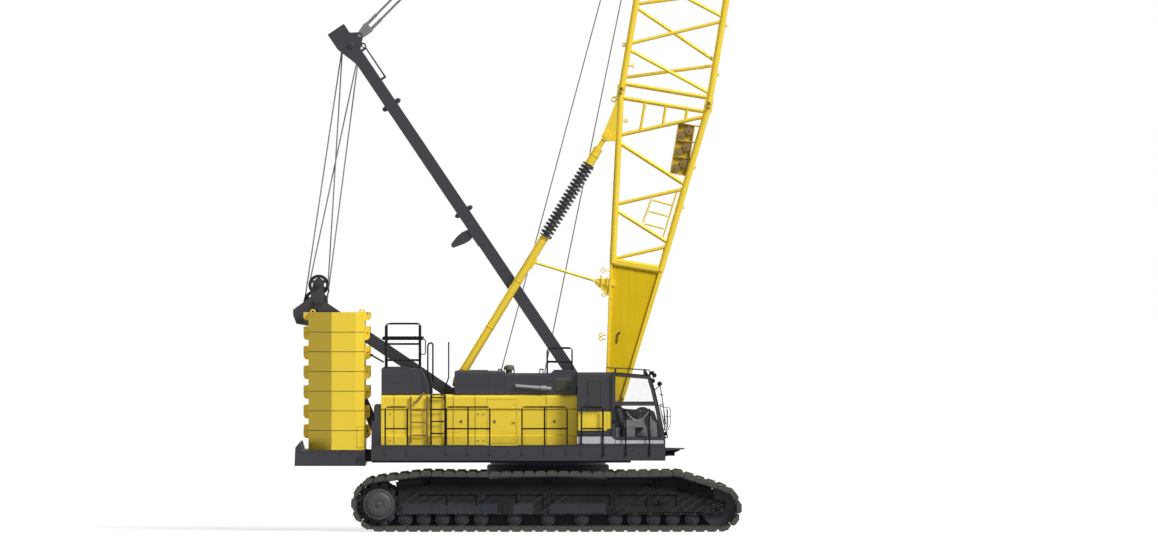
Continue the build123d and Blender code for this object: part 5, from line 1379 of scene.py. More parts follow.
@dataclass
class Decks:
    """Tread plates, rail sockets, the cab's grab posts with their chain, steps and lamps."""

    out_y: float = 2.75
    top_z: float = 2.06
    post_x: tuple[float, ...] = (-3.912, -3.378, -2.442, -1.92, -1.398, -0.622, -0.08, 0.462, 0.808, 1.322)
    left_posts: int = 8
    short_post_x: float = 1.332
    chain_x: Flat = (1.874, 2.443)
    chain_top_z: float = 2.93
    chain_sag: float = 0.235
    chain_links: int = 34
    lamp_y: Flat = (-2.27, -1.85)
    tread_step: float = 0.085
    tread_areas: tuple[tuple[float, float, float, float], ...] = (
        (-4.22, 0.68, -2.73, -2.24), (-4.22, 1.98, 2.18, 2.73), (-4.2, 1.9, -0.58, 0.58),
        (0.75, 1.98, 1.3, 2.15))

    def build(self) -> None:
        """Makes every piece of the decks."""
        self.treads()
        self.sockets()
        self.chain()
        self.lamps()

    def treads(self) -> None:
        """Covers the walkways and the deck with raised tread bars."""
        tread = Shape()
        corners = ((-1, -1), (1, -1), (1, 1), (-1, 1))
        tread.hull([
            [(0.022 * a, 0.006 * b, 0.0) for a, b in corners],
            [(0.014 * a, 0.003 * b, 0.005) for a, b in corners]
        ])
        rows = []
        for x0, x1, y0, y1 in self.tread_areas:
            for i in range(int((x1 - x0) / self.tread_step)):
                for k in range(int((y1 - y0) / self.tread_step)):
                    turn = 45.0 if (i + k) % 2 else -45.0
                    x, y = x0 + 0.04 + i * self.tread_step, y0 + 0.04 + k * self.tread_step
                    rows.append(Mark((x, y, self.top_z - 0.0005), (0.0, 0.0, turn)))
        scatter("deck_treads", rows, tread, BLACK, Body.UPPER)

    def sockets(self) -> None:
        """Adds the sockets that hold the rail posts at the deck's edges, the seams and small knobs."""
        shape = Shape()
        y = self.out_y
        for x in self.post_x[:self.left_posts]:
            self.socket(shape, x)
        shape.mirror()
        for x in self.post_x[self.left_posts:]:
            self.socket(shape, x)
        for x in (-0.94, 2.2):
            shape.turned([(0, 0.02), (0.014, 0.018), (0.02, 0.0)], (x, -y, 1.89), (0, -1, 0), 16)
        for front, side, low, high in (
            (2.8, -1, 1.7, 1.722), (2.83, -1, 2.04, 2.062), (2.0, 1, 1.7, 1.722), (2.0, 1, 2.04, 2.062)
        ):
            middle = side * (y + 0.004)
            shape.block((-4.25, middle - 0.008, low), (front, middle + 0.008, high))
        shape.piece("deck_sockets", BLACK, Body.UPPER, 0.003)

    def socket(self, shape: Shape, x: float) -> None:
        """Adds one rail post's socket and its foot plate, on the right side."""
        shape.block((x - 0.024, -self.out_y - 0.022, 1.83), (x + 0.024, -self.out_y + 0.005, 2.02))
        shape.block((x - 0.03, -2.745, self.top_z - 0.002), (x + 0.03, -2.675, self.top_z + 0.012))

    def chain(self) -> None:
        """Makes the two grab posts beside the cab door and the link chain between them."""
        shape = Shape()
        y = -self.out_y - 0.024
        for x in (self.short_post_x, *self.chain_x):
            tall = x > self.short_post_x
            top = self.chain_top_z if tall else self.top_z
            shape.pipe([(x, y, 1.8), (x, y, top)], 0.018, 12)
            for z in (1.86, 2.0):
                shape.block(
                    (x - 0.03, -self.out_y - 0.006, z - 0.02), (x + 0.03, -self.out_y + 0.004, z + 0.02))
                shape.block((x - 0.01, -self.out_y - 0.026, z - 0.012), (x + 0.01, -self.out_y, z + 0.012))
            if tall:
                shape.turned([(0, 0.022), (0.018, 0.02), (0.026, 0.0)], (x, y, top), (0, 0, 1), 12)
        shape.piece("grab_posts", RAIL, Body.UPPER)
        link = Shape()
        turns = [math.pi * k / 6 for k in range(12)]
        link.pipe(
            [(0.02 * math.cos(turn), 0.009 * math.sin(turn), 0.0) for turn in turns], 0.0035, 6,
            closed=True)
        left, right = self.chain_x
        rows = []
        for i in range(self.chain_links):
            share = (i + 0.5) / self.chain_links
            fall = 4 * share * (1 - share)
            slope = -4 * self.chain_sag * (1 - 2 * share) / (right - left)
            place = (left + (right - left) * share, y, self.chain_top_z - 0.02 - self.chain_sag * fall)
            rows.append(Mark(place, (90.0 * (i % 2), -math.degrees(math.atan(slope)), 0.0)))
        scatter("gate_chain", rows, link, BRIGHT, Body.UPPER)

    def lamps(self) -> None:
        """Adds the lamp under the front step, the step's brackets and the lamps at the rear."""
        shape = Shape()
        for y in self.lamp_y:
            shape.block((2.865, y - 0.11, 1.815), (3.05, y + 0.11, 1.905))
            shape.wire([(2.82, 1.86), (2.88, 1.86)], y, 0.02)
            shape.wire([(2.96, 1.9), (2.96, 1.975)], y, 0.016)
        for y in (-2.46, -1.66):
            shape.plate([(2.82, 1.8), (2.84, 1.8), (3.2, 1.955), (2.82, 1.955)], y - 0.02, y + 0.02)
        shape.piece("front_lamps", RAIL, Body.UPPER, 0.012)
        lens = Shape()
        for y in self.lamp_y:
            lens.turned(
                [(0, 0.046), (0.008, 0.043), (0.014, 0.025), (0.016, 0.0)], (3.046, y, 1.86), (1, 0, 0), 24)
        lens.piece("lamp_lenses", LENS, Body.UPPER)


@dataclass
class Ladders:
    """The deck ladder's tall rails and hoops, the roof platform's loop and the thin mast beside it."""

    y: float = -2.205
    slats: int = 9
    slat_step: float = 0.095

    def build(self) -> None:
        """Makes the ladder fittings."""
        y = self.y
        shape = Shape()
        shape.pipe([
            (-2.814, y, 3.26), (-2.814, y, 3.43), (-2.892, y, 3.75), (-2.892, y, 4.47), (-2.86, y, 4.525),
            (-2.8, y + 0.02, 4.53), (-2.77, y + 0.05, 4.5), (-2.77, y + 0.09, 3.6)
        ], 0.02, 12)
        shape.wire([(-2.476, 3.26), (-2.468, 3.48), (-2.389, 3.7), (-2.389, 4.525)], y, 0.017, 12)
        shape.turned([(0, 0.022), (0.03, 0.016), (0.035, 0.0)], (-2.389, y, 4.522), (0, 0, 1), 12)
        hoop = [
            (-2.814, y, 3.2), (-2.79, y - 0.06, 3.27), (-2.645, y - 0.1, 3.3), (-2.5, y - 0.06, 3.27),
            (-2.476, y, 3.2)]
        shape.pipe(hoop, 0.014, 10)
        loop = [
            (-3.075, 4.28), (-3.075, 4.59), (-3.045, 4.62), (-2.975, 4.62), (-2.95, 4.59), (-2.95, 4.29),
            (-2.975, 4.26), (-3.045, 4.26)]
        shape.wire(loop, -2.05, 0.013, closed=True)
        shape.piece("ladder_rails", RAIL, Body.UPPER)
        strap = Shape()
        strap.pipe(
            [(-3.235, y, 3.09), (-3.14, y - 0.01, 3.13), (-3.02, y - 0.01, 3.3), (-2.97, y, 3.33)], 0.024,
            8)
        strap.piece("ladder_strap", BROWN, Body.UPPER)
        slots = Shape()
        for i in range(self.slats):
            x = -3.93 + i * self.slat_step
            slots.block((x, -2.055, 4.6), (x + 0.05, -1.385, 4.683))
        slots.mirror()
        slots.piece("platform_slats", RAIL, Body.UPPER, 0.004)


# ---- machinery house ----------------------------------------------------------------------


@dataclass
class House:
    """Seams, latches, hinges, louvres and bolts of the yellow houses and their doors."""

    seams: tuple[float, ...] = (-3.707, -2.28, -1.752, -0.041)
    latches: tuple[float, ...] = (-2.091, 0.157)
    door_latch: float = -1.285
    hinge: Flat = (-0.757, 2.152)
    slat_step: float = 0.045
    panels: tuple[tuple[float, ...], ...] = (
        # middle x, y, low z, high z, width, turn about Z
        (-3.0, 2.115, 2.36, 2.88, 1.2, 180.0),
        (-3.3, -1.33, 3.4, 3.8, 0.36, 180.0),
        (-1.65, -1.33, 3.4, 3.72, 0.9, 180.0),
        (-3.3, 1.33, 3.4, 3.8, 0.36, 0.0),
        (-1.65, 1.33, 3.4, 3.72, 0.9, 0.0),
        (-3.55, 2.11, 3.42, 3.74, 0.6, 180.0),
        (-4.18, -1.72, 2.72, 2.98, 0.6, -90.0),
        (-4.18, 1.72, 2.72, 2.98, 0.6, -90.0),
    )

    def build(self) -> None:
        """Makes every piece of both houses."""
        shape = Shape()
        for x in self.seams:
            self.seam(shape, x)
        for x0, x1 in ((-4.017, -1.5), (-0.72, 0.702)):
            shape.block((x0, -2.1535, 2.0605), (x1, -2.149, 2.074))
        shape.mirror()
        shape.piece("house_seams", SEAM, Body.UPPER)
        self.latch_plates()
        self.doors()
        self.side_louvres()
        large = [(x, y, z) for x in (-3.804, -1.682, -1.549) for y, z in ((-2.115, 2.819), (-2.15, 2.178))]
        BOLTS.mirrored(Body.UPPER, Facing.RIGHT, 0.03, large)
        small = [(x, -2.15, z) for x in (-3.6, -2.4, -2.16, -0.16, 0.08, 0.6) for z in (2.24, 3.02)]
        BOLTS.mirrored(Body.UPPER, Facing.RIGHT, 0.016, small)

    def seam(self, shape: Shape, x: float) -> None:
        """Adds a dark joint that follows the pressed side from the deck to the roof.

        Args:
            shape: the shape to add to.
            x: where the joint is.
        """
        side = [
            (-2.15, 2.062), (-2.15, 2.29), (-2.115, 2.31), (-2.115, 2.925), (-2.15, 2.95), (-2.15, 3.221),
            (-2.08, 3.291), (-1.4, 3.291)]
        section = ((-0.006, 0.01), (-0.006, 0.004), (0.006, 0.004), (0.006, 0.01))
        shape.hull(
            [[(x + across, y + (d if d > 0.004 else -d), z) for across, d in section] for y, z in side[:6]])
        shape.hull(
            [[(x + across, y, z + (-d if d > 0.004 else d)) for across, d in section] for y, z in side[5:]])

    def latch_plates(self) -> None:
        """Adds the flush latches of the fixed panels."""
        shape = Shape()
        for x in self.latches:
            self.latch(shape, x)
        shape.mirror()
        shape.piece("house_latches", BROWN, Body.UPPER, 0.003)

    def latch(self, shape: Shape, x: float) -> None:
        """Adds one paddle latch on the recessed band.

        Args:
            shape: the shape to add to.
            x: its middle.
        """
        shape.block((x - 0.03, -2.119, 2.6), (x + 0.03, -2.113, 2.676))
        side = [(-2.118, 2.612), (-2.126, 2.616), (-2.138, 2.66), (-2.118, 2.664)]
        shape.bar(side, x - 0.018, x + 0.018)

    def doors(self) -> None:
        """Adds a latch and hinge knuckles to each house door."""
        for side, body in ((-1, Body.DOOR_RIGHT), (1, Body.DOOR_LEFT)):
            latch = Shape()
            self.latch(latch, self.door_latch)
            if side > 0:
                latch.flip()
            latch.piece(body.value + "_latch", BROWN, body, 0.002)
            shape = Shape()
            x, y = self.hinge[0], side * self.hinge[1]
            for z in (2.2, 2.62, 3.04):
                shape.pipe([(x, y, z), (x, y, z + 0.07)], 0.011, 12)
                shape.block((x - 0.075, y - 0.006, z + 0.008), (x - 0.004, y + 0.006, z + 0.062))
            shape.piece(body.value + "_hinges", YELLOW, body, 0.002)
        fixed = Shape()
        x, y = self.hinge
        for z in (2.275, 2.695, 3.115):
            fixed.pipe([(x, -y, z), (x, -y, z + 0.035)], 0.011, 12)
            fixed.block((x + 0.004, -y - 0.006, z + 0.003), (x + 0.06, -y + 0.006, z + 0.032))
        fixed.mirror()
        fixed.piece("fixed_hinges", YELLOW, Body.UPPER, 0.002)

    def side_louvres(self) -> None:
        """Fits slatted air panels to the left house, to both rear boxes and to the hoods' inner sides."""
        slat = Shape()
        slat.bar([(0.004, -0.018), (-0.02, -0.022), (-0.022, -0.018), (0.004, 0.014)], -0.5, 0.5)
        rows = []
        borders = Shape()
        for x, y, low, high, width, turn in self.panels:
            count = int((high - low) / self.slat_step)
            for i in range(count):
                place = (x, y, low + 0.02 + i * (high - low) / count)
                rows.append(Mark(place, (0.0, 0.0, turn), (width, 1.0, 1.0)))
            c, s = math.cos(math.radians(turn)), math.sin(math.radians(turn))
            half = width / 2 + 0.012
            ring = [
                (x + c * a, y + s * a, z)
                for a, z in (
                    (-half, low - 0.02), (half, low - 0.02), (half, high + 0.005), (-half, high + 0.005))]
            borders.pipe(ring, 0.01, 4, closed=True)
        scatter("house_louvres", rows, slat, BLACK, Body.UPPER)
        borders.piece("louvre_borders", BLACK, Body.UPPER)


@dataclass
class Hoods:
    """Bend lines, seams, caps, the raised front box, the intake and the slanting pipe of the hoods."""

    side_y: float = 2.11
    fins: int = 13
    fin_step: float = 0.0225

    def build(self) -> None:
        """Makes every piece of the hoods."""
        y = -self.side_y
        lines = Shape()
        for x0, x1, z0, z1 in (
            (-4.01, -3.06, 3.574, 3.586), (-3.316, -3.304, 3.3, 3.875), (-1.416, -1.404, 3.3, 3.8),
            (-2.25, -1.05, 3.5, 3.508), (-0.3, -0.288, 3.3, 3.745)
        ):
            lines.block((x0, y - 0.004, z0), (x1, y + 0.01, z1))
        for x, z in ((-3.316, 3.915), (-1.416, 3.842)):
            lines.block((x, y + 0.05, z), (x + 0.012, -1.36, z + 0.009))
        lines.mirror()
        lines.piece("hood_seams", SEAM, Body.UPPER)
        boxes = Shape()
        outline = [(-0.05, 3.6), (-0.036, 3.7), (0.145, 3.87), (0.665, 3.87), (0.68, 3.845), (0.68, 3.6)]
        boxes.plate(outline, y - 0.008, -1.42)
        boxes.plate(
            [(-3.062, 3.3), (-3.062, 3.86), (-3.03, 3.86), (-2.8, 3.4), (-2.8, 3.295)], y + 0.02, -1.36)
        boxes.block((-3.98, y + 0.1, 3.915), (-3.34, -1.42, 3.945))
        boxes.block((-2.2, y + 0.1, 3.842), (-1.46, -1.42, 3.866))
        for x in (-2.12, -1.2, -0.9, -0.2):
            boxes.wire([(x, 3.78), (x, 3.885), (x + 0.08, 3.885), (x + 0.08, 3.78)], -1.72, 0.01, 8)
        boxes.mirror()
        boxes.piece("hood_boxes", BLACK, Body.UPPER, 0.01)
        cap = Shape()
        for side in (-1, 1):
            cap.turned([
                (0, 0.07), (0.095, 0.07), (0.095, 0.121), (0.145, 0.121), (0.18, 0.11), (0.2, 0.06),
                (0.203, 0.0)
            ], (-0.944, side * 1.8, 3.785), (0, 0, 1), 40)
        cap.block((0.194, y - 0.02, 3.364), (0.557, y + 0.01, 3.678))
        cap.piece("intake_caps", OLIVE, Body.UPPER, 0.006)
        pipe = Shape()
        pipe.pipe(
            [(-0.775, y + 0.01, 3.5), (-0.745, y - 0.055, 3.49), (-0.024, y - 0.055, 3.436)], 0.045, 20)
        pipe.turned([(0, 0.062), (0.12, 0.062)], (-0.17, y - 0.055, 3.447), (1, 0, -0.075), 24)
        pipe.pipe([(-0.024, y - 0.055, 3.436), (0.02, y - 0.05, 3.432), (0.05, y + 0.01, 3.43)], 0.045, 20)
        pipe.piece("side_pipe", PALE, Body.UPPER, 0.003)
        self.intake()
        places = [(x, y, 3.33) for x in (-3.95, -3.5, -3.12, -2.18, -1.6, -1.12, -0.96, -0.5)]
        places += [(x, y - 0.008, 3.66) for x in (0.02, 0.62)]
        BOLTS.mirrored(Body.UPPER, Facing.RIGHT, 0.022, places)

    def intake(self) -> None:
        """Fits fine slats over the intake window."""
        fin = Shape()
        fin.bar([(-0.012, -0.004), (-0.012, 0.002), (0.0, 0.008), (0.0, 0.0)], -0.155, 0.155)
        rows = [Mark((0.3755, -self.side_y - 0.019, 3.385 + i * self.fin_step)) for i in range(self.fins)]
        scatter("intake_slats", rows, fin, OLIVE, Body.UPPER)


# ---- cab ----------------------------------------------------------------------------------


@dataclass
class Cab:
    """Gaskets, mirrors, wiper, stripe, skirt, handles, controls and the seat of the cab."""

    door_y: float = -2.671
    inner_y: float = -1.5
    mid_y: float = -2.06
    roof_lamp_y: Flat = (-2.36, -1.76)
    guard_bars: int = 15
    guard_step: float = 0.066
    guard_slope: float = 0.0589
    lower: tuple[Flat, ...] = (
        (1.615, 2.265), (2.736, 2.265), (2.678, 2.541), (2.585, 3.003), (2.578, 3.033), (1.615, 3.033))
    upper: tuple[Flat, ...] = (
        (1.615, 3.108), (2.56, 3.108), (2.493, 3.393), (2.405, 3.674), (1.615, 3.739))
    stripes: tuple[tuple[Flat, ...], ...] = (
        ((0.702, 2.111), (1.318, 2.111), (1.318, 2.279), (0.702, 2.279)),
        ((1.345, 2.111), (1.62, 2.111), (1.62, 2.191), (1.529, 2.279), (1.345, 2.279)),
        ((1.632, 2.111), (1.862, 2.111), (1.862, 2.191), (1.632, 2.191)),
        ((1.886, 2.111), (2.43, 2.111), (2.43, 2.191), (1.886, 2.191)),
        ((2.456, 2.111), (2.79, 2.111), (2.78, 2.191), (2.456, 2.191)),
    )

    def build(self) -> None:
        """Makes every piece of the cab."""
        self.gaskets()
        self.skirt()
        self.mirrors()
        self.roof()
        self.inside()
        self.cabinet()
        Seat(self.mid_y).build()

    def gaskets(self) -> None:
        """Rings every pane with a rubber gasket, on the door and on the fixed walls."""
        door = Shape()
        for outline in (self.lower, self.upper):
            door.wire(outline, self.door_y + 0.007, 0.011, 8, closed=True)
        door.piece("door_gaskets", RUBBER, Body.CAB_DOOR)
        handle = Shape()
        handle.pipe([
            (1.585, self.door_y + 0.006, 2.72), (1.585, self.door_y - 0.005, 2.73),
            (1.585, self.door_y - 0.005, 2.95), (1.585, self.door_y + 0.006, 2.96)
        ], 0.009, 10)
        handle.block((1.56, self.door_y - 0.008, 2.58), (1.606, self.door_y + 0.004, 2.68))
        handle.piece("door_handle", RAIL, Body.CAB_DOOR, 0.002)
        wall = Shape()
        for outline in (self.lower, self.upper):
            wall.wire(outline, self.inner_y - 0.003, 0.01, 8, closed=True)
        y0, y1 = -2.54, -1.58
        front = [(2.812, 2.27), (2.757, 2.541), (2.665, 3.003), (2.573, 3.393), (2.488, 3.665)]
        wall.pipe(
            [(x, y0, z) for x, z in front] + [(x, y1, z) for x, z in reversed(front)], 0.012, 8,
            closed=True)
        wall.pipe([
            (1.537, y, z) for y, z in ((-2.465, 3.112), (-1.655, 3.112), (-1.655, 3.635), (-2.465, 3.635))
        ], 0.01, 8, closed=True)
        wall.piece("cab_gaskets", RUBBER, Body.UPPER)

    def skirt(self) -> None:
        """Makes the pale stripe in its five lengths on a black skirt along the cabinet and the cab."""
        skirt = Shape()
        outline = [(0.704, 2.058), (2.826, 2.058), (2.8, 2.2), (1.64, 2.2), (1.545, 2.292), (0.704, 2.292)]
        skirt.plate(outline, -2.684, -2.678)
        for x in (0.72, 1.5):
            skirt.block((x, -2.68, 2.064), (x + 0.05, -2.596, 2.15))
        skirt.piece("cab_skirt", BLACK, Body.UPPER, 0.002)
        stripe = Shape()
        for outline in self.stripes:
            stripe.plate(list(outline), -2.689, -2.683)
        stripe.piece("cab_stripe", STRIPE, Body.UPPER, 0.0015)

    def mirrors(self) -> None:
        """Makes the mirrors on their poles, the mirror's wire guard, the grab bar and the corner lamps."""
        y = -2.64
        shape = Shape()
        shape.pipe([
            (2.56, y + 0.02, 3.4), (2.64, y - 0.02, 3.46), (2.698, y - 0.04, 3.509),
            (2.783, y - 0.04, 3.01), (2.8, y - 0.04, 2.78), (2.808, y - 0.04, 2.46), (2.77, y, 2.4)
        ], 0.011, 10)
        shape.pipe([(2.655, y + 0.02, 3.02), (2.7, y - 0.02, 3.03), (2.785, y - 0.04, 2.985)], 0.011, 10)
        shape.pipe([(2.47, y + 0.08, 3.7), (2.53, y + 0.02, 3.66), (2.572, y, 3.73)], 0.009, 8)
        guard = [
            (2.8, 2.985), (2.92, 2.975), (2.95, 2.94), (2.955, 2.62), (2.925, 2.52), (2.9, 2.45),
            (2.87, 2.43), (2.85, 2.47)]
        for line, radius in (
            ([(2.7, 3.3), (2.765, 3.27)], 0.014), (guard, 0.008), ([(2.8, 2.76), (2.955, 2.76)], 0.007),
            ([(2.806, 2.6), (2.86, 2.6)], 0.007)
        ):
            shape.wire(line, y - 0.04, radius, 8)
        shape.pipe([(2.86, y - 0.04, 2.98), (2.865, y - 0.05, 2.6), (2.9, y - 0.04, 2.45)], 0.006, 8)
        for profile, place, sides in (
            (
                [(0, 0.02), (0.02, 0.052), (0.05, 0.056), (0.075, 0.03), (0.08, 0.0)],
                (2.565, y - 0.03, 3.753), 20),
            ([(0, 0.02), (0.02, 0.05), (0.06, 0.05), (0.08, 0.0)], (2.535, y + 0.01, 3.62), 16),
            (
                [(0, 0.0), (0.01, 0.055), (0.06, 0.06), (0.09, 0.03), (0.095, 0.0)],
                (2.69, y - 0.08, 3.548), 20),
        ):
            shape.turned(profile, place, (0, 1, 0), sides)
        shape.block((2.868, y - 0.16, 2.5), (2.89, y + 0.02, 2.93))
        shape.turned(
            [(0, 0.03), (0.02, 0.044), (0.07, 0.044), (0.075, 0.0)], (2.8, y + 0.02, 2.35), (1, 0, 0), 20)
        shape.wire([(2.83, 2.24), (2.88, 2.26), (2.775, 3.05), (2.7, 3.06)], -2.56, 0.011)
        shape.piece("cab_mirrors", RAIL, Body.UPPER, 0.003)
        glass = Shape()
        glass.block((2.864, y - 0.15, 2.515), (2.8685, y + 0.01, 2.915))
        glass.piece("mirror_glass", BRIGHT, Body.UPPER)
        wiper = Shape()
        wiper.pipe([(2.828, -1.8, 2.255), (2.852, -1.82, 2.3), (2.758, -2.14, 2.8)], 0.008, 8)
        corners = ((0.0, -2.13), (0.0, -2.15), (-0.02, -2.15), (-0.02, -2.13))
        wiper.hull([[(x + dx, y, z) for dx, y in corners] for x, z in ((2.838, 2.42), (2.712, 3.0))])
        wiper.turned([(0, 0.03), (0.03, 0.028), (0.04, 0.0)], (2.812, -1.8, 2.25), (1, 0, 0), 16)
        wiper.piece("cab_wiper", RUBBER, Body.UPPER, 0.002)

    def roof(self) -> None:
        """Adds the roof guard's bars, the roof's rain rail and the work lamps."""
        bar = Shape()
        bar.pipe([(0, -0.42, 0), (0, 0.42, 0)], 0.01, 8)
        rows = []
        for i in range(self.guard_bars):
            ahead = i * self.guard_step
            rows.append(Mark((1.46 + ahead, self.mid_y, 3.955 - (0.06 + ahead) * self.guard_slope)))
        scatter("roof_guard_bars", rows, bar, RAIL, Body.UPPER)
        shape = Shape()
        for y in (-2.61, -1.51):
            shape.wire([(1.545, 3.815), (2.455, 3.742), (2.566, 3.39), (2.658, 3.001)], y, 0.014)
        for y in self.roof_lamp_y:
            shape.block((2.44, y - 0.07, 3.76), (2.56, y + 0.07, 3.85))
            shape.wire([(2.42, 3.745), (2.47, 3.775)], y, 0.018, 8)
        shape.plate([(2.36, 3.752), (2.44, 3.745), (2.36, 3.87), (2.3, 3.874)], -2.42, -2.39)
        shape.piece("roof_rails", RAIL, Body.UPPER, 0.008)
        lens = Shape()
        for y in self.roof_lamp_y:
            lens.turned([(0, 0.04), (0.006, 0.038), (0.01, 0.0)], (2.557, y, 3.805), (1, 0, 0), 20)
        lens.piece("roof_lamp_lenses", LENS, Body.UPPER)

    def inside(self) -> None:
        """Adds the levers, pedals, monitor, fire bottle and front panel, and the left wall's trim."""
        shape = Shape()
        y = self.mid_y
        for k in (-0.345, 0.345):
            for x in (2.2, 2.28):
                shape.wire([(x, 2.67), (x + 0.03, 2.78), (x + 0.02, 2.85)], y + k, 0.011, 8)
                shape.turned(
                    [(0, 0.016), (0.03, 0.026), (0.06, 0.024), (0.07, 0.0)], (x + 0.02, y + k, 2.84),
                    (0, 0, 1), 16)
        for k in (-0.12, 0.12):
            shape.wire([(2.5, 2.12), (2.44, 2.3), (2.42, 2.42)], y + k, 0.012, 8)
            shape.block((2.36, y + k - 0.05, 2.16), (2.39, y + k + 0.05, 2.28))
        shape.plate([(2.44, 2.72), (2.47, 2.72), (2.43, 2.95), (2.4, 2.95)], y - 0.3, y - 0.02)
        shape.wire([(2.5, 2.66), (2.46, 2.76)], y - 0.16, 0.014, 8)
        shape.wire([(1.66, 2.11), (1.66, 2.5)], -1.62, 0.055, 20)
        shape.plate([(1.86, 2.28), (2.4, 2.28), (2.38, 2.5), (2.28, 2.61), (1.9, 2.62)], -1.64, -1.58)
        shape.piece("cab_controls", CONSOLE, Body.UPPER, 0.004)
        trim = Shape()
        trim.plate([
            (1.62, 2.24), (2.74, 2.24), (2.66, 2.62), (2.56, 2.88), (2.44, 2.93), (2.34, 2.985),
            (2.22, 2.985), (2.12, 2.93), (1.86, 2.94), (1.62, 3.04)
        ], -1.575, -1.558)
        trim.piece("cab_side_trim", RUBBER, Body.UPPER, 0.006)

    def cabinet(self) -> None:
        """Adds the cabinet's window and the trim round it and between its yellow panels."""
        shape = Shape()
        shape.block((0.97, -2.603, 2.98), (1.26, -2.596, 3.61))
        shape.piece("cabinet_window", DARK_GLASS, Body.UPPER, 0.002)
        trim = Shape()
        ring = [(0.958, -2.6, 2.968), (1.272, -2.6, 2.968), (1.272, -2.6, 3.622), (0.958, -2.6, 3.622)]
        trim.pipe(ring, 0.012, 8, closed=True)
        for x in (0.798, 1.337):
            trim.block((x - 0.01, -2.621, 2.42), (x + 0.01, -2.6, 2.885))
        trim.block((0.712, -2.602, 2.905), (1.538, -2.594, 2.925))
        trim.piece("cabinet_trim", SEAM, Body.UPPER, 0.002)


@dataclass
class Seat:
    """The operator's padded seat on its frame."""

    mid_y: float
    voxel: float = 0.01
    cap: float = 0.012
    pressure: float = 4.0
    steps: int = 20

    def build(self) -> None:
        """Makes the cushions and the seat's hard parts."""
        y = self.mid_y
        cushion = Shape()
        cushion.pillow((1.775, y - 0.228, 2.452), (2.238, y + 0.228, 2.56))
        self.puff("seat_cushion", cushion)
        back = Shape()
        outline = [(1.712, 2.6), (1.815, 2.6), (1.752, 2.96), (1.652, 2.96)]
        back.hull([[(x, yy, z) for x, z in outline] for yy in (y - 0.208, y - 0.1, y + 0.1, y + 0.208)])
        self.puff("seat_back", back)
        head = Shape()
        outline = [(1.648, 2.995), (1.735, 2.995), (1.722, 3.118), (1.64, 3.118)]
        head.hull([[(x, yy, z) for x, z in outline] for yy in (y - 0.12, y - 0.05, y + 0.05, y + 0.12)])
        self.puff("seat_head", head)
        hard = Shape()
        for k in (-0.06, 0.06):
            hard.wire([(1.69, 2.95), (1.685, 3.03)], y + k, 0.008, 8)
        for k in (-0.225, 0.225):
            hard.wire([(1.8, 2.5), (1.74, 2.58), (1.7, 2.8)], y + k, 0.014, 8)
        hard.block((1.79, y - 0.2, 2.435), (2.2, y + 0.2, 2.456))
        hard.piece("seat_frame", RAIL, Body.UPPER, 0.003, node="cab_seat")

    def puff(self, name: str, shape: Shape) -> None:
        """Turns a plain form into a stuffed cushion and puts it in the cab.

        Args:
            name: the piece's name.
            shape: its plain form.
        """
        piece = shape.object(name, FABRIC)
        bpy.context.view_layer.objects.active = piece
        remesh = piece.modifiers.new("remesh", "REMESH")
        remesh.mode = "VOXEL"
        remesh.voxel_size = self.voxel
        keep_result(piece)
        before = [v.co.copy() for v in piece.data.vertices]
        cloth = piece.modifiers.new("cloth", "CLOTH")
        cloth.settings.use_pressure = True
        cloth.settings.uniform_pressure_force = self.pressure
        cloth.settings.effector_weights.gravity = 0.0
        scene = bpy.context.scene
        for step in range(1, self.steps + 1):
            scene.frame_set(step)
        keep_result(piece)
        scene.frame_set(1)
        for vertex, start in zip(piece.data.vertices, before):
            moved = vertex.co - start
            if moved.length > self.cap:
                vertex.co = start + moved.normalized() * self.cap
        piece.data.materials.clear()
        piece.data.materials.append(FABRIC.material())
        finer = piece.modifiers.new("finer", "SUBSURF")
        finer.levels = finer.render_levels = 1
        piece.data.shade_smooth()
        settle(piece, Body.UPPER, Slot.SEAT, "cab_seat")


# ---- counterweights -----------------------------------------------------------------------


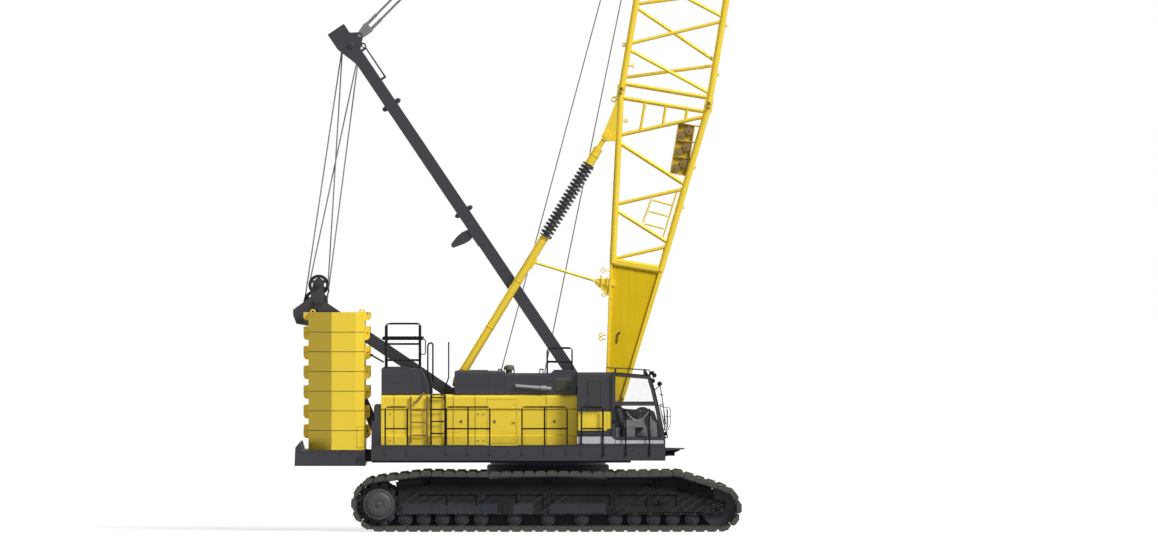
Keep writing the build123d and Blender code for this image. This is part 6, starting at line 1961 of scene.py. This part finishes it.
@dataclass
class Counterweights:
    """Dark joints between the slabs, lifting eyes, lug pins and the tray's fittings."""

    tray_z: float = 1.95
    height: float = 0.474
    count: int = 7
    tray_bolts: int = 6
    tray_bolt_step: float = 0.28
    outline: tuple[Flat, ...] = (
        (-5.77, 0.95), (-4.42, 0.95), (-4.42, 2.295), (-4.625, 2.5), (-5.205, 2.5), (-5.77, 1.935),
    )

    def build(self) -> None:
        """Makes every piece of the counterweights."""
        seams = Shape()
        for level in range(self.count):
            z = self.tray_z + level * self.height
            seams.pipe([(x, -y, z) for x, y in self.outline], 0.0075, 4, closed=True)
        cover = ((-4.598, 2.009), (-4.414, 2.009), (-4.414, 2.516), (-4.598, 2.516))
        seams.pipe([(x, x + 2.125, z) for x, z in cover], 0.006, 4, closed=True)
        seams.mirror()
        seams.piece("slab_joints", SEAM, Body.UPPER)
        eyes = Shape()
        top = self.tray_z + self.count * self.height
        half = ((0.05, -0.01), (0.05, 0.03), (0.025, 0.06))
        for x, y in ((-5.67, -1.62), (-4.5, -1.62)):
            line = [(x - dx, top + dz) for dx, dz in half]
            line += [(x + dx, top + dz) for dx, dz in reversed(half)]
            eyes.wire(line, y, 0.014)
        eyes.mirror()
        eyes.piece("slab_eyes", YELLOW, Body.UPPER)
        for x, name, finish in ((-5.85, "rear_lug_pins", STRIPE), (-4.345, "front_lug_pins", BROWN)):
            pins = Shape()
            for level in range(1, self.count + 1):
                pins.turned(
                    [(0, 0.022), (0.004, 0.022), (0.008, 0.014), (0.008, 0.0)],
                    (x, -1.499, self.tray_z + level * self.height - 0.02), (0, -1, 0), 20)
            pins.mirror()
            pins.piece(name, finish, Body.UPPER)
        tray = Shape()
        tray.block((-6.06, -2.512, 1.58), (-4.42, -2.498, 1.6))
        tray.block((-6.06, -2.512, 1.915), (-4.42, -2.498, 1.94))
        for x in (-5.6, -5.0, -4.5):
            tray.block((x - 0.012, -2.508, 1.6), (x + 0.012, -2.498, 1.915))
        handle = ((-2.49, 1.7), (-2.54, 1.7), (-2.54, 1.82), (-2.49, 1.82))
        tray.pipe([(-4.55, y, z) for y, z in handle], 0.016)
        tray.mirror()
        tray.piece("tray_ribs", BLACK, Body.UPPER, 0.003)
        places = [(-5.9 + i * self.tray_bolt_step, -2.512, 1.928) for i in range(self.tray_bolts)]
        BOLTS.mirrored(Body.UPPER, Facing.RIGHT, 0.03, places)


# ---- gantry, sheaves and winches ----------------------------------------------------------


@dataclass
class Sheaves:
    """Spoked rope sheaves, each row in place of its plain one."""

    groove: float = 0.045
    fall_step: float = 0.11
    tip_step: float = 0.15
    spokes: int = 6
    sides: int = 48
    hub: float = 0.082
    bore: float = 0.047

    def build(self) -> None:
        """Makes every row of sheaves."""
        falls = [(i - 2.5) * self.fall_step for i in range(6)]
        tips = [(i - 1.5) * self.tip_step for i in range(4)]
        rows = (
            (Body.GANTRY_LOW, 0.295, 0.088, falls[0::2]),
            (Body.GANTRY_HIGH, 0.25, 0.088, falls[1::2]),
            (Body.MAST_SHEAVES, 0.235, 0.096, falls),
            (Body.TIP_SHEAVES, 0.33, 0.09, tips),
            (Body.BACK_SHEAVES, 0.3, 0.11, [-0.15, 0.15]),
        )
        for body, radius, width, places in rows:
            x, _, z = SPINS[body.value]
            shape = Shape()
            for y in places:
                self.wheel(shape, (x, y, z), radius, width)
            shape.piece("spoked_" + body.value, SHEAVE, body, node=body.value)

    def wheel(self, shape: Shape, centre: Point, radius: float, width: float) -> None:
        """Adds one sheave: grooved rim, hub and spokes with open windows between them.

        Args:
            shape: the shape to add to.
            centre: its middle.
            radius: radius of its flanges.
            width: width of its rim.
        """
        w = width / 2
        root = radius - self.groove
        inner = root - 0.028
        rim = [
            (inner, -w * 0.8), (radius - 0.01, -w), (radius, -w * 0.93), (root, -w * 0.62),
            (root, w * 0.62), (radius, w * 0.93), (radius - 0.01, w), (inner, w * 0.8)]
        hub = [
            (self.bore, -w), (self.hub - 0.008, -w), (self.hub, -w * 0.8), (self.hub, w * 0.8),
            (self.hub - 0.008, w), (self.bore, w)]
        for section in (rim, hub):
            rings = []
            for i in range(self.sides):
                a = 2 * math.pi * i / self.sides
                rings.append([
                    (centre[0] + r * math.cos(a), centre[1] + y, centre[2] + r * math.sin(a))
                    for r, y in section
                ])
            shape.hull(rings, closed=True)
        for i in range(self.spokes):
            a = 2 * math.pi * (i + 0.5) / self.spokes
            c, s = math.cos(a), math.sin(a)
            ring = []
            for r, half in ((self.hub - 0.004, 0.026), (inner + 0.004, -0.034)):
                ring += [(r, -half), (r, half)]
            shape.hull([
                [
                    (centre[0] + r * c - t * s, centre[1] + k * 0.013, centre[2] + r * s + t * c)
                    for r, t in ring]
                for k in (-1, 1)
            ])


@dataclass
class Winches:
    """Drums with their rope laid turn by turn, bearing caps and the winch plates' edges."""

    half: float = 0.43
    flange: float = 0.035
    rope: float = 0.0135
    plate_y: float = 0.51
    ribs: int = 8

    def build(self) -> None:
        """Makes the three drums and their bearings."""
        wound = Wound(
            "rope_on_drum", Turns="Float", Radius="Float", Width="Float", Rope="Float", Centre="Vector")
        rows = (
            (Body.MAIN_DRUM, 0.33, 0.47),
            (Body.AUX_DRUM, 0.33, 0.47),
            (Body.BOOM_DRUM, 0.25, 0.39),
        )
        caps = Shape()
        for body, barrel, rim in rows:
            x, _, z = SPINS[body.value]
            shape = Shape()
            shape.turned(
                [(0, barrel - 0.03), (2 * self.half, barrel - 0.03)], (x, -self.half, z), (0, 1, 0), 48)
            for side in (-1, 1):
                profile = [
                    (0, 0.11), (0.0, rim - 0.05), (-0.006, rim - 0.04), (-0.006, rim - 0.004), (0, rim),
                    (self.flange, rim), (self.flange + 0.006, rim - 0.02), (self.flange, barrel - 0.04)]
                shape.turned(profile, (x, side * self.half, z), (0, -side, 0), 56)
                y = side * self.half
                ring = ((0.14, -0.01), (0.14, 0.01), (rim - 0.06, 0.01), (rim - 0.06, -0.01))
                for k in range(self.ribs):
                    a = 2 * math.pi * k / self.ribs
                    c, s = math.cos(a), math.sin(a)
                    shape.hull([
                        [(x + r * c - t * s, y + side * d, z + r * s + t * c) for r, t in ring]
                        for d in (-0.01, 0.022)
                    ])
            shape.piece(body.value + "_flanges", STEEL, body, node=body.value)
            turns = int((2 * self.half - 2 * self.flange - 0.02) / (2 * self.rope))
            piece = wound.run(body.value + "_rope", (x, 0.0, z), barrel - self.rope, turns, self.rope)
            settle(piece, body, Slot.ROPE)
            for side in (-1, 1):
                caps.turned(
                    [(0, 0.145), (0.02, 0.145), (0.03, 0.12), (0.03, 0.07), (0.045, 0.06), (0.045, 0.0)],
                    (x, side * self.plate_y, z), (0, side, 0), 36)
            BOLTS.mirrored(
                Body.UPPER, Facing.RIGHT, 0.026, circle_of((x, -self.plate_y - 0.02, z), 0.13, 8))
        caps.block((-0.52, -0.26, 2.06), (-0.3, 0.26, 2.3))
        for side in (-1, 1):
            y = side * (self.plate_y + 0.012)
            caps.block((-3.48, y - 0.016, 2.06), (0.6, y + 0.016, 2.085))
        caps.piece("winch_bearings", STEEL, Body.UPPER, 0.003)


class Wound(Group):
    """Lays one layer of rope round a drum as a true helix."""

    def spread(self, tree: Tree, given: Sockets) -> Socket:
        """Makes the nodes that sweep the rope along a helix and lay it across the machine.

        Args:
            tree: the tree to add to.
            given: the sockets of its inputs.

        Returns:
            The socket of the geometry that they make.
        """
        inputs = {
            "Resolution": 40, "Rotations": given["Turns"], "Start Radius": given["Radius"],
            "End Radius": given["Radius"], "Height": given["Width"]}
        helix = tree.add("GeometryNodeCurveSpiral", inputs).outputs[0]
        section = tree.add("GeometryNodeCurvePrimitiveCircle", {"Resolution": 7, "Radius": given["Rope"]})
        inputs = {"Curve": helix, "Profile Curve": section.outputs[0], "Fill Caps": True}
        tube = tree.add("GeometryNodeCurveToMesh", inputs).outputs[0]
        inputs = {0: (0.0, 0.0, -0.5), "Scale": given["Width"]}
        half = tree.add("ShaderNodeVectorMath", inputs, operation="SCALE").outputs[0]
        centred = tree.add("GeometryNodeTransform", {"Geometry": tube, "Translation": half}).outputs[0]
        inputs = {
            "Geometry": centred, "Translation": given["Centre"], "Rotation": (math.radians(90), 0.0, 0.0)}
        return tree.add("GeometryNodeTransform", inputs).outputs[0]

    def run(self, name: str, centre: Point, radius: float, turns: int, rope: float) -> Piece:
        """Lays the rope on one drum.

        Args:
            name: the finished piece's name.
            centre: the drum's middle.
            radius: from the axis to the rope's middle.
            turns: how many turns lie side by side.
            rope: the rope's radius.

        Returns:
            The finished piece.
        """
        base = bpy.data.meshes.new(name)
        base.from_pydata([centre], [], [])
        piece = self.apply(
            name, base, DRUM_ROPE, Turns=float(turns), Radius=radius, Width=turns * 2 * rope, Rope=rope,
            Centre=centre)
        piece.data.shade_smooth()
        return piece


@dataclass
class Gantry:
    """Pin heads, cheek rims, foot plates and the thin stay rod of the gantry."""

    pins: tuple[Flat, ...] = ((-5.619, 5.51), (-5.547, 5.929), (-5.95, 5.11))

    def build(self) -> None:
        """Makes every piece of the gantry."""
        shape = Shape()
        for x, z in self.pins:
            for side in (-1, 1):
                start = 0.628 if (x, z) != self.pins[2] else 0.615
                shape.turned(
                    [(0, 0.075), (0.03, 0.075), (0.04, 0.062), (0.04, 0.03), (0.062, 0.028), (0.062, 0.0)],
                    (x, side * start, z), (0, side, 0), 28)
        for side in (-1, 1):
            y = side * 0.725
            shape.wire([(-4.269, 4.23), (-3.971, 4.058)], y, 0.016)
            shape.turned([(0, 0.03), (0.02, 0.03)], (-4.27, y - 0.01, 4.23), (0, 1, 0), 16)
            shape.block((-1.47, side * 0.63 - 0.14, 2.058), (-1.0, side * 0.63 + 0.14, 2.085))
            shape.block((-4.22, side * 0.63 - 0.13, 2.058), (-3.95, side * 0.63 + 0.13, 2.085))
            for x, z in ((-1.25, 2.56), (-4.1, 2.3)):
                shape.turned(
                    [(0, 0.07), (0.03, 0.07), (0.038, 0.05), (0.038, 0.0)], (x, side * 0.719, z),
                    (0, side, 0), 28)
            shape.wire([(-5.43, 5.99), (-5.6, 6.075), (-5.66, 5.8)], side * 0.56, 0.014, 8)
            shape.wire([(-5.35, 5.62), (-5.3, 5.8), (-5.36, 5.98), (-5.52, 6.085)], side * 0.46, 0.014, 8)
        shape.piece("gantry_pins", STEEL, Body.UPPER, 0.003)
        places = [(x + dx, -0.72, z) for x, z in ((-1.25, 2.4), (-4.08, 2.16)) for dx in (-0.09, 0.09)]
        BOLTS.mirrored(Body.UPPER, Facing.RIGHT, 0.032, places)


# ---- mast ---------------------------------------------------------------------------------


@dataclass
class Mast:
    """Guard rod, lugs, stay brackets and foot pins of the mast."""

    leg_y: float = 0.79
    front: float = 0.145

    def build(self) -> None:
        """Makes every piece of the mast."""
        shape = Shape()
        y = -0.7
        rod = [MAST.at(s, n, y) for s, n in ((8.87, 0.14), (8.87, 0.262), (9.71, 0.262), (9.71, 0.14))]
        shape.pipe(rod, 0.019, 10)
        shape.pipe([
            MAST.at(s, n, y) for s, n in ((9.71, 0.26), (9.8, 0.3), (9.86, 0.25), (9.8, 0.2), (9.71, 0.24))
        ], 0.014, 8)
        for s in (8.22, 5.1):
            low = -0.2 if s > 6 else -0.185
            for n0, n1 in ((self.front - 0.005, 0.215), (low, -self.front + 0.005)):
                shape.slab(MAST, (s - 0.055, s + 0.055), (n0, n1), (y - 0.03, y + 0.03))
                mid = n1 if n0 > 0 else n0
                shape.turned([(0, 0.045), (0.08, 0.045)], MAST.at(s, mid, y - 0.04), (0, 1, 0), 20)
        leaf = [
            (4.474, -0.142), (4.68, -0.142), (4.71, -0.3), (4.69, -0.46), (4.62, -0.67), (4.58, -0.7),
            (4.52, -0.69), (4.49, -0.57), (4.45, -0.4), (4.44, -0.26)]
        shape.lean(MAST, leaf, y - 0.045, y + 0.045)
        shape.slab(MAST, (4.2, 4.56), (-0.16, -0.143), (y - 0.09, y + 0.09))
        foot = MAST.at(0.0, 0.0)
        shape.turned(
            [(0, 0.105), (0.03, 0.105), (0.04, 0.09), (0.04, 0.0)], (foot[0], -0.885, foot[2]), (0, -1, 0),
            32)
        shape.turned([(0, 0.085), (0.03, 0.08), (0.036, 0.0)], (foot[0], -0.515, foot[2]), (0, 1, 0), 24)
        for s in (1.2, 3.4, 6.6, 9.2):
            shape.slab(
                MAST, (s - 0.012, s + 0.012), (-self.front - 0.004, self.front + 0.004),
                (-self.leg_y - 0.004, -0.606))
        shape.slab(MAST, (10.3, 10.47), (-0.3, -0.27), (-0.74, 0.0))
        shape.mirror()
        shape.piece("mast_fittings", BLACK, Body.MAST, 0.004)
        bright = Shape()
        x, _, z = SPINS[Body.MAST_SHEAVES.value]
        bright.turned(
            [(0, 0.085), (0.03, 0.085), (0.04, 0.07), (0.04, 0.0)], (x, -0.787, z), (0, -1, 0), 32)
        bright.mirror()
        bright.piece("mast_pin_caps", STEEL, Body.MAST, 0.002)
        BOLTS.mirrored(Body.MAST, Facing.RIGHT, 0.026, circle_of((x, -0.812, z), 0.062, 6))


# ---- boom ---------------------------------------------------------------------------------


@dataclass
class Boom:
    """Foot flanges, joint pins, rope guides, ladder frame, clamps and lugs of the boom."""

    half_depth: float = 1.07
    half_width: float = 1.02
    joints: tuple[float, ...] = (7.65, 10.7)
    taper: Flat = (3.52, 7.605)
    foot_depth: float = 0.585
    foot_y: float = 0.955

    def build(self) -> None:
        """Makes every piece of the boom."""
        self.foot()
        self.joint_pins()
        self.guides()
        self.fittings()
        self.head()

    def foot(self) -> None:
        """Edges the foot plates with flanges, lays a darker yellow inset on them as painted shade for their
        recess, and adds the hook, the pin caps and the lifting plate.
        """
        y0, y1 = -self.foot_y - 0.06, -self.foot_y + 0.002
        shape = Shape()
        for edge, width in ((-1, 0.055), (1, 0.1)):
            low, high = 0.195 * edge, 0.652 * edge
            start = low + (high - low) * 0.06
            ring = [
                (0.34, start), (3.5, high), (3.5, high - edge * width), (0.34, start - edge * width * 0.7)]
            shape.lean(BOOM, ring, y0, y1)
        shape.slab(BOOM, (3.5, 3.6), (-0.652, 0.652), (y0 - 0.01, y1))
        shape.mirror()
        shape.piece("foot_flanges", YELLOW, Body.BOOM, 0.006)
        # painted shade: a darker yellow inset on each foot plate stands in for the shade of its recess
        shade_inset = Shape()
        ring = [(0.36, -0.16), (3.47, -0.58), (3.47, 0.545), (0.36, 0.145)]
        shade_inset.lean(BOOM, ring, -self.foot_y - 0.004, -self.foot_y + 0.002)
        shade_inset.mirror()
        shade_inset.piece("foot_panels", RECESS_SHADE, Body.BOOM)
        dark = Shape()
        hook = [
            (1.745, -self.foot_y - 0.01, 4.76), (1.725, -self.foot_y - 0.035, 4.79),
            (1.695, -self.foot_y - 0.04, 4.77), (1.68, -self.foot_y - 0.04, 4.62),
            (1.66, -self.foot_y - 0.01, 4.52)]
        dark.pipe(hook, 0.013, 8)
        foot = BOOM.at(0, 0)
        dark.turned(
            [(0, 0.12), (0.03, 0.12), (0.04, 0.1), (0.04, 0.0)], (foot[0], -1.028, foot[2]), (0, -1, 0), 32)
        dark.mirror()
        dark.piece("foot_pins", STEEL, Body.BOOM, 0.003)

    def joint_pins(self) -> None:
        """Puts a collared pin and a keeper through every lug of both section joints."""
        pin = Shape()
        pin.turned([
            (-0.125, 0.0), (-0.125, 0.022), (-0.118, 0.03), (-0.075, 0.03), (-0.075, 0.044),
            (-0.052, 0.044), (-0.052, 0.031), (0.052, 0.031), (0.052, 0.04), (0.068, 0.04), (0.068, 0.03),
            (0.105, 0.028), (0.112, 0.0)
        ], (0, 0, 0), (0, 1, 0), 20)
        rows = [
            Mark(
                BOOM.at(u + d, v * self.half_depth, w * self.half_width),
                (0.0, 0.0, 0.0 if w < 0 else 180.0))
            for u in self.joints for d in (-0.065, 0.065) for v in (-1, 1) for w in (-1, 1)]
        scatter("joint_pins", rows, pin, BROWN, Body.BOOM)

    def guides(self) -> None:
        """Adds the panel of rope guide rollers near the front chord and the folded rest frame."""
        panel = Shape()
        for v0, v1 in ((0.415, 0.445), (0.805, 0.835)):
            panel.slab(BOOM, (5.88, 7.12), (v0, v1), (-0.965, -0.885))
        for u in (5.88, 6.3, 6.7, 7.1):
            panel.slab(BOOM, (u, u + 0.03), (0.42, 0.93), (-0.965, -0.885))
        panel.slab(BOOM, (5.9, 7.1), (0.44, 0.81), (-0.9, -0.892))
        panel.piece("guide_panel", WARM, Body.BOOM, 0.004)
        rollers = Shape()
        for u in (6.1, 6.5, 6.9):
            for du, v in ((-0.075, 0.535), (0.075, 0.715)):
                place = BOOM.at(u + du, v, -0.97)
                rollers.turned(
                    [(0, 0.098), (0.012, 0.104), (0.03, 0.078), (0.048, 0.104), (0.06, 0.098)], place,
                    (0, 1, 0), 28)
                rollers.turned([(0, 0.03), (0.018, 0.026), (0.018, 0.0)], place, (0, -1, 0), 12)
        rollers.piece("guide_rollers", BROWN, Body.BOOM)
        rest = Shape()
        y = -0.985
        for a, b in (
            ((2.497, 8.0), (2.289, 7.432)), ((3.114, 8.199), (2.783, 7.088)),
            ((2.522, 7.976), (2.991, 7.853)), ((2.326, 7.408), (2.795, 7.284)), ((2.43, 7.71), (2.9, 7.585))
        ):
            rest.wire([a, b], y, 0.021)
        rest.piece("rest_frame", YELLOW, Body.BOOM)

    def fittings(self) -> None:
        """Adds the clamps, rings, lugs and hooks along the chords and the lacing."""
        shape = Shape()
        y = -self.half_width
        rear = -self.half_depth
        for u, v in ((7.75, rear - 0.02), (10.85, rear - 0.02)):
            x, _, z = BOOM.at(u, v)
            shape.turned([(0, 0.07), (0.05, 0.07)], (x - 0.02, y - 0.025, z), (0, 1, 0), 20)
            shape.slab(BOOM, (u - 0.05, u + 0.05), (v - 0.01, v + 0.05), (y - 0.02, y + 0.02))
        for x, z, size, reach in (
            (1.595, 10.418, 0.055, 0.1), (1.888, 9.898, 0.035, -0.12), (1.839, 11.737, 0.035, 0.06),
            (1.33, 6.28, 0.045, 0.12), (1.345, 5.69, 0.04, 0.1), (1.277, 4.72, 0.04, 0.09),
            (1.277, 4.62, 0.04, 0.09)
        ):
            shape.pipe(circle_of((x, y + 0.02, z), size, 16), 0.012, 8, closed=True)
            start = x + math.copysign(size, reach)
            shape.wire([(start, z), (start + reach, z - 0.01)], y + 0.02, 0.012, 8)
        shape.wire([(1.95, 11.24), (2.06, 11.22)], y + 0.02, 0.014, 8)
        shape.wire([(2.075, 11.29), (2.055, 11.16)], y + 0.02, 0.012, 8)
        shape.plate([(1.258, 5.955), (1.621, 5.895), (1.621, 6.045), (1.258, 6.085)], -0.985, -0.955)
        for x, low, high in ((1.29, 5.92, 6.16), (1.43, 5.9, 6.12)):
            shape.wire([(x, low), (x, high)], -1.0, 0.02)
        for u in (5.1, 6.1, 8.4, 9.6, 11.6):
            v = self.edge(u)
            staple = ((u, v + 0.07), (u, v + 0.12), (u + 0.05, v + 0.12), (u + 0.05, v + 0.07))
            shape.pipe([BOOM.at(*place, y + 0.05) for place in staple], 0.011, 8)
        shape.mirror()
        shape.piece("boom_lugs", YELLOW, Body.BOOM, 0.003)

    def edge(self, u: float) -> float:
        """Finds how far the front chord lies ahead of the boom's middle.

        Args:
            u: distance along the boom.

        Returns:
            The distance.
        """
        start, end = self.taper
        share = min(1.0, max(0.0, (u - start) / (end - start)))
        return self.foot_depth + (self.half_depth - self.foot_depth) * share

    def head(self) -> None:
        """Adds pin caps, rope keepers and edge plates to the boom's head, and cross stiffeners."""
        shape = Shape()
        for u, v in ((18.15, 0.8), (17.9, -0.86), (17.95, -0.43)):
            x, _, z = BOOM.at(u, v)
            shape.turned(
                [(0, 0.085), (0.026, 0.085), (0.036, 0.07), (0.036, 0.0)], (x, -0.558, z), (0, -1, 0), 28)
        for u, v in ((17.9, -0.5), (18.2, 0.42)):
            shape.slab(BOOM, (u, u + 0.03), (v - 0.18, v + 0.18), (-0.575, -0.558))
        shape.mirror()
        for u, v in ((18.52, 0.72), (17.86, 1.06)):
            shape.pipe([BOOM.at(u, v, -0.51), BOOM.at(u, v, 0.51)], 0.022, 12)
        shape.piece("head_fittings", YELLOW, Body.BOOM, 0.004)


# ---- backstops and hook -------------------------------------------------------------------


@dataclass
class Backstops:
    """Coil springs, end rings, feet and lugs of the two backstops."""

    y: float = 1.1
    low: float = 4.17
    high: float = 6.22
    coil: float = 0.143
    wire: float = 0.023
    turns: int = 19
    facets: int = 18

    def build(self) -> None:
        """Makes every piece of both backstops."""
        springs = Shape()
        steps = self.turns * self.facets
        for side in (-1, 1):
            line = []
            for i in range(steps + 1):
                a = 2 * math.pi * i / self.facets
                share = i / steps
                along = self.low + 0.055 + (self.high - self.low - 0.11) * share
                line.append(
                    STRUT.at(along, self.coil * math.cos(a), side * self.y + self.coil * math.sin(a)))
            springs.pipe(line, self.wire, 8)
        turn = math.radians(STRUT.lean)
        axis = (math.sin(turn), 0.0, math.cos(turn))
        for side in (-1, 1):
            for inner, along in ((0.104, self.low + 0.002), (0.112, self.high - 0.04)):
                ring = [(0, inner), (0.0, 0.15), (0.034, 0.15), (0.034, inner)]
                springs.turned(ring, STRUT.at(along, 0, side * self.y), axis, 36)
            rod = [(0, 0.074), (self.high - self.low - 0.012, 0.074)]
            springs.turned(rod, STRUT.at(self.low + 0.006, 0, side * self.y), axis, 28)
        springs.piece("backstop_coils", SPRING, Body.BOOM, node="backstop_springs")
        shape = Shape()
        for s in (0.3, 1.6, 2.9, 4.1):
            shape.turned([(0, 0.112), (0.03, 0.112)], STRUT.at(s, 0, -self.y), axis, 32)
        shape.turned([(0, 0.122), (0.05, 0.122)], STRUT.at(6.45, 0, -self.y), axis, 32)
        shape.slab(STRUT, (3.34, 3.6), (0.09, 0.135), (-self.y - 0.05, -self.y + 0.05))
        shape.mirror()
        shape.piece("backstop_collars", YELLOW, Body.BOOM, 0.003)
        feet = Shape()
        foot = STRUT.at(0.0, 0.0)
        feet.turned(
            [(0, 0.062), (0.014, 0.062), (0.02, 0.05), (0.02, 0.0)], (foot[0], -self.y - 0.083, foot[2]),
            (0, -1, 0), 28)
        feet.slab(STRUT, (0.1, 0.24), (-0.115, 0.115), (-self.y - 0.115, -self.y + 0.115))
        feet.mirror()
        feet.piece("backstop_feet", BROWN, Body.BOOM, 0.005)


@dataclass
class Hook:
    """Block guards, pin caps, nut, safety latch and bolts of the hook block."""

    hang: float = 2.9

    def build(self) -> None:
        """Makes every piece of the hook block."""
        low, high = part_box("hook_block")
        x, _, tip_z = SPINS[Body.TIP_SHEAVES.value]
        z = tip_z - self.hang
        edge = max(abs(low[1]), abs(high[1]))
        shape = Shape()
        shape.turned(
            [(0, 0.09), (0.03, 0.09), (0.04, 0.075), (0.04, 0.0)], (x, -edge + 0.002, z), (0, -1, 0), 32)
        rim = [
            (x - 0.23, z - 0.56), (x + 0.23, z - 0.56), (x + 0.28, z - 0.12), (x + 0.2, z + 0.25),
            (x - 0.2, z + 0.25), (x - 0.28, z - 0.12)]
        shape.wire(rim, -edge - 0.002, 0.012, 6, closed=True)
        for dx in (-0.17, 0.17):
            shape.pipe([(x + dx, -edge, z + 0.2), (x + dx, 0.0, z + 0.2)], 0.02, 10)
        shape.mirror()
        shape.piece("hook_guards", BLACK, Body.HOOK, 0.003)
        forged = Shape()
        forged.turned(
            [(0, 0.11), (0.05, 0.11), (0.06, 0.09), (0.12, 0.09), (0.13, 0.07)], (x, 0.0, z - 0.88),
            (0, 0, 1), 6)
        forged.wire([(x + 0.03, z - 1.03), (x + 0.11, z - 1.1), (x + 0.165, z - 1.19)], 0.0, 0.014, 8)
        forged.piece("hook_latch", STEEL, Body.HOOK, 0.003)
        places = [
            (x + dx, -edge, z + dz)
            for dx, dz in ((-0.16, -0.48), (0.16, -0.48), (-0.2, -0.2), (0.2, -0.2))]
        BOLTS.mirrored(Body.HOOK, Facing.RIGHT, 0.032, places)


def main() -> None:
    """Builds the crane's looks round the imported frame, one sub-assembly after another."""
    logging.basicConfig(level=logging.INFO, format="%(message)s")
    dress_nodes()
    Stage().build()
    for part in (
        Tracks(), Undercarriage(), Decks(), Ladders(), House(), Hoods(), Cab(), Counterweights(), Gantry(),
        Sheaves(), Winches(), Mast(), Boom(), Backstops(), Hook()
    ):
        part.build()
    BOLTS.build()


if __name__ == "__main__":
    main()
